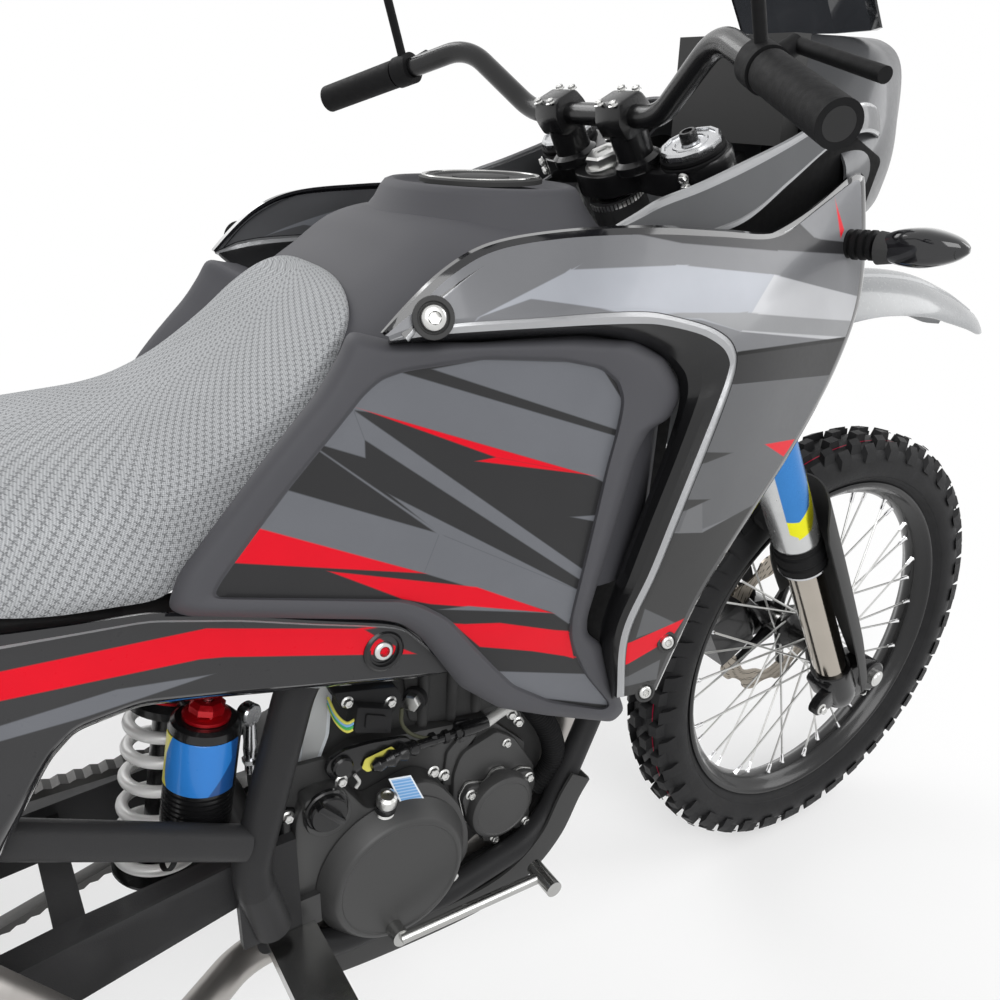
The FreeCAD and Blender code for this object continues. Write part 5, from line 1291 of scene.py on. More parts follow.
@dataclass(frozen=True)
class SideFairing:
    """The fairing beside the tank, with its chamfered inner edge and the wing below it."""

    ribs: tuple[Line, ...] = (
        # Outer edge, inside of the silver edge with its painted highlight, and foot of the dark wall, whose
        # deepest strip is painted shade, each as x and z
        ((-104, 966), (-98, 964), (-101, 961)), ((-82, 986), (-60, 964), (-58, 958)),
        ((-50, 1010), (-14, 962), (-14, 955)),
        ((-10, 1026), (42, 959), (44, 952)), ((60, 1032), (92, 956), (92, 948)),
        ((150, 1031), (140, 952), (134, 938)),
        ((230, 1024), (168, 948), (160, 928)), ((300, 1019), (209, 937), (180, 916)),
        ((345, 1040), (232, 927), (192, 904)),
        ((398, 1069), (250, 915), (199, 893)), ((408, 1062), (258, 902), (202, 882)),
        ((432, 962), (256, 883), (203, 866)),
        ((415, 885), (244, 848), (197, 840)), ((370, 805), (228, 808), (184, 800)),
        ((310, 725), (204, 748), (163, 747)),
        ((258, 655), (182, 692), (143, 691)), ((230, 600), (154, 632), (129, 632)),
        ((206, 548), (156, 556), (151, 554)))
    width: SideHull = SideHull((
        (-100, 968, 212), (-40, 990, 222), (50, 960, 245), (120, 950, 252), (200, 900, 258), (190, 850, 258),
        (50, 1032, 204), (170, 1030, 206), (300, 1020, 198), (400, 1070, 170), (430, 950, 182),
        (424, 904, 196),
        (300, 950, 232), (370, 805, 226), (310, 850, 246), (258, 655, 250), (170, 760, 258), (208, 545, 240),
        (150, 600, 244), (112, 660, 250)))
    chamfer: float = 0.010
    border: float = 0.006
    wall_rings: Line = ((0.06, 0.0045), (0.3, 0.008), (0.6, 0.015), (0.85, 0.024), (1.0, 0.034), (1.0, 0.062))
    # a dark sheet behind the fairing, painted shade where its inside would show
    shade_backing: Line = ((110, 900), (200, 905), (222, 860), (214, 740), (196, 640), (176, 572), (130, 580),
                     (96, 660), (112, 780))
    top_line: Line = ((-86, 962), (-54, 990), (-2, 1018), (44, 1026), (111, 1024), (169, 1023), (258, 1013),
                      (296, 1016), (345, 1036), (388, 1062))

    def build(self) -> None:
        """Makes both fairings."""
        lines = curve([sum(rib, ()) for rib in self.ribs], 170) * MM
        outer, inner, wall = line_smooth(lines[:, :2], 3), line_smooth(lines[:, 2:4],
                                                                       5), line_smooth(lines[:, 4:], 5)
        span = np.linalg.norm(inner - outer, axis=1, keepdims=True)
        way = (inner - outer) / span
        chamfer, border = np.minimum(self.chamfer, 0.35 * span), np.minimum(self.border, 0.2 * span)
        columns, sinks, slots = [outer, outer + way * 0.0015], [0.004, 0.0], [2]
        for share in np.linspace(0.0, 1.0, 30):
            columns.append(outer + way * (border + (span - chamfer - border) * share))
            sinks.append(0.0)
            slots.append(0 if share else 2)
        # a thin gloss black line, then the silver chamfer, whose pale colour is partly a painted highlight
        columns += [inner - way * chamfer * 0.9, inner - way * chamfer * 0.5, inner]
        sinks += [0.0012, 0.0012, 0.0035]
        slots += [2, 1, 1]
        # the wall's last strip, deepest into the body, is painted shade black
        for share, sink in self.wall_rings:
            columns.append(inner + (wall - inner) * share)
            sinks.append(sink)
            slots.append(4 if sink < 0.05 else 3)
        chart = np.stack(columns, axis=1)
        half = self.width(chart) - np.array(sinks)[None, :]
        surface = cast(chart, FAIRING_PLANE, half)
        draft = Draft("side_fairing_skins")
        draft.shell(surface, 0.003, np.array(slots), chart=chart)
        # the near-black sheet behind the fairing is painted shade
        draft.plate(self.shade_backing, -168, -163, 3, radius=10, edge=1)
        draft.mirrored()
        draft.finish("chassis",
                     (FAIR_GRAPHICS, FINISHES["edge_silver_and_painted_highlight"], FINISHES["gloss_black"], FINISHES["painted_shade_black"],
                      FINISHES["satin_black"]), ("side_fairings",), sharp_deg=24)
        self.trim()

    def trim(self) -> None:
        """Makes the gloss strip along the top edge, with a silver line of painted highlight along its lower
        side, and the bolts with their seats.
        """
        strip = Draft("fairing_edge_strips")
        line = curve(np.array(self.top_line, float) * MM, 110)
        way = directions(line)
        out = np.stack([-way[:, 1], way[:, 0]], axis=1)
        chart = np.stack([line + out * reach for reach in (-0.004, -0.003, 0.0, 0.005, 0.007)], axis=1)
        half = self.width(chart) + np.array([0.0, 0.0022, 0.003, 0.0022, -0.002])[None, :]
        # the silver strips below the gloss black are a painted highlight
        strip.grid(cast(chart, FAIRING_PLANE, half), np.array([0, 0, 1, 1]))
        strip.mirrored()
        strip.finish("chassis", coats("edge_silver_and_painted_highlight", "gloss_black"), outward=False)
        bolts = Draft("fairing_bolts")
        for u, v, plane in ((-62, 975, 0.200), (179, 636, 0.240), (156, 585, 0.240)):
            chart = np.array([[u, v]], float) * MM
            rise, reach = (0.006, 0.0092) if u < 0 else (0.003, 0.0062)
            head = cast(chart, plane, self.width(chart) + rise)[0]
            socket_bolt(bolts, head, (-0.25, -1, 0.22), reach)
        bolts.mirrored()
        bolts.finish("chassis", coats("zinc", "black_plastic"))


def socket_bolt(draft: Draft, head: Array, axis: Sequence[float], radius: float, slot: int = 0,
                seat: int = 1) -> None:
    """Adds a round bolt head with a six-sided socket, standing in a dished seat.

    Args:
        draft: the piece.
        head: the middle of the seat, in metres.
        axis: which way the head points.
        radius: the head's radius, in metres.
        slot: the head's material number.
        seat: the seat's material number.
    """
    dish = [(1.75, 0.0), (1.7, 0.12), (1.35, 0.14), (1.25, -0.10), (0.9, -0.12)]
    rim = [(1.1, -0.10), (1.1, 0.12), (0.98, 0.34), (0.80, 0.46), (0.55, 0.48)]
    socket = [(0.55, 0.48), (0.52, 0.0), (0.0, 0.0)]
    for form, sides, number in ((dish, 32, seat), (rim, 32, slot), (socket, 6, slot)):
        draft.grid(turned(np.array(form) * radius, head, axis, sides), number, wrap=True)


# Seat
@dataclass(frozen=True)
class SeatWeave(Finish):
    """A light mesh cover: fine knit ribs with small dark crosses in staggered rows."""

    pitch: float = 0.0088
    row_share: float = 0.62
    knit_down: float = 0.0022
    knit_across: float = 0.0026

    def _cells(self, nodes: Nodes) -> tuple[bpy.types.NodeSocket, bpy.types.NodeSocket]:
        """Each cell's own coordinates, -0.5 to 0.5, with every other row moved by half a cell.

        Args:
            nodes: the material's tree.

        Returns:
            The place across and down within a cell.
        """
        split = nodes.split(nodes.chart("flow"))
        down = nodes.math("DIVIDE", split.outputs[0], self.pitch * self.row_share)
        row = nodes.math("FLOOR", down)
        odd = nodes.math("MODULO", nodes.math("ABSOLUTE", row), 2.0)
        across = nodes.plus(nodes.math("DIVIDE", split.outputs[1], self.pitch), nodes.times(odd, 0.5))
        u = nodes.minus(nodes.math("FRACT", across), 0.5)
        v = nodes.minus(nodes.math("FRACT", down), 0.5)
        return u.outputs[0], v.outputs[0]

    def _cross(self, nodes: Nodes) -> bpy.types.Node:
        """1 on a cell's cross: the least distance to its two diagonals, kept within the arms' reach.

        Args:
            nodes: the material's tree.

        Returns:
            The mask's node.
        """
        u, v = self._cells(nodes)
        rise = nodes.times(v, self.row_share)
        first = nodes.math("ABSOLUTE", nodes.plus(nodes.times(u, 0.86), nodes.times(rise, 0.5)))
        second = nodes.math("ABSOLUTE", nodes.minus(nodes.times(u, 0.30), nodes.times(rise, 0.95)))
        least = nodes.math("MINIMUM", first, second)
        reach = nodes.math("SQRT", nodes.plus(nodes.times(u, u), nodes.times(rise, rise)))
        line = nodes.ramp(least, 0.035, 0.075, 1.0, 0.0)
        return nodes.times(line, nodes.ramp(reach, 0.26, 0.36, 1.0, 0.0))

    def _knit(self, nodes: Nodes) -> bpy.types.Node:
        """Fine ribs of the cover's knit, two crossing waves."""
        split = nodes.split(nodes.chart("flow"))
        long = nodes.math("SINE", nodes.times(split.outputs[0], WAVE / self.knit_down))
        wide = nodes.math("SINE", nodes.times(split.outputs[1], WAVE / self.knit_across))
        return nodes.math("MULTIPLY_ADD", nodes.times(long, wide), 0.5, 0.5)

    def colour_of(self, nodes: Nodes) -> object:
        """Grey threads over white, darker crosses."""
        threads = nodes.blend(self._knit(nodes), srgb("8f9194"), self.colour)
        return nodes.blend(nodes.times(self._cross(nodes), 0.50), threads, srgb("4c4e51"))

    def relief_of(self, nodes: Nodes) -> object:
        """Crosses sunk between raised threads."""
        height = nodes.minus(nodes.times(self._knit(nodes), 0.45), self._cross(nodes))
        return nodes.bump(height, 0.0007, 0.9)


SEAT_WEAVE = SeatWeave("seat_weave", srgb("c9cbcd"), 0.82, mottle=0.05, mottle_scale=12, sheen=0.15)


@dataclass(frozen=True)
class SeatStation:
    """One cross-section of the seat, in millimetres: its place, half width, crown and skirt levels."""

    x: float
    half: float
    crown: float
    skirt: float
    edge: float = 0.72
    crest: float = 0.62


@dataclass(frozen=True)
class Seat:
    """The saddle: a crowned pad that climbs onto the tank, in its mesh cover."""

    stations: tuple[SeatStation, ...] = (
        SeatStation(-79, 30, 984, 968), SeatStation(-84, 82, 988, 955), SeatStation(-96, 118, 979, 940),
        SeatStation(-118, 136, 960, 921), SeatStation(-145, 144, 938, 888), SeatStation(-175, 148, 918, 855),
        SeatStation(-205, 150, 902, 822), SeatStation(-240, 152, 889, 788), SeatStation(-272, 153, 883, 764),
        SeatStation(-310, 153, 880, 764), SeatStation(-370, 150, 878, 771), SeatStation(-450, 144, 880, 795),
        SeatStation(-560, 130, 888, 826), SeatStation(-680, 108, 900, 858), SeatStation(-760, 84, 905, 872),
        SeatStation(-800, 56, 905, 880), SeatStation(-812, 24, 901, 886))

    def _section(self, station: SeatStation) -> list[tuple[float, float, float]]:
        """Half a superellipse over a straight skirt.

        Args:
            station: the cross-section's sizes, in millimetres.

        Returns:
            Points from the right skirt over the crown to the left one.
        """
        turn = np.linspace(0, np.pi / 2, 9)
        rise = station.crown - station.skirt
        shoulder = station.skirt + rise * 0.42
        top = [(station.half * math.sin(a) ** station.edge,
                shoulder + (station.crown - shoulder) * math.cos(a) ** station.crest) for a in turn]
        side = [(station.half * 1.005, station.skirt + rise * 0.2),
                (station.half * 0.985, station.skirt + rise * 0.04)]
        half = [(station.x, y, z) for y, z in top + side]
        return [(x, -y, z) for x, y, z in reversed(half)] + half[1:]

    def build(self) -> None:
        """Makes the cover and the pan under it."""
        rows = np.array([self._section(s) for s in self.stations]) * MM
        surface = lattice(rows, 190, 120)
        draft = Draft("seat_cover")
        draft.grid(surface, 0)
        under = np.stack([surface[:, -1] + (surface[:, 0] - surface[:, -1]) * t for t in np.linspace(0, 1,
                                                                                                     12)],
                                                                                                     axis=1)
        draft.grid(under, 1)
        for row in (0, -1):
            rim = surface[row]
            middle = (rim[0] + rim[-1]) / 2
            draft.grid(np.stack([rim + (middle - rim) * t for t in (0.0, 0.3, 0.65, 1.0)]), 0)
        cover = draft.finish("chassis", (SEAT_WEAVE, FINISHES["black_plastic"]), ("seat",), sharp_deg=60)


# Side panels
PANEL_PLANE = 0.180
PANEL_GRAPHICS = Pattern("panel_graphics", srgb("3a3a3b"), 0.30, 0.0, mottle=0.03, relief=Relief.NONE,
                         coat=0.10,
                         patches=(
    Patch(RED, ((-420, 757), (-250, 748), (-120, 709), (-100, 690), (-70, 668), (-250, 722), (-430, 735))),
    Patch(RED, ((-430, 758), (-420, 757), (-420, 735), (-700, 745), (-700, 775))),
    Patch(SLATE, ((-250, 706), (-320, 716), (-410, 712), (-410, 700), (-345, 700))),
    Patch(SLATE, ((-410, 712), (-760, 720), (-760, 690), (-410, 700))),
))


@dataclass(frozen=True)
class SidePanel:
    """The long panel under the seat, with a gloss upper edge and a bolt near its nose."""

    pairs: tuple[Line, ...] = (((-30, 641), (-30, 636)), ((-84, 704), (-66, 641)), ((-102, 712), (-110, 651)),
                               ((-160, 732), (-179, 667)), ((-220, 754), (-250, 684)),
                               ((-289, 774), (-305, 696)), ((-340, 779), (-352, 690)),
                               ((-387, 785), (-372, 672)), ((-420, 793), (-400, 628)),
                               ((-480, 810), (-424, 590)), ((-560, 832), (-470, 580)),
                               ((-660, 862), (-560, 640)), ((-740, 880), (-660, 760)),
                               ((-790, 892), (-780, 870)))
    width: SideHull = SideHull((
        (-30, 640, 184), (-84, 700, 186), (-110, 650, 186), (-200, 745, 178), (-200, 675, 186),
        (-300, 775, 168),
        (-305, 700, 182), (-387, 785, 158), (-400, 630, 188), (-560, 830, 138), (-470, 590, 182),
        (-740, 880, 106),
        (-660, 760, 138)))

    def build(self) -> None:
        """Makes both panels and their bolts."""
        upper, lower = matched([a for a, _ in self.pairs], [b for _, b in self.pairs], 6.0, False)
        upper, lower = line_smooth(upper, 3), line_smooth(lower, 3)
        shares = np.concatenate([[0.0, 0.015, 0.05, 0.09, 0.11], np.linspace(0.13, 0.93, 22),
                                 [0.95, 0.98, 1.0]])
        sinks = np.concatenate([[0.012, 0.002, 0.0, 0.0, 0.0025], np.full(22, 0.003), [0.004, 0.009, 0.022]])
        # the silver strip below the gloss upper edge is partly a painted highlight
        slots = np.array([1, 1, 1, 2] + [0] * 22 + [1, 1, 1])[:len(shares) - 1]
        chart = upper[:, None] + (lower - upper)[:, None] * shares[None, :, None]
        half = self.width(chart) - sinks[None, :]
        draft = Draft("side_panel_skins")
        draft.shell(cast(chart, PANEL_PLANE, half), 0.003, slots, chart=chart)
        draft.mirrored()
        draft.finish("chassis", (PANEL_GRAPHICS, FINISHES["gloss_black"], FINISHES["edge_silver_and_painted_highlight"]),
                     ("side_panels",), sharp_deg=28)
        bolts = Draft("side_panel_bolts")
        chart = np.array([[-102, 682]], float) * MM
        head = cast(chart, PANEL_PLANE, self.width(chart) - 0.004)[0]
        bolts.grid(turned(np.array([(19, -3), (19, 2.5), (17, 4), (14.5, 3.5), (13, -1), (0, -2)]) * MM, head,
                          (0, -1, 0.1), 40), 1, wrap=True)
        socket_bolt(bolts, head, (0, -1, 0.1), 0.0088)
        bolts.mirrored()
        bolts.finish("chassis", coats("zinc", "satin_black"))


# Wheels
@dataclass(frozen=True)
class WheelSizes:
    """Sizes of a wheel, in metres, and the counts of what repeats on it."""

    name: str
    body: str
    axle: tuple[float, float, float]
    tip: float
    half: float
    rim: float
    rim_half: float
    hub_half: float
    hub: float
    flange: float
    pitches: int
    disc_across: float
    disc_radius: float
    lug: float = 0.0125
    spokes: int = 36
    spoke_radius: float = 0.00165
    cross_deg: float = 60.0


FRONT_WHEEL = WheelSizes("front", "front_wheel", MACHINE.front_axle, 0.348, 0.042, 0.272, 0.027, 0.048, 0.022,
                         0.034, 38, disc_across=0.0675, disc_radius=0.130)
REAR_WHEEL = WheelSizes("rear", "rear_wheel", MACHINE.rear_axle, 0.338, 0.055, 0.234, 0.034, 0.052, 0.030,
                        0.044, 34, disc_across=-0.066, disc_radius=0.110)


@dataclass(frozen=True)
class Wheel:
    """A spoked wheel with its lugged tyre."""

    sizes: WheelSizes
    lug_faces: tuple[tuple[int, ...], ...] = ((4, 5, 6, 7), (0, 1, 5, 4), (1, 2, 6, 5), (2, 3, 7, 6),
                                              (3, 0, 4, 7))
    nipple_form: Line = ((0.0, -0.003), (0.0045, -0.003), (0.0045, 0.001), (0.0032, 0.003), (0.0030, 0.015),
                         (0.0022, 0.017), (0.0, 0.017))

    def build(self) -> None:
        """Makes the wheel's pieces."""
        self.tyre()
        self.rim()
        self.spokes()
        self.disc()

    def _round(self, radius: Array, across: Array, angle: Array) -> Array:
        """Points at a radius and a distance across, at angles round the axle."""
        x, y, z = self.sizes.axle
        return np.stack([x + radius * np.cos(angle), y + across + 0 * angle, z + radius * np.sin(angle)],
                        axis=-1)

    def _carcass(self) -> list[tuple[float, float]]:
        """The tyre's section as (across, radius), from its right bead to the left."""
        sizes = self.sizes
        depth = sizes.tip - sizes.lug - sizes.rim
        right = [(-sizes.rim_half + 0.006, sizes.rim - 0.010), (-sizes.rim_half + 0.002, sizes.rim + 0.002),
                 (-sizes.half * 0.80, sizes.rim + depth * 0.16),
                 (-sizes.half * 0.93, sizes.rim + depth * 0.36),
                 (-sizes.half * 0.93, sizes.rim + depth * 0.60),
                 (-sizes.half * 0.82, sizes.rim + depth * 0.82),
                 (-sizes.half * 0.50, sizes.rim + depth * 0.96), (0, sizes.rim + depth)]
        return right + [(-a, r) for a, r in reversed(right[:-1])]

    def _lugs(self, draft: Draft, across: tuple[float, float], base: tuple[float, float],
              top: tuple[float, float], start: float, span: float, skew: float = 0.0) -> None:
        """Adds one block at every pitch.

        Args:
            draft: the tyre.
            across: the block's two edges across the tread.
            base: the block's foot radius at both edges.
            top: its top radius at both edges.
            start: where it begins within the pitch, as a share.
            span: its length along the tread, as a share of the pitch.
            skew: how far the second edge runs ahead.
        """
        sizes = self.sizes
        pitch = 2 * np.pi / sizes.pitches
        angle = np.arange(sizes.pitches) * pitch + start * pitch
        low, high = across
        taper = 0.10 * span * pitch
        draw = 0.0012 * np.sign(high - low)
        rows = []
        for radius_pair, cut, pull in ((base, 0.0, 0.0), (top, taper, draw)):
            a0, a1 = angle + cut, angle + span * pitch - cut
            lean = skew * pitch
            rows += [self._round(radius_pair[0], low + pull, a0),
                     self._round(radius_pair[1], high - pull, a0 + lean),
                     self._round(radius_pair[1], high - pull, a1 + lean),
                     self._round(radius_pair[0], low + pull, a1)]
        draft.block(np.stack(rows, axis=1), self.lug_faces, 0)

    def tyre(self) -> None:
        """Makes the tyre with its blocks, its bead line and its coloured tread line."""
        sizes = self.sizes
        draft = Draft(f"{sizes.name}_tyre_rubber")
        section = curve(self._carcass(), 34)
        angle = circle(144)
        grid = np.stack([self._round(r, a, angle) for a, r in section], axis=0)
        draft.grid(grid, 0, wrap=True)
        floor = sizes.rim + (sizes.tip - sizes.lug - sizes.rim) * 0.98
        edge = sizes.rim + (sizes.tip - sizes.lug - sizes.rim) * 0.80
        for side in (-1, 1):
            shift = 0.0 if side < 0 else 0.5
            self._lugs(draft, (side * sizes.half * 0.06, side * sizes.half * 0.42), (floor, floor - 0.001),
                       (sizes.tip, sizes.tip - 0.001), 0.0 + shift, 0.40)
            self._lugs(draft, (side * sizes.half * 0.50, side * sizes.half * 0.80), (floor - 0.002, edge),
                       (sizes.tip - 0.003, sizes.tip - 0.008), 0.42 + shift, 0.42, 0.05)
            self._lugs(draft, (side * sizes.half * 0.78, side * sizes.half * 1.0),
                       (edge + 0.002, edge - 0.012), (sizes.tip - 0.010, sizes.tip - 0.022), 0.0 + shift,
                       0.46, -0.05)
        if sizes.name == "front":
            line = np.stack([self._round(floor + 0.0012, -0.0185 + w, angle) for w in (-0.0007, 0.0007)])
            draft.grid(line, 1, wrap=True)
            self._lugs(draft, (-0.0192, -0.0178), (sizes.tip - 0.0008, sizes.tip - 0.0008),
                       (sizes.tip + 0.0002, sizes.tip + 0.0002), 0.0, 0.40)
        bead = np.stack([self._round(sizes.rim + 0.0105 + d, -sizes.half * 0.80 - e, angle) for d, e in
                         ((0, 0.0), (0.001, 0.0012), (0.002, 0.0))])
        draft.grid(bead, 0, wrap=True)
        draft.finish(sizes.body, (TYRE_RUBBER, FINISHES["marker_red"]), (f"{sizes.name}_tyre",), sharp_deg=30)

    def rim(self) -> None:
        """Makes the black rim with rolled edges."""
        sizes = self.sizes
        draft = Draft(f"{sizes.name}_rim_hoop")
        half, rim = sizes.rim_half, sizes.rim
        section = [(-half, rim), (-half - 0.0012, rim - 0.003), (-half, rim - 0.007),
                   (-half + 0.004, rim - 0.010), (-half * 0.72, rim - 0.013), (-half * 0.40, rim - 0.021),
                   (0, rim - 0.0235)]
        section = section + [(-a, q) for a, q in reversed(section[:-1])]
        back = [(half - 0.004, rim), (half - 0.006, rim - 0.007), (0, rim - 0.016),
                (-half + 0.006, rim - 0.007), (-half + 0.004, rim)]
        angle = circle(144)
        outer = curve(section, 30)
        loop = np.concatenate([outer, np.array(back)])
        draft.grid(np.stack([self._round(q, a, angle) for a, q in loop]), 0, wrap=True, ring=True)
        draft.finish(sizes.body, coats("satin_black"), (f"{sizes.name}_rim",), sharp_deg=50)

    def spokes(self) -> None:
        """Makes the hub, the crossed spokes and their nipples."""
        sizes = self.sizes
        draft = Draft(f"{sizes.name}_hub_and_spokes")
        axle = np.array(sizes.axle)
        hub, flange, wide = sizes.hub, sizes.flange, sizes.hub_half
        form = [(hub * 0.58, -wide), (hub, -wide), (hub, -wide * 0.82), (flange * 0.97, -wide * 0.76),
                (flange, -wide * 0.70), (flange, -wide * 0.60), (flange * 0.92, -wide * 0.53),
                (hub * 1.05, -wide * 0.40), (hub * 0.95, 0)]
        form = form + [(radius, -level) for radius, level in reversed(form[:-1])]
        if sizes.name == "rear":
            form[-2:] = [(hub, 0.0705), (hub * 0.58, 0.0705)]
        draft.grid(turned(form, axle, LEFT, 48), 1, wrap=True)
        cross = math.radians(sizes.cross_deg)
        foot_reach, tip_reach = flange - 0.004, sizes.rim - 0.0225
        for k in range(sizes.spokes):
            angle = 2 * math.pi * k / sizes.spokes
            side = 1 if k % 2 else -1
            lean = 1 if k % 4 < 2 else -1
            turn = angle + lean * cross
            level = wide * (0.75 - 0.04) if lean > 0 else wide * (0.55 + 0.04)
            foot = axle + np.array([foot_reach * math.cos(turn), side * level, foot_reach * math.sin(turn)])
            tip = axle + np.array([tip_reach * math.cos(angle), side * 0.004, tip_reach * math.sin(angle)])
            path = np.stack([foot, foot + (tip - foot) * 0.5, tip])
            draft.grid(tube(path, sizes.spoke_radius, 8), 0, wrap=True, caps=True)
            way = (foot - tip) / np.linalg.norm(foot - tip)
            draft.grid(turned(self.nipple_form, tip, way, 8), 2, wrap=True)
        draft.finish(sizes.body, coats("zinc", "satin_black", "chrome"), (f"{sizes.name}_spokes",),
                     sharp_deg=40)

    def disc(self, waves: int = 10) -> None:
        """Makes a waved and drilled brake disc on its carrier."""
        sizes = self.sizes
        across, radius = sizes.disc_across, sizes.disc_radius
        draft = Draft(f"{sizes.name}_wave_disc")
        half = 0.0017
        x, y, z = sizes.axle
        angle = circle(240)
        wave = np.cos(angle * waves)
        outer = radius - 0.006 + 0.006 * np.sign(wave) * np.abs(wave) ** 0.5
        inner = radius - 0.034 - 0.003 * wave
        bands = [(inner, -half), (outer, -half), (outer, half), (inner, half)]
        grid = np.stack([self._round(r, across + a, angle) for r, a in bands])
        draft.grid(grid, 0, wrap=True, ring=True)
        arms = 5
        for k in range(arms):
            turn = 2 * math.pi * k / arms
            foot = np.array([x + sizes.hub * math.cos(turn + 0.35), y + across,
                             z + sizes.hub * math.sin(turn + 0.35)])
            tip = np.array([x + (radius - 0.034) * math.cos(turn), y + across,
                            z + (radius - 0.034) * math.sin(turn)])
            draft.grid(tube(straight([foot, tip], 4), np.array([0.011, 0.008, 0.0065, 0.007]), 8), 1,
                       wrap=True, caps=True)
        ring = [(sizes.hub * 0.6, -0.002), (sizes.hub * 1.25, -0.002), (sizes.hub * 1.25, 0.002),
                (sizes.hub * 0.6, 0.002)]
        draft.grid(turned(ring, (x, y + across, z), LEFT, 40), 1, wrap=True, ring=True)
        draft.finish(sizes.body, (DRILLED_DISC, FINISHES["satin_black"]), (f"{sizes.name}_disc",),
                     sharp_deg=40)


@dataclass(frozen=True)
class TyreRubber(Finish):
    """Rubber with fine mould grain and a dusty bloom."""

    def relief_of(self, nodes: Nodes) -> object:
        """Grain over faint mould lines."""
        grain = nodes.noise(nodes.place(), 900, 3.0)
        broad = nodes.noise(nodes.place(), 60, 2.0)
        return nodes.bump(nodes.plus(grain, nodes.times(broad, 0.8)), 0.0003)


TYRE_RUBBER = TyreRubber("tyre_rubber", srgb("242425"), 0.5, mottle=0.16, mottle_scale=26)


@dataclass(frozen=True)
class DrilledDisc(Finish):
    """Ground steel with rows of small dark holes, laid out on the disc's own lengths, in metres."""

    pitch_round: float = 0.017
    pitch_out: float = 0.0115
    hole: tuple[float, float] = (0.0024, 0.0029)

    def colour_of(self, nodes: Nodes) -> object:
        """Darkens round spots of a staggered lattice."""
        split = nodes.split(nodes.chart("flow"))
        u = nodes.math("DIVIDE", split.outputs[1], self.pitch_round)
        v = nodes.math("DIVIDE", split.outputs[0], self.pitch_out)
        odd = nodes.math("MODULO", nodes.math("FLOOR", v), 2.0)
        du = nodes.minus(nodes.math("FRACT", nodes.plus(u, nodes.times(odd, 0.5))), 0.5)
        dv = nodes.minus(nodes.math("FRACT", v), 0.5)
        a, b = nodes.times(du, self.pitch_round), nodes.times(dv, self.pitch_out)
        reach = nodes.math("SQRT", nodes.plus(nodes.times(a, a), nodes.times(b, b)))
        return nodes.blend(nodes.ramp(reach, *self.hole, 1.0, 0.0), self.colour, srgb("141414"))


DRILLED_DISC = DrilledDisc("drilled_disc", srgb("a59d92"), 0.32, 1.0, mottle=0.08, relief=Relief.NONE)


# Front of the machine
@dataclass(frozen=True)
class Beak:
    """The high front fender: a pointed silver blade over the wheel."""

    ridge: Line = ((0.336, 0.780), (0.390, 0.842), (0.450, 0.886), (0.520, 0.914), (0.600, 0.927),
                   (0.686, 0.929), (0.791, 0.915), (0.880, 0.886), (0.925, 0.866), (0.948, 0.855))
    half: Line = ((0.336, 0.060), (0.390, 0.062), (0.450, 0.063), (0.520, 0.064), (0.600, 0.064),
                  (0.686, 0.063), (0.791, 0.058), (0.880, 0.050), (0.925, 0.044), (0.948, 0.034))
    shares: tuple[float, ...] = (-1.0, -0.985, -0.93, -0.75, -0.5, -0.30, -0.26, -0.12, 0, 0.12, 0.26, 0.30,
                                 0.5, 0.75, 0.93, 0.985, 1.0)
    fall: tuple[float, ...] = (0.050, 0.047, 0.040, 0.026, 0.013, 0.0085, 0.0045, 0.001)
    wall: float = 0.0028

    def build(self) -> None:
        """Makes the blade with its raised middle and its rolled edges."""
        ridge, half = curve(self.ridge, 70), curve(self.half, 70)
        shares, fall = np.array(self.shares), np.array(self.fall)
        drop = np.concatenate([fall, [0.0], fall[::-1]])
        width = half[:, 1][:, None] * shares
        fade = np.clip(half[:, 1] / 0.055, 0.45, 1.0)[:, None]
        grid = np.stack([np.repeat(ridge[:, :1], len(shares), axis=1), width, ridge[:, 1:] - drop * fade],
                        axis=2)
        draft = Draft("front_fender_blade")
        draft.shell(grid[:, ::-1], self.wall, 0)
        draft.finish("steering", coats("beak_silver"), ("front_fender",), sharp_deg=22)


@dataclass(frozen=True)
class Indicator:
    """A turn signal: ribbed rubber stalk and gloss black body."""

    base: Point = (0.421, -0.168, 1.000)
    tip: Point = (0.452, -0.280, 1.008)
    rib_count: int = 5
    rib_pitch: float = 0.0085

    def build(self) -> None:
        """Makes both front turn signals."""
        draft = Draft("front_turn_signals")
        a, b = np.array(self.base), np.array(self.tip)
        way = (b - a) / np.linalg.norm(b - a)
        length = float(np.linalg.norm(b - a))
        ribs = []
        for k in range(self.rib_count):
            start = 0.004 + k * self.rib_pitch
            ribs += [(0.0115, start), (0.0150, start + 0.0012), (0.0150, start + 0.0052),
                     (0.0115, start + 0.0064)]
        stalk = [(0.0, -0.01), (0.017, -0.01), (0.017, 0.002)] + ribs + [(0.011, 0.046)]
        draft.grid(turned(stalk, a, way, 28), 0, wrap=True)
        side = np.array([1.0, 0.0, 0.0]) - way * way[0]
        side /= np.linalg.norm(side)
        up = np.cross(side, way)
        up = up if up[2] > 0 else -up
        rows, reach = [], [(0.044, 0.010, 0.008), (0.052, 0.013, 0.011), (0.068, 0.019, 0.017),
                           (0.090, 0.0225, 0.019), (0.108, 0.020, 0.016), (0.122, 0.014, 0.011),
                           (length + 0.013, 0.008, 0.006), (length + 0.016, 0.003, 0.003)]
        angle = circle(32)
        for along, wide, tall in reach:
            c, s = np.cos(angle), np.sin(angle)
            ring = np.sign(c) * np.abs(c) ** 0.7 * wide, np.sign(s) * np.abs(s) ** 0.7 * tall
            rows.append(a + way * along + side * ring[0][:, None] + up * ring[1][:, None])
        draft.grid(lattice(np.array(rows).transpose(1, 0, 2), 32, 26).transpose(1, 0, 2), 1, wrap=True,
                   caps=True)
        draft.mirrored()
        draft.finish("chassis", coats("rubber", "gloss_black"), sharp_deg=35)


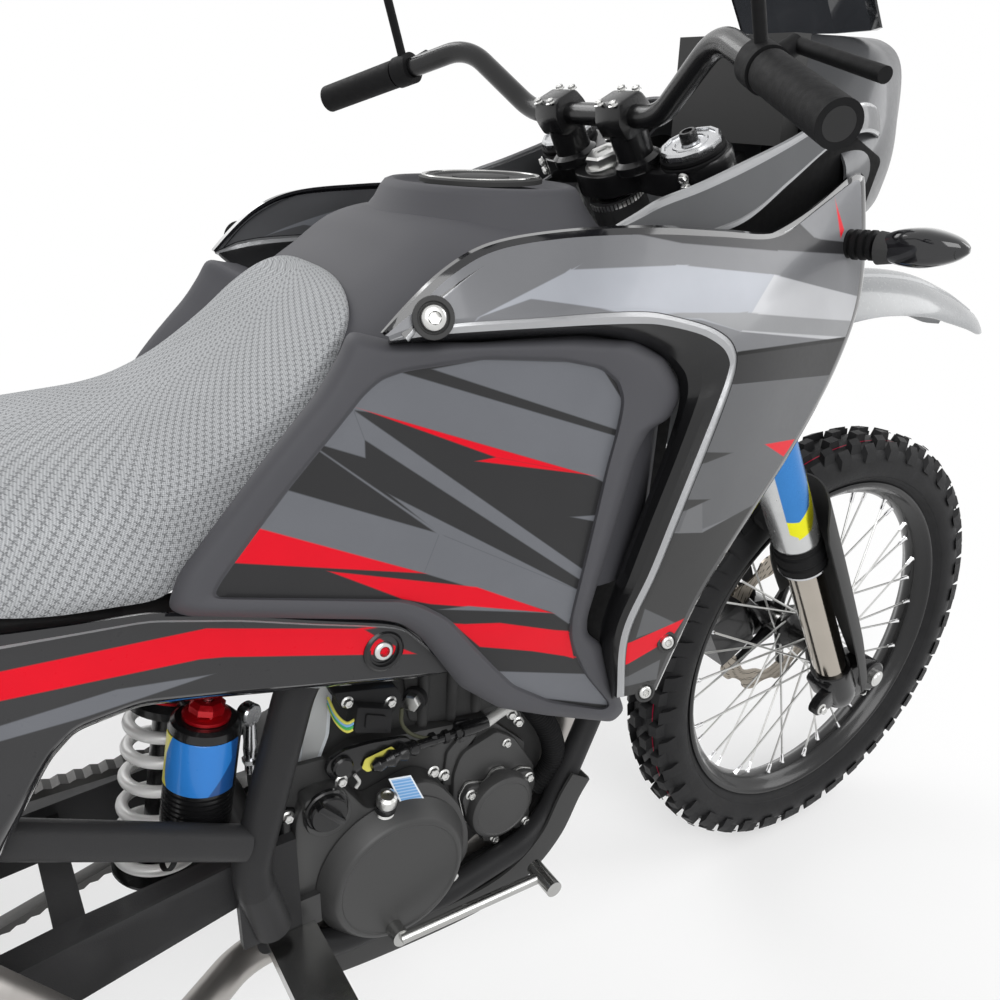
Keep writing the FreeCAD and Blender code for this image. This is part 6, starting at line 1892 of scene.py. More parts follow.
FORK_BLUE, FORK_YELLOW = srgb("3f83c8"), srgb("f2ee28")
FORK_DECAL = Pattern("fork_decal", srgb("cfd0d0"), 0.25, 0.85, mottle=0.05, relief=Relief.NONE, patches=(
    Patch(FORK_BLUE, ((-27, 372), (-14, 366), (4, 368), (27, 400), (27, 580), (-27, 580))),
    Patch(FORK_YELLOW, ((-27, 384), (-27, 362), (-14, 351), (-6, 366), (-10, 378))),
    Patch(FORK_YELLOW, ((-16, 376), (-18, 350), (2, 356), (16, 376), (10, 394))),
    Patch(FORK_YELLOW, ((8, 392), (12, 370), (27, 400), (27, 436), (20, 420))),
    Patch(srgb("1a1a1c"), ((-27, 468), (-18, 486), (2, 536), (27, 610), (-27, 610))),
))


@dataclass(frozen=True)
class Fork:
    """Outer tubes with caps and decals, stanchions, axle feet and guards, in the steering frame."""

    ahead: float = MACHINE.clamp_offset * 1000
    side: float = -MACHINE.leg_half_spacing * 1000
    bottom: float = 278.0
    top: float = 862.0
    tube_form: Line = ((44, 20), (46, 29.5), (48, 30.6), (52, 31.0), (120, 31.0), (200, 31.0), (282, 31.0),
                       (296, 30.4), (326, 28.2), (343, 27.2), (470, 27.0), (584, 27.0), (584, 0.0))
    guard_turn_deg: tuple[float, float] = (8, 192)
    guard_top: float = 395.0
    guard_reach: float = 49.0
    guard_wall: float = 0.0024
    seal_form: Line = ((24.3, 4), (31.5, 4), (32.5, 6), (32.5, 14), (31.2, 16), (31.2, 19), (32.8, 21),
                       (32.8, 34), (31.0, 36), (31.0, 40), (32.0, 41.5), (32.0, 45), (30.5, 46.5),
                       (29.5, 46.5))
    cap_rim_form: Line = ((20, 0), (29.5, 0), (30.4, 2.0), (30.4, 7.0), (28.6, 9.2), (25.6, 9.4), (25.0, 6))
    cap_form: Line = ((0, 0), (26, 0), (26, 7.6), (18, 7.2), (17.2, 8.4), (15, 8.6), (14.2, 7.4), (9.5, 7.2),
                      (9.5, 9), (0, 9))
    foot_form: Line = ((24.5, 60), (27.5, 60), (28.8, 58), (28.8, 12), (27, -2), (22, -14), (0, -18))
    axle_lug: Line = ((-4, 52), (50, 56), (84, 34), (104, 8), (103, -12), (88, -25), (66, -24), (40, -14),
                      (4, 0))
    caliper_eye: Line = ((-20, 44), (-34, 36), (-36, 24), (-24, 16), (0, 14), (4, 44))
    caliper_ear: Line = ((-66, 52), (-20, 60), (6, 40), (26, 40), (26, 108), (0, 110), (-52, 106))

    def build(self) -> None:
        """Makes the fork's pieces."""
        self.tubes()
        self.legs()
        self.guards()

    def tubes(self) -> None:
        """Makes the silver tubes with their decals, seals and caps."""
        draft = Draft("fork_outer_tubes")
        x, y, low, high = self.ahead, self.side, self.bottom, self.top
        angle = np.radians(np.linspace(-180, 180, 73))
        levels, radius = np.array(self.tube_form).T
        levels = levels + low
        around = np.stack([np.sin(angle), -np.cos(angle)], axis=1)
        skin = np.concatenate([around[None] * radius[:, None, None] + np.array([x, y]),
                               np.broadcast_to(levels[:, None, None], (len(levels), len(angle), 1))],
                               axis=2) * MM
        chart = np.stack(np.broadcast_arrays(np.degrees(angle)[None] * math.pi / 180 * 31.0, levels[:, None]),
                         axis=2) * MM
        draft.grid(skin, 0, chart=chart)
        draft.lathe(self.seal_form, (x, y, low), UP, 1, 56)
        draft.lathe([(24.3, 0), (32.4, 0), (33.2, 1.2), (32.4, 3.4), (24.3, 3.6)], (x, y, low), UP, 2, 56)
        for reach, foot in ((32.6, -9), (31.8, -3.6)):
            draft.lathe([(27.5, foot), (reach, foot), (reach + 0.4, foot + 0.8), (reach + 0.4, foot + 3.6),
                         (reach - 0.4, foot + 4.6), (27.5, foot + 4.8)], (x, y, high), UP, 1, 64)
        draft.lathe(self.cap_rim_form, (x, y, high), UP, 2, 12)
        draft.lathe(self.cap_form, (x, y, high), UP, 2, 48)
        draft.lathe([(8.6, 8), (8.6, 17.5), (7.6, 19), (5.2, 19.2), (5.0, 17), (0, 17)], (x, y, high), UP, 3,
                    28)
        draft.mirrored()
        draft.finish("steering", (FORK_DECAL, FINISHES["rubber"], FINISHES["silver"],
                                  FINISHES["satin_black"]), ("fork_tubes",), within=STEER, sharp_deg=27)

    def legs(self) -> None:
        """Makes the stanchions, the black axle feet with their bolts, and the axle."""
        draft = Draft("fork_stanchions")
        x, y = self.ahead, self.side
        draft.lathe([(24.0, 30), (24.0, self.bottom + 20)], (x, y, 0), UP, 0, 56)
        draft.lathe(self.foot_form, (x, y, 0), UP, 1, 40)
        draft.plate([(u + x - self.ahead, v) for u, v in self.axle_lug], y - 20, y + 20, 1, radius=10, edge=3)
        axle = (MACHINE.axle_lead + MACHINE.clamp_offset) * 1000
        draft.lathe([(0, -26), (20, -26), (23, -24), (23, 22), (0, 22)], (axle, y, 0), LEFT, 1, 40)
        draft.lathe([(0, -33.5), (8, -33.5), (9.5, -32), (12.4, -32), (12.4, -26)], (axle, y, 0), LEFT, 2, 24)
        for u, v in ((62, -19), (84, -20)):
            draft.bolt((u, y - 16, v - 6), (0, -0.25, -1), 8, 2)
        draft.plate(self.caliper_eye, y - 22, y - 8, 1, radius=8, edge=2)
        draft.bolt((-24, y - 22, 30), RIGHT, 12, 2)
        spacer = MACHINE.leg_half_spacing * 1000 - 20
        draft.rod([(axle, -spacer, 0), (axle, -49.5, 0)], 16.5, 2, 28, 3, bent=False)
        draft.mirrored()
        draft.rod([(axle, -52, 0), (axle, 52, 0)], 12.4, 2, 24, 3, bent=False)
        draft.plate(self.caliper_ear, 98, 84, 1, radius=8, edge=2)
        draft.finish("steering", coats("stanchion", "satin_black", "zinc"), ("fork_legs",),
                     within=STEER, sharp_deg=32)

    def guards(self) -> None:
        """Makes the guards: an open hoop in front of each leg, round-topped above the seal."""
        draft = Draft("fork_guard_shells")
        first, last = self.guard_turn_deg
        degrees = np.linspace(first, last, 33)
        turn, share = np.radians(degrees), (degrees - first) / (last - first)
        rise = np.linspace(0, 1, 41)
        crown = 60 * (1 - np.sqrt(np.clip(1 - (2 * share - 1) ** 2, 0,
                                          1))) + 70 * smoothstep((share - 0.55) * 3)
        low = 26 + 24 * share + 150 * smoothstep((share - 0.48) * 6)
        levels = low[None] + (self.guard_top - crown[None] - low[None]) * rise[:, None]
        reach = self.guard_reach - 5 * smoothstep((120 - levels) / 110) + 1.5 * np.sin(np.pi * rise)[:, None]
        grid = np.stack([self.ahead + reach * np.sin(turn)[None] * 1.02,
                         self.side - reach * np.cos(turn)[None], levels], axis=2) * MM
        draft.shell(grid, self.guard_wall, 0)
        draft.mirrored()
        draft.finish("steering", coats("black_plastic"), ("fork_guards",), within=STEER, sharp_deg=50)


@dataclass(frozen=True)
class Clamps:
    """The two triple clamps with their pinch bolts, stem nut, handlebar risers and bar clamps."""

    upper: tuple[float, float] = (832.0, 857.0)
    lower: tuple[float, float] = (640.0, 680.0)
    collar_form: Line = ((25, 0), (29, 0), (30, 2), (30, 8), (27, 10), (21, 10))
    nut_form: Line = ((0, 0), (23, 0), (23, 2.2), (21, 3), (18.5, 3))
    riser_outline: Line = ((-17, 34), (17, 34), (21, 50), (21, 56), (14, 72), (-14, 72), (-21, 56), (-21, 50))

    def _outline(self, reach: float) -> list[tuple[float, float]]:
        """A clamp's outline from above: two eyes and a waisted bridge, drawn ahead of the stem.

        Args:
            reach: the width, as a share.

        Returns:
            The outline's corners, in millimetres.
        """
        rows = [(-30, 0), (-28, -24), (-6, -48), (-10, -78), (-8, -104), (8, -128), (29, -140), (52, -134),
                (66, -112), (64, -84), (46, -62), (34, -30), (34, 0)]
        rows = [(x, y * reach) for x, y in rows]
        return rows + [(x, -y) for x, y in reversed(rows[1:-1])]

    def build(self) -> None:
        """Makes the clamps' pieces."""
        draft = Draft("steering_clamps")
        low, high = self.upper
        draft.plate(self._outline(1.0), high - 1, low, 0, radius=9, edge=3, flat="xy")
        draft.plate(self._outline(1.0), self.lower[1], self.lower[0], 0, radius=9, edge=4, flat="xy")
        draft.lathe([(15, low), (15, self.lower[0])], (0, 0, 0), UP, 0, 32)
        draft.lathe(self.collar_form, (0, 0, 825 - 11), UP, 1, 48)
        draft.lathe([(15, 0), (25.9, 0), (25.9, 14.8), (15, 14.8)], (0, 0, 690), UP, 0, 40)
        draft.lathe([(15, 0), (25.9, 0), (25.9, 14.8), (15, 14.8)], (0, 0, 809), UP, 0, 40)
        draft.lathe(self.nut_form, (0, 0, high - 1), UP, 1, 40)
        draft.lathe([(19.5, 2), (19.5, 10.5), (17.5, 13), (11, 13), (10.2, 11), (7, 10.5), (0, 11.5)],
                    (0, 0, high), UP, 1, 6)
        for side in (-1, 1):
            y = side * 52
            draft.lathe([(19, 0), (23, 0), (24, 2), (24, 9), (20, 12), (17, 14), (17, 36), (19, 40)],
                        (0, y, high - 1), UP, 0, 36)
            draft.plate([(u, v + high) for u, v in self.riser_outline], y - 19, y, 0, radius=6, edge=2)
            draft.plate([(u, v + high) for u, v in self.riser_outline], y + 19, y, 0, radius=6, edge=2)
            for u in (-15, 15):
                for v in (-11, 11):
                    draft.bolt((u, y + v, high + 70), UP, 7, 1)
            for level in (low + 8, low + 18, self.lower[0] + 12, self.lower[0] + 28):
                draft.bolt((-2, side * 118, level), (-1, side * 0.35, 0), 8, 1)
        draft.finish("steering", coats("satin_black", "zinc"), ("triple_clamps",), within=STEER,
                     sharp_deg=30)


# Rear suspension
@dataclass(frozen=True)
class Shock:
    """The rear shock: white coil, body, cups and the reservoir with its knob and blank decal."""

    foot: Point = (-292.5, 0.0, 342.0)
    head: Point = (-237.0, 0.0, 630.0)
    can: Point = (-258.0, -82.0, 486.0)
    turns: float = 6.0
    coil_radius: float = 40.0
    wire_radius: float = 0.0062
    body_form: Line = ((0, 6), (16, 6), (16, 20), (8, 24), (8, 34), (40, 36), (46, 38), (46, 41), (18, 41.5),
                       (18, 230), (46, 236), (46, 244), (40, 250), (36, 266), (24, 272), (22, 284), (0, 286))
    link_path: Line = ((-190, -62, 574), (-193, -64, 548), (-196, -66, 508))

    def build(self) -> None:
        """Makes the shock's pieces."""
        run = np.subtract(self.head, self.foot)
        length = float(np.linalg.norm(run))
        way = run / length
        self.coil(way, length)
        draft = Draft("rear_shock_body")
        draft.lathe(self.body_form, self.foot, way, 0, 48)
        for level in (250, 255, 260):
            draft.lathe([(38, 0), (41, 0.6), (41, 2.6), (38, 3.2)], self.foot + way * level, way, 1, 48)
        self.reservoir(draft, way)
        draft.rod([self.can + way * 96, self.can + way * 104 + np.array([0, 30, 8]), self.foot + way * 256],
                  15, 0, 24, 20)
        draft.rod(self.link_path, (5.5, 5.5, 6.5, 7.5, 6.2, 6.2), 2, 16, 24)
        draft.lathe([(0, -7), (10, -7), (11.5, -5), (11.5, 5), (10, 7), (0, 7)], (-192, -62, 573),
                    (0.5, -1, 0), 2, 28)
        draft.lathe([(4, 0), (8, 0), (8, 5), (4, 5)], (-196, -66, 520), (-0.05, 0, 1), 2, 6)
        draft.finish("chassis", (FINISHES["satin_black"], FINISHES["anodised_red"], FINISHES["silver"],
                                 RESERVOIR_DECAL), ("rear_shock",), sharp_deg=30)

    def coil(self, way: Array, length: float) -> None:
        """Makes the coil: a wire on a helix, its end turns closed up and ground.

        Args:
            way: the shock's direction.
            length: its length, in millimetres.
        """
        share = np.linspace(0, 1, 420)
        low, high = length * 0.145 + 6, length * 0.80 - 6
        level = low + (high - low) * (share + 0.028 * np.sin(2 * np.pi * share) * -1)
        side, up = frames_along(np.stack([self.foot, self.foot + way * length]))
        turn = 2 * np.pi * self.turns * share
        ring = side[0] * np.cos(turn)[:, None] + up[0] * np.sin(turn)[:, None]
        path = (self.foot + way * level[:, None] + ring * self.coil_radius) * MM
        draft = Draft("shock_coil")
        draft.grid(tube(path, self.wire_radius, 14), 0, wrap=True, caps=True)
        draft.finish("chassis", coats("spring_white"), ("shock_spring",), sharp_deg=50)

    def reservoir(self, draft: Draft, way: Array) -> None:
        """Adds the reservoir: ribs near its foot, a plain decal round it, red ends and a faceted knob.

        Args:
            draft: the shock's body.
            way: the shock's direction.
        """
        ribs = []
        for k in range(6):
            ribs += [(33, 15 + k * 5.2), (33, 18 + k * 5.2), (31.4, 18.6 + k * 5.2), (31.4, 19.8 + k * 5.2)]
        form = [(0, 2), (28, 2), (32.4, 4), (33, 6)] + ribs + [(33, 47), (33, 106), (31.5, 112), (28, 115),
                                                               (0, 116)]
        draft.lathe(form, self.can, way, 0, 56)
        draft.lathe([(0, -4), (22, -4), (24, -2), (24, 3), (0, 3)], self.can, way, 1, 40)
        angle = np.radians(np.linspace(-70, 70, 41))
        out = np.array([-0.45, -0.89, 0.0])
        out -= way * (out @ way)
        out /= np.linalg.norm(out)
        across = np.cross(way, out)
        levels = np.array([50.0, 50.4, 76, 100, 103.6, 104])
        reach = np.array([33.0, 33.35, 33.35, 33.35, 33.35, 33.0])
        ring = out * np.cos(angle)[:, None] + across * np.sin(angle)[:, None]
        skin = self.can + way * levels[:, None, None] + ring[None] * reach[:, None, None]
        chart = np.stack(np.broadcast_arrays((angle * 33)[None], levels[:, None]), axis=2)
        draft.shell(skin * MM, 0.0006, 3, chart=chart * MM)
        base = self.can + way * 114
        draft.lathe([(0, 0), (20, 0), (22, 2), (22, 5), (18, 7), (12, 7)], base, way, 1, 40)
        draft.lathe([(12, 7), (17, 9), (17, 15), (13, 19), (7, 19.5), (6, 18), (0, 18)], base, way, 1, 8)
        draft.lathe([(5, 18), (5, 21), (0, 21.5)], base, way, 2, 20)


RESERVOIR_DECAL = Pattern("reservoir_decal", srgb("2f7fd0"), 0.3, mottle=0.03, relief=Relief.NONE, coat=0.4,
                          patches=(
    Patch(srgb("1f4f8c"), ((12, 48), (50, 48), (50, 106), (30, 106), (34, 84))),
    Patch(srgb("e9e04a"), ((-42, 48), (-28, 48), (-34, 60), (-34, 84), (-26, 106), (-42, 106))),
))


# Engine
@dataclass(frozen=True)
class EngineBay:
    """What shows beside the engine: covers, bolts, clutch cable, hose, plugs, sensor and labels."""

    clutch_foot: Line = ((-170, 330), (-174, 400), (-168, 462), (-152, 492), (-118, 488), (-106, 468),
                         (-88, 440), (-57, 447), (-26, 453), (-3, 437), (20, 402), (34, 360), (34, 322),
                         (12, 296), (-40, 288), (-110, 294))
    filler_neck: Line = ((-161, 491), (-119, 490), (-112, 468), (-112, 450), (-122, 438), (-144, 436),
                         (-160, 450))
    filler_grip: Line = ((-155.5, 490.5), (-148.5, 494.5), (-124.5, 466.5), (-131.5, 462.5))
    cover_lug: Line = ((-24, 336), (2, 332), (10, 318), (4, 312), (-20, 318))
    cable_bracket: Line = ((-190, 398), (-170, 396), (-164, 470), (-176, 474), (-184, 440))
    pump_flange: Line = ((30, 392), (40, 408), (54, 404), (66, 398), (76, 412), (92, 410), (98, 397),
                         (116, 400), (132, 392), (134, 372), (126, 352), (128, 326), (112, 312), (92, 322),
                         (76, 308), (60, 316), (56, 336), (38, 352))
    upper_casting: Line = ((26, 420), (33, 440), (41, 449), (83, 461), (108, 442), (138, 391), (138, 330),
                           (60, 322), (24, 352))
    cable_tape: Line = ((-96, 500), (-92, 510), (-62, 514), (-56, 505), (-60, 496), (-90, 493))
    clutch_lever: Line = ((-134, 508), (-130, 520), (-114, 527), (-84, 525), (-44, 517), (-36, 508),
                          (-44, 500), (-92, 498), (-108, 490), (-124, 491))
    cable_stay: Line = ((22, 502), (44, 498), (46, 478), (30, 470), (20, 480))

    def build(self) -> None:
        """Makes the pieces, from the covers outwards."""
        self.clutch_side()
        self.pump_side()
        self.cable()
        self.sensor()
        self.hose()
        self.labels()
        self.inner_panels()

    def clutch_side(self) -> None:
        """Makes the clutch cover with its filler neck, the threaded plug and the bolts round it."""
        draft = Draft("clutch_cover_casting")
        draft.plate(self.clutch_foot, -106, -76, 0, radius=12, edge=4)
        draft.lathe([(89, -6), (89, 2), (85, 8), (76.5, 21), (74, 23.6), (71.5, 24.6), (69.5, 24.6),
                     (68, 23.4), (0, 23.4)], (-64, -106, 353), RIGHT, 0, 96)
        draft.plate(self.filler_neck, -116, -98, 0, radius=7, edge=3)
        draft.lathe([(23, -2), (23, 2), (21.4, 3.6), (20, 3.6), (20, 9), (18.4, 11), (0, 11)],
                    (-139, -116, 472), RIGHT, 1, 48)
        draft.plate(self.filler_grip, -136, -124, 1, radius=3, edge=2)
        draft.plate(self.cover_lug, -127, -118, 2, radius=3, edge=2)
        plug = [(0, -3), (14.5, -3), (14.5, 0), (12.5, 1.5), (9.6, 2)]
        for k in range(4):
            plug += [(9.8, 3 + k * 3), (10.8, 4.2 + k * 3), (9.8, 5.4 + k * 3)]
        base, lean = (-73, -108, 427), (0, -0.30, 1)
        draft.lathe(plug, base, lean, 2, 32)
        draft.lathe([(10.4, 15), (11.6, 16), (11.6, 24), (10.6, 25)], base, lean, 1, 32)
        draft.lathe([(10.6, 25), (11.2, 26), (11.2, 34), (10.2, 36.5), (7, 38.5), (5.2, 38.6), (5, 37),
                     (0, 37)], base, lean, 2, 32)
        for head in ((-179, -98, 406), (-173, -98, 464), (-118, -106, 492), (-8, -97, 452), (5, -97, 442)):
            draft.bolt(head, (0, -1, 0.05), 9.5, 2)
        draft.plate(self.cable_bracket, -98, -92, 1, radius=3, edge=1)
        draft.finish("chassis", coats("engine_black", "satin_black", "zinc"), ("clutch_cover",),
                     sharp_deg=28)

    def pump_side(self) -> None:
        """Makes the small round cover on its wavy flange, and the casting above it."""
        draft = Draft("pump_cover_casting")
        draft.plate(self.pump_flange, -87, -84, 1, radius=5, edge=0.6)
        outline = inset(np.array(self.pump_flange, float), 1.1)
        draft.plate(outline, -94, -87, 0, radius=5, edge=2.2)
        draft.lathe([(43, -2), (43, 5), (40.5, 10.5), (36.5, 13), (35, 13.2), (34, 12.4), (0, 12.4)],
                    (80, -94, 368), RIGHT, 0, 72)
        for head in ((42, -94, 396), (122, -94, 388), (76, -94, 316), (120, -94, 322)):
            draft.bolt(head, (0, -1, 0.05), 9, 1)
        draft.plate(self.upper_casting, -83, -60, 0, radius=6, edge=3.5)
        draft.plate(inset(np.array(self.upper_casting, float), -1.2), -60, -58, 1, radius=6, edge=0.5)
        draft.plate(inset(np.array(self.upper_casting, float), -1.0), -58, -40, 0, radius=6, edge=0.5)
        draft.plate(((14, 408), (20, 452), (40, 470), (62, 462), (40, 440), (32, 400)), -78, -50, 0, radius=5,
                    edge=3)
        for head in ((108, -74, 470), (118, -74, 456)):
            draft.rod([(head[0] + 6, head[1] + 14, head[2] - 2), head], 5.5, 0, 12, 3, bent=False)
            draft.bolt(head, (-0.35, -1, 0.1), 9, 1)
        draft.bolt((96, -83, 440), (0, -1, 0.05), 8, 1)
        draft.finish("chassis", coats("engine_black", "zinc"), sharp_deg=28)

    def cable(self) -> None:
        """Makes the clutch cable's end with its adjuster, bellows and lever."""
        draft = Draft("clutch_cable_end")
        draft.rod([(150, -80, 530), (128, -86, 508), (109, -91, 499), (83, -93, 496), (58, -95, 489)],
                  (5.6, 5.6, 6.2), 2, 20, 40)
        draft.rod([(60, -95, 490), (44, -96, 491), (27, -97, 492)], (7.2, 8.0, 8.0, 7.0), 1, 24, 12)
        draft.rod([(29, -97, 492), (0, -100, 495), (-32, -104, 500)], 5.2, 1, 20, 12)
        for x, z in ((20, 493), (6, 494), (-10, 496.5)):
            draft.lathe([(5, -3), (7.6, -3), (7.6, 3), (5, 3)], (x, -99, z), (1, 0.02, -0.08), 1, 6)
        draft.rod([(-30, -104, 500), (-56, -113, 505), (-88, -116, 503)], (5, 9, 6, 9.5, 6, 9.5, 6, 8, 4), 1,
                  24, 60)
        draft.plate(self.cable_tape, -109, -108, 3, radius=2, edge=0.3)
        draft.plate(self.clutch_lever, -106, -101, 1, radius=6, edge=1.2)
        draft.plate(self.cable_stay, -92, -88, 1, radius=4, edge=1)
        draft.lathe([(0, 0), (11, 0), (11, 6), (9, 8), (0, 8)], (-117, -106, 512), RIGHT, 1, 28)
        draft.rod([(-104, -108, 495), (-100, -110, 486), (-104, -110, 480)], 2, 2, 8, 10)
        draft.finish("chassis", coats("engine_black", "satin_black", "cable_silver", "tape_yellow"),
                     sharp_deg=30)

    def sensor(self) -> None:
        """Makes the throttle sensor, its plug and wires, the hose fitting and the thin line below it."""
        draft = Draft("throttle_sensor")
        draft.plate(((-116, 588), (-46, 572), (-42, 556), (-50, 541), (-92, 558), (-110, 570)), -92, -62, 0,
                    radius=5, edge=2)
        draft.plate(((-96, 572), (-58, 556), (-60, 526), (-101, 542)), -104, -84, 0, radius=4, edge=2)
        draft.plate(((-88, 562), (-66, 552), (-67, 536), (-90, 545)), -107, -103, 0, radius=3, edge=1)
        for head in ((-102, -92, 573), (-55, -92, 557)):
            draft.bolt(head, RIGHT, 9, 1)
        for k, slot in enumerate((3, 4, 5, 3)):
            lift = k * 3.4
            draft.rod([(-98, -100, 545 + lift), (-106, -97, 542 + lift), (-113, -88, 550 + lift),
                       (-115, -74, 562 + lift)], 1.5, slot, 8, 20)
        draft.lathe([(0, 0), (12.5, 0), (13, 1), (13, 9), (12, 10), (0, 10)], (-18, -80, 543),
                    (-0.75, -0.6, 0.1), 0, 28)
        draft.lathe([(0, 9), (9.8, 9), (9.8, 17), (8.4, 18.5), (0, 18.5)], (-18, -80, 543),
                    (-0.75, -0.6, 0.1), 1, 6)
        draft.rod([(-42, -92, 544), (-44, -96, 528), (-34, -98, 512), (-14, -98, 499), (6, -96, 493)], 2.2, 6,
                  10, 40)
        draft.finish("chassis", coats("connector", "zinc", "satin_black", "tape_yellow", "wire_green",
                                      "label_blue", "hose_olive"), sharp_deg=30)

    def hose(self) -> None:
        """Makes the ribbed hose in front of the cylinder: a radius that waves along its run."""
        draft = Draft("ribbed_hose")
        path = curve(np.array([(118, -78, 508), (133, -80, 476), (150, -82, 448), (161, -83, 421),
                               (165, -83, 394), (158, -80, 370), (146, -74, 350)], float) * MM, 320)
        run = steps_of(path)
        draft.grid(tube(path, 0.0135 + 0.0011 * np.sin(2 * np.pi * run / 0.0042), 22), 0, wrap=True,
                   caps=True)
        draft.finish("chassis", coats("rubber"), sharp_deg=60)

    def labels(self) -> None:
        """Makes the two blank warning plates: pale border, blue field with plain bars."""
        draft = Draft("blank_labels")
        u, v = np.meshgrid(np.linspace(0, 1, 4), np.linspace(0, 1, 4), indexing="ij")
        shares = ((1 - u) * (1 - v), (1 - u) * v, u * v, u * (1 - v))
        chart = np.stack([v * 0.026, u * 0.050], axis=2)
        for corners in (((-66, -107.2, 473), (-40, -107.2, 467), (-20, -111, 417), (-49, -111, 423)),
                        ((-66, -84, 592), (-36, -84, 586), (-40, -84, 574), (-68, -84, 580))):
            places = np.array(corners, float) * MM
            grid = sum(share[..., None] * place for share, place in zip(shares, places))
            draft.shell(grid, 0.0006, 0, chart=chart)
        draft.finish("chassis", (BLANK_LABEL,))

    def inner_panels(self) -> None:
        """Makes the dark blocks behind the throttle body and the engine, partly the air box and partly
        painted shade, the pale panel and the gusset beside it.
        """
        draft = Draft("air_box_and_painted_shade_panels")
        # a dark block across the machine behind the throttle body: partly the air box, partly painted shade
        draft.plate(((-150, 560), (-150, 700), (-60, 760), (140, 760), (168, 640), (160, 500), (60, 470),
                     (-60, 470), (-118, 486)), -60, 60, 0, radius=14, edge=5)
        for x in (-2, 34, 66, 94):
            draft.rod([(x, -62, 600), (x - 1, -66, 540), (x - 2, -62, 486)], 6.5, 0, 16, 20)
        draft.plate(((-30, 612), (118, 600), (120, 478), (20, 486), (-20, 500)), -64, -58, 0, radius=8,
                    edge=2)
        draft.plate(((-170, 640), (-98, 640), (-112, 520), (-128, 482), (-152, 488), (-146, 540)), -66, -58,
                    1, radius=5, edge=2)
        draft.plate(((-160, 632), (-104, 632), (-117, 522), (-131, 490), (-145, 494), (-139, 540)), -67.5,
                    -66, 2, radius=5, edge=0.6)
        draft.plate(((-176, 520), (-128, 515), (-124, 490), (-104, 458), (-150, 452), (-186, 486)), -94, -88,
                    0, radius=5, edge=1.5)
        # a dark block across the machine behind the engine, painted shade filling the gap
        draft.plate(((-150, 300), (-160, 470), (-60, 480), (120, 470), (170, 420), (160, 330), (60, 290)),
                    -58, 58, 0, radius=12, edge=4)
        draft.finish("chassis", coats("black_plastic", "label_white", "pale_grey"), sharp_deg=30)


@dataclass(frozen=True)
class BlankLabel(Finish):
    """A plain label: a pale border round a blue field with pale bars; its edges' places are in metres."""

    left: tuple[float, float] = (0.0018, 0.0020)
    right: tuple[float, float] = (0.0240, 0.0242)
    top: tuple[float, float] = (0.0020, 0.0022)
    foot: tuple[float, float] = (0.0478, 0.0480)
    bar_pitch: float = 0.0042

    def colour_of(self, nodes: Nodes) -> object:
        """Blue within the border, paler on even bars across it."""
        split = nodes.split(nodes.chart("flow"))
        across, down = split.outputs[0], split.outputs[1]
        left = nodes.ramp(across, *self.left)
        right = nodes.ramp(across, *self.right, 1.0, 0.0)
        top = nodes.ramp(down, *self.top)
        foot = nodes.ramp(down, *self.foot, 1.0, 0.0)
        inside = nodes.times(nodes.times(left, right), nodes.times(top, foot))
        bars = nodes.ramp(nodes.math("FRACT", nodes.math("DIVIDE", down, self.bar_pitch)), 0.55, 0.62)
        middle = nodes.blend(nodes.times(bars, 0.5), srgb("6fa3d8"), srgb("c9ddf0"))
        return nodes.blend(inside, self.colour, middle)


BLANK_LABEL = BlankLabel("blank_label", srgb("e8eef4"), 0.35, mottle=0.02, relief=Relief.NONE, coat=0.2)


@dataclass(frozen=True)
class SkidPlate:
    """The plate under the engine: a shallow trough with turned-up sides, rising to the front."""

    section: Line = ((-118, 36), (-118, 10), (-117, 4), (-112, 0), (-60, 0), (-58, 2.5), (58, 2.5), (60, 0),
                     (112, 0), (117, 4), (118, 10), (118, 36))
    wall: float = 0.0035
    line: Line = ((-190, 258), (-120, 244), (0, 238), (70, 244), (120, 266), (158, 303), (182, 350),
                  (196, 371))

    def build(self) -> None:
        """Makes the plate with its three pairs of bolts."""
        path = curve(self.line, 60) * MM
        way = directions(path)
        inward = np.stack([-way[:, 1], way[:, 0]], axis=1)
        across, lift = np.array(self.section, float).T * MM
        place = path[:, None] + inward[:, None] * lift[None, :, None]
        grid = np.stack([place[..., 0], np.broadcast_to(across, place.shape[:2]), place[..., 1]], axis=2)
        draft = Draft("skid_plate_trough")
        draft.shell(grid, self.wall, 0)
        for side in (-1, 1):
            for k in (6, 30, 52):
                draft.bolt((path[k, 0] * 1000, side * 90, path[k, 1] * 1000 - 3), (0, 0, -1), 10, 1)
        draft.finish("chassis", coats("black_plastic", "zinc"), ("skid_plate",), sharp_deg=30)


class FrameFittings:
    """The rubber tie round the right brace of the frame."""

    def build(self) -> None:
        """Makes the tie and its head."""
        draft = Draft("frame_fittings")
        draft.lathe([(17.2, -2.5), (18.6, -2.5), (18.6, 2.5), (17.2, 2.5)], (-291, -123, 500),
                    (-0.93, 0, 0.42), 0, 32)
        draft.plate(((-294, 519), (-286, 519), (-285, 527), (-293, 527)), -128, -118, 0, radius=1, edge=0.6)
        draft.finish("chassis", coats("rubber"), sharp_deg=40)


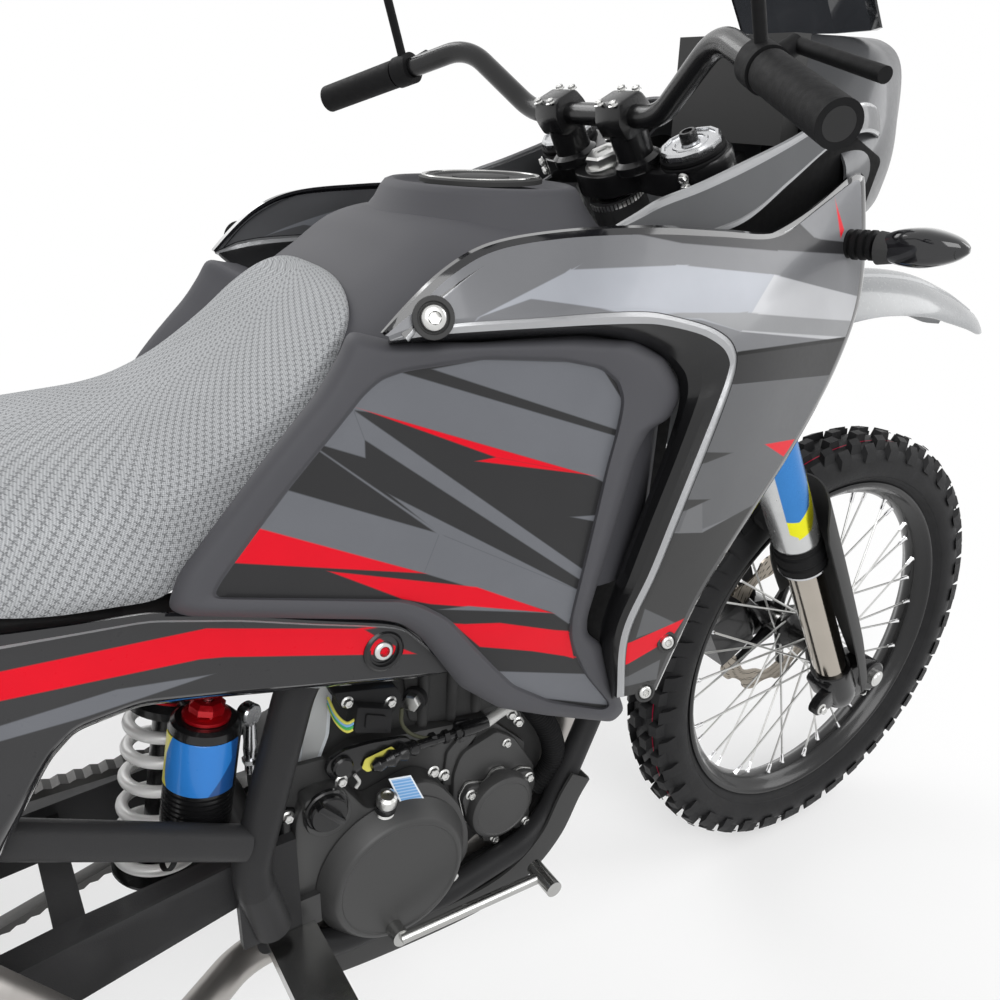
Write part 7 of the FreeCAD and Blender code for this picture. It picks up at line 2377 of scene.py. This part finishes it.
# Nose
@dataclass(frozen=True)
class NoseCowl:
    """The bodywork round the headlight, with its two side bands, the dark panels of painted shade in its
    openings, the bowl and the lens.
    """

    band: tuple[Line, ...] = (
        # Foot and top of the right band at each station: x, y, z
        ((138, -170, 1012), (138, -166, 1030)), ((160, -171, 1008), (160, -167, 1040)),
        ((184, -172, 1006), (184, -168, 1051)), ((230, -174, 1014), (230, -169, 1064)),
        ((285, -175, 1028), (285, -168, 1082)), ((337, -175, 1061), (337, -168, 1100)),
        ((390, -175, 1095), (390, -167, 1121)), ((440, -168, 1106), (440, -160, 1134)),
        ((486, -150, 1102), (486, -142, 1130)), ((515, -126, 1094), (515, -120, 1120)))
    band_form: Line = ((0.0, 0.004), (0.02, 0.0005), (0.10, 0.0), (0.14, -0.0015), (0.5, -0.002),
                       (0.86, -0.0015), (0.90, 0.0), (0.98, 0.0005), (1.0, 0.004))
    lens_rings: Line = ((1.0, 0.5925), (1.0, 0.598), (0.94, 0.6015), (0.70, 0.6035), (0.3, 0.604),
                        (0.0, 0.604))
    lens_back: Line = ((0.001, 0.600), (0.9, 0.599), (0.985, 0.5925))
    bowl_rings: Line = ((0.99, 0.592), (0.95, 0.570), (0.90, 0.548), (0.5, 0.540), (0.001, 0.539))
    lamp_levels: tuple[float, float] = (1.060, 1.130)
    shell_rings: tuple[tuple[float, Line], ...] = (
        # Half section of the cowl: x, then (y, z) from the top's middle to the foot's middle
        (430,
         ((0, 1124), (70, 1120), (124, 1106), (160, 1075), (158, 1035), (132, 1000), (60, 992), (0, 990))),
        (470,
         ((0, 1160), (70, 1155), (120, 1135), (152, 1085), (150, 1040), (122, 1004), (58, 994), (0, 992))),
        (520,
         ((0, 1200), (66, 1192), (110, 1166), (134, 1100), (131, 1048), (106, 1008), (52, 998), (0, 996))),
        (560,
         ((0, 1204), (60, 1197), (97, 1170), (114, 1105), (111, 1056), (91, 1015), (46, 1003), (0, 1001))),
        (590, ((0, 1204), (54, 1198), (84, 1172), (92, 1110), (90, 1062), (76, 1020), (40, 1009), (0, 1007))))
    reflector_form: Line = ((0.0, -0.004), (0.012, 0.000), (0.024, 0.008), (0.031, 0.020), (0.033, 0.028),
                            (0.036, 0.028), (0.034, 0.016), (0.025, 0.002), (0.0, -0.008))
    lens_outline: Line = ((0, 1166), (46, 1162), (70, 1140), (75, 1085), (70, 1040), (50, 1022), (0, 1018))

    def build(self) -> None:
        """Makes the cowl's pieces."""
        draft = Draft("nose_cowl_shell")
        rows = []
        for x, half in self.shell_rings:
            right = [(x, -y, z) for y, z in half]
            left = [(x, y, z) for y, z in reversed(half[1:-1])]
            rows.append(right + left)
        rings = lattice(np.array(rows, float) * MM, 40, 113)
        closed = np.concatenate([rings, rings[:, :1]], axis=1)
        draft.shell(closed[:, ::-1], 0.003, 0)
        band = curve([sum(pair, ()) for pair in self.band], 90) * MM
        foot, top = band[:, :3], band[:, 3:]
        shares, bulge = np.array(self.band_form).T
        grid = foot[:, None] + (top - foot)[:, None] * shares[None, :, None]
        grid[..., 1] += bulge[None, :]
        # the band's silver edges carry a painted highlight
        for flip in (1, -1):
            side = grid * np.array([1, flip, 1])
            draft.shell(side if flip > 0 else side[:, ::-1], 0.003, np.array([1, 1, 1, 0, 0, 1, 1, 1]))
        draft.finish("chassis", coats("cowl_grey", "edge_silver_and_painted_highlight"), ("nose_cowl",), sharp_deg=30)
        # a near-black plate in the cowl's opening, painted shade
        dark = Draft("cowl_opening_painted_shade_panel")
        dark.plate(((190, 985), (470, 1000), (496, 1080), (440, 1106), (392, 1096), (350, 1075), (285, 1040),
                    (200, 1020)), -152, -148, 0, radius=8, edge=1)
        dark.mirrored()
        dark.finish("chassis", coats("painted_shade_black"))
        self.lamp()

    def lamp(self) -> None:
        """Makes the headlight: a dark bowl, a bright reflector and a clear lens."""
        lens = Draft("headlight_lens")
        for rings in (self.lens_rings, self.lens_back):
            lens.grid(np.stack([self._rim(x, share) for share, x in rings]), 0, wrap=True)
        lens.finish("chassis", coats("clear_lens"), ("headlight",), sharp_deg=35)
        bowl = Draft("headlight_bowl")
        bowl.grid(np.stack([self._rim(x, share) for share, x in self.bowl_rings]), 0, wrap=True)
        for z in self.lamp_levels:
            bowl.grid(turned(self.reflector_form, (0.552, 0, z), AHEAD, 40), 1, wrap=True)
        bowl.finish("chassis", coats("satin_black", "chrome"), sharp_deg=35)

    def _rim(self, x: float, share: float) -> Array:
        """The lens' outline at a place ahead, drawn in towards its middle.

        Args:
            x: the place ahead, in metres.
            share: the outline's size, 1 for the whole.

        Returns:
            The outline's points.
        """
        loop = [(-y, z) for y, z in self.lens_outline] + [(y, z) for y,
                                                          z in reversed(self.lens_outline[1:-1])]
        line = curve(loop + loop[:1], 65)[:-1] * MM
        middle = np.array([0.0, 1.092])
        line = middle + (line - middle) * share
        return np.concatenate([np.full((len(line), 1), x), line], axis=1)


# Studio
@dataclass(frozen=True)
class Studio:
    """The camera at the photograph's place, the pale floor and the soft light."""

    floor_colour: Colour = srgb("f4f4f4")
    shadow_share: float = 0.55
    floor_reach: float = 14.0
    fade: tuple[float, float] = (0.8, 2.2)
    world_light: float = 0.55
    lamps: tuple[tuple[str, Point, Point, float, float], ...] = (
        # Name, place, what it faces, width in metres and power in watts
        ("key_light", (-1.2, -3.6, 4.2), (0, 0, 0.6), 3.2, 135),
        ("front_light", (4.2, -1.2, 3.0), (0.2, 0, 0.7), 2.6, 65),
        ("left_light", (-1.0, 4.2, 3.2), (0, 0, 0.7), 3.0, 90))

    def camera(self) -> None:
        """Places the camera, laid over with the machine."""
        data = bpy.data.cameras.new("camera")
        data.sensor_fit = "HORIZONTAL"
        data.sensor_width = 36.0
        data.lens = 36.0 * EYE.focal_share
        data.clip_start = 0.02
        thing = bpy.data.objects.new("camera", data)
        bpy.context.scene.collection.objects.link(thing)
        basis = EYE.basis() @ PARK.turn.T
        matrix = Matrix(basis.T.tolist()).to_4x4()
        matrix.translation = Vector(PARK(np.array(EYE.place)).tolist())
        thing.matrix_world = matrix
        bpy.context.scene.camera = thing

    def floor(self) -> None:
        """Lays the floor, which the lights see pale and the camera sees white with the machine's shadow.

        Formula: to the camera the floor is a mix of its lit shade, by the shadow's share, and plain white;
        by 2.2 m from the middle it is all plain white, so no edge or horizon shows.
        """
        mesh = bpy.data.meshes.new("studio_floor")
        reach = self.floor_reach
        mesh.from_pydata([(-reach, -reach, 0), (reach, -reach, 0), (reach, reach, 0), (-reach, reach, 0)], [],
                         [(0, 1, 2, 3)])
        floor = bpy.data.objects.new("studio_floor", mesh)
        bpy.context.scene.collection.objects.link(floor)
        nodes = Nodes("studio_floor")
        place = nodes.place()
        tone = nodes.blend(nodes.noise(place, 0.8, 2.0), self.floor_colour, self.floor_colour)
        nodes.feed(nodes.shader, "Base Color", tone)
        nodes.shader.inputs["Roughness"].default_value = 0.9
        nodes.shader.inputs["Specular IOR Level"].default_value = 0.0
        length = nodes.add("ShaderNodeVectorMath", {"operation": "LENGTH"}, _0=place).outputs["Value"]
        share = nodes.ramp(length, *self.fade, self.shadow_share, 0.0)
        seen = nodes.seen()
        white = nodes.add("ShaderNodeEmission", None, Color=(1.0, 1.0, 1.0, 1.0), Strength=1.0)
        mixed = nodes.add("ShaderNodeMixShader", None, _0=share, _1=white.outputs[0],
                          _2=nodes.shader.outputs[0])
        both = nodes.add("ShaderNodeMixShader", None, _0=seen.outputs[0], _1=nodes.shader.outputs[0],
                         _2=mixed.outputs[0])
        nodes.feed(nodes.tree.nodes["Material Output"], "Surface", both.outputs[0])
        mesh.materials.append(nodes.material)

    def lamp(self, name: str, place: Sequence[float], aim: Sequence[float], size: float,
             power: float) -> None:
        """Adds a square lamp that faces a point.

        Args:
            name: its name.
            place: where it stands.
            aim: the point it faces.
            size: its width, in metres.
            power: its power, in watts.
        """
        data = bpy.data.lights.new(name, "AREA")
        data.shape = "SQUARE"
        data.size = size
        data.energy = power
        thing = bpy.data.objects.new(name, data)
        thing.location = place
        thing.rotation_euler = (Vector(aim) - Vector(place)).to_track_quat("-Z", "Y").to_euler()
        bpy.context.scene.collection.objects.link(thing)

    def world(self) -> None:
        """Plain light all round, and white where the camera, gloss and glass look past the floor."""
        world = bpy.data.worlds.new("studio_world")
        world.use_nodes = True
        nodes = Tree(world.node_tree)
        backdrop = nodes.tree.nodes["Background"]
        nodes.feed(backdrop, 0, (1.0, 1.0, 1.0, 1.0))
        nodes.feed(backdrop, 1, nodes.ramp(nodes.seen(), 0.0, 1.0, self.world_light, 1.0))
        bpy.context.scene.world = world

    def build(self) -> None:
        """Sets up the studio."""
        bpy.context.scene.view_settings.view_transform = "Standard"
        self.camera()
        self.world()
        self.floor()
        for lamp in self.lamps:
            self.lamp(*lamp)


# The CAD nodes' finishes
NODE_FINISHES = {"triple_clamps": "satin_black", "fork_legs": "chrome", "fork_guards": "black_plastic",
                 "handlebar": "satin_black", "hand_controls": "rubber", "front_caliper": "satin_black",
                 "side_stand": "frame_black", "main_frame": "frame_black", "subframe": "frame_black",
                 "engine": "engine_black", "cylinder_head": "engine_black", "clutch_cover": "engine_black",
                 "generator_cover": "engine_black", "exhaust": "exhaust_steel", "radiators": "cast_silver",
                 "skid_plate": "black_plastic", "nose_cowl": "cowl_grey", "headlight": "clear_lens",
                 "windscreen": "smoked_screen", "dashboard": "black_plastic", "rear_fender": "black_plastic",
                 "tail_light": "red_lens", "turn_signals": "black_plastic", "foot_controls": "steel",
                 "swingarm": "frame_black", "rear_shock": "satin_black", "shock_spring": "spring_white",
                 "rear_caliper": "satin_black", "chain": "chain_black", "rear_sprocket": "steel", }


def dress_nodes() -> None:
    """Gives each CAD node its finish."""
    for name, node in frame["nodes"].items():
        finish = FINISHES[NODE_FINISHES.get(name, "black_plastic")]
        node.data.materials.clear()
        node.data.materials.append(finish.material())


def main() -> None:
    """Builds the scene."""
    logging.basicConfig(level=logging.INFO, format="%(message)s")
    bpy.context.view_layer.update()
    Studio().build()
    dress_nodes()
    FuelTank().build()
    SideFairing().build()
    Seat().build()
    SidePanel().build()
    for sizes in (FRONT_WHEEL, REAR_WHEEL):
        Wheel(sizes).build()
    Beak().build()
    Indicator().build()
    NoseCowl().build()
    Fork().build()
    Clamps().build()
    Shock().build()
    EngineBay().build()
    FrameFittings().build()
    SkidPlate().build()
    bpy.context.view_layer.update()


if __name__ == "__main__":
    main()
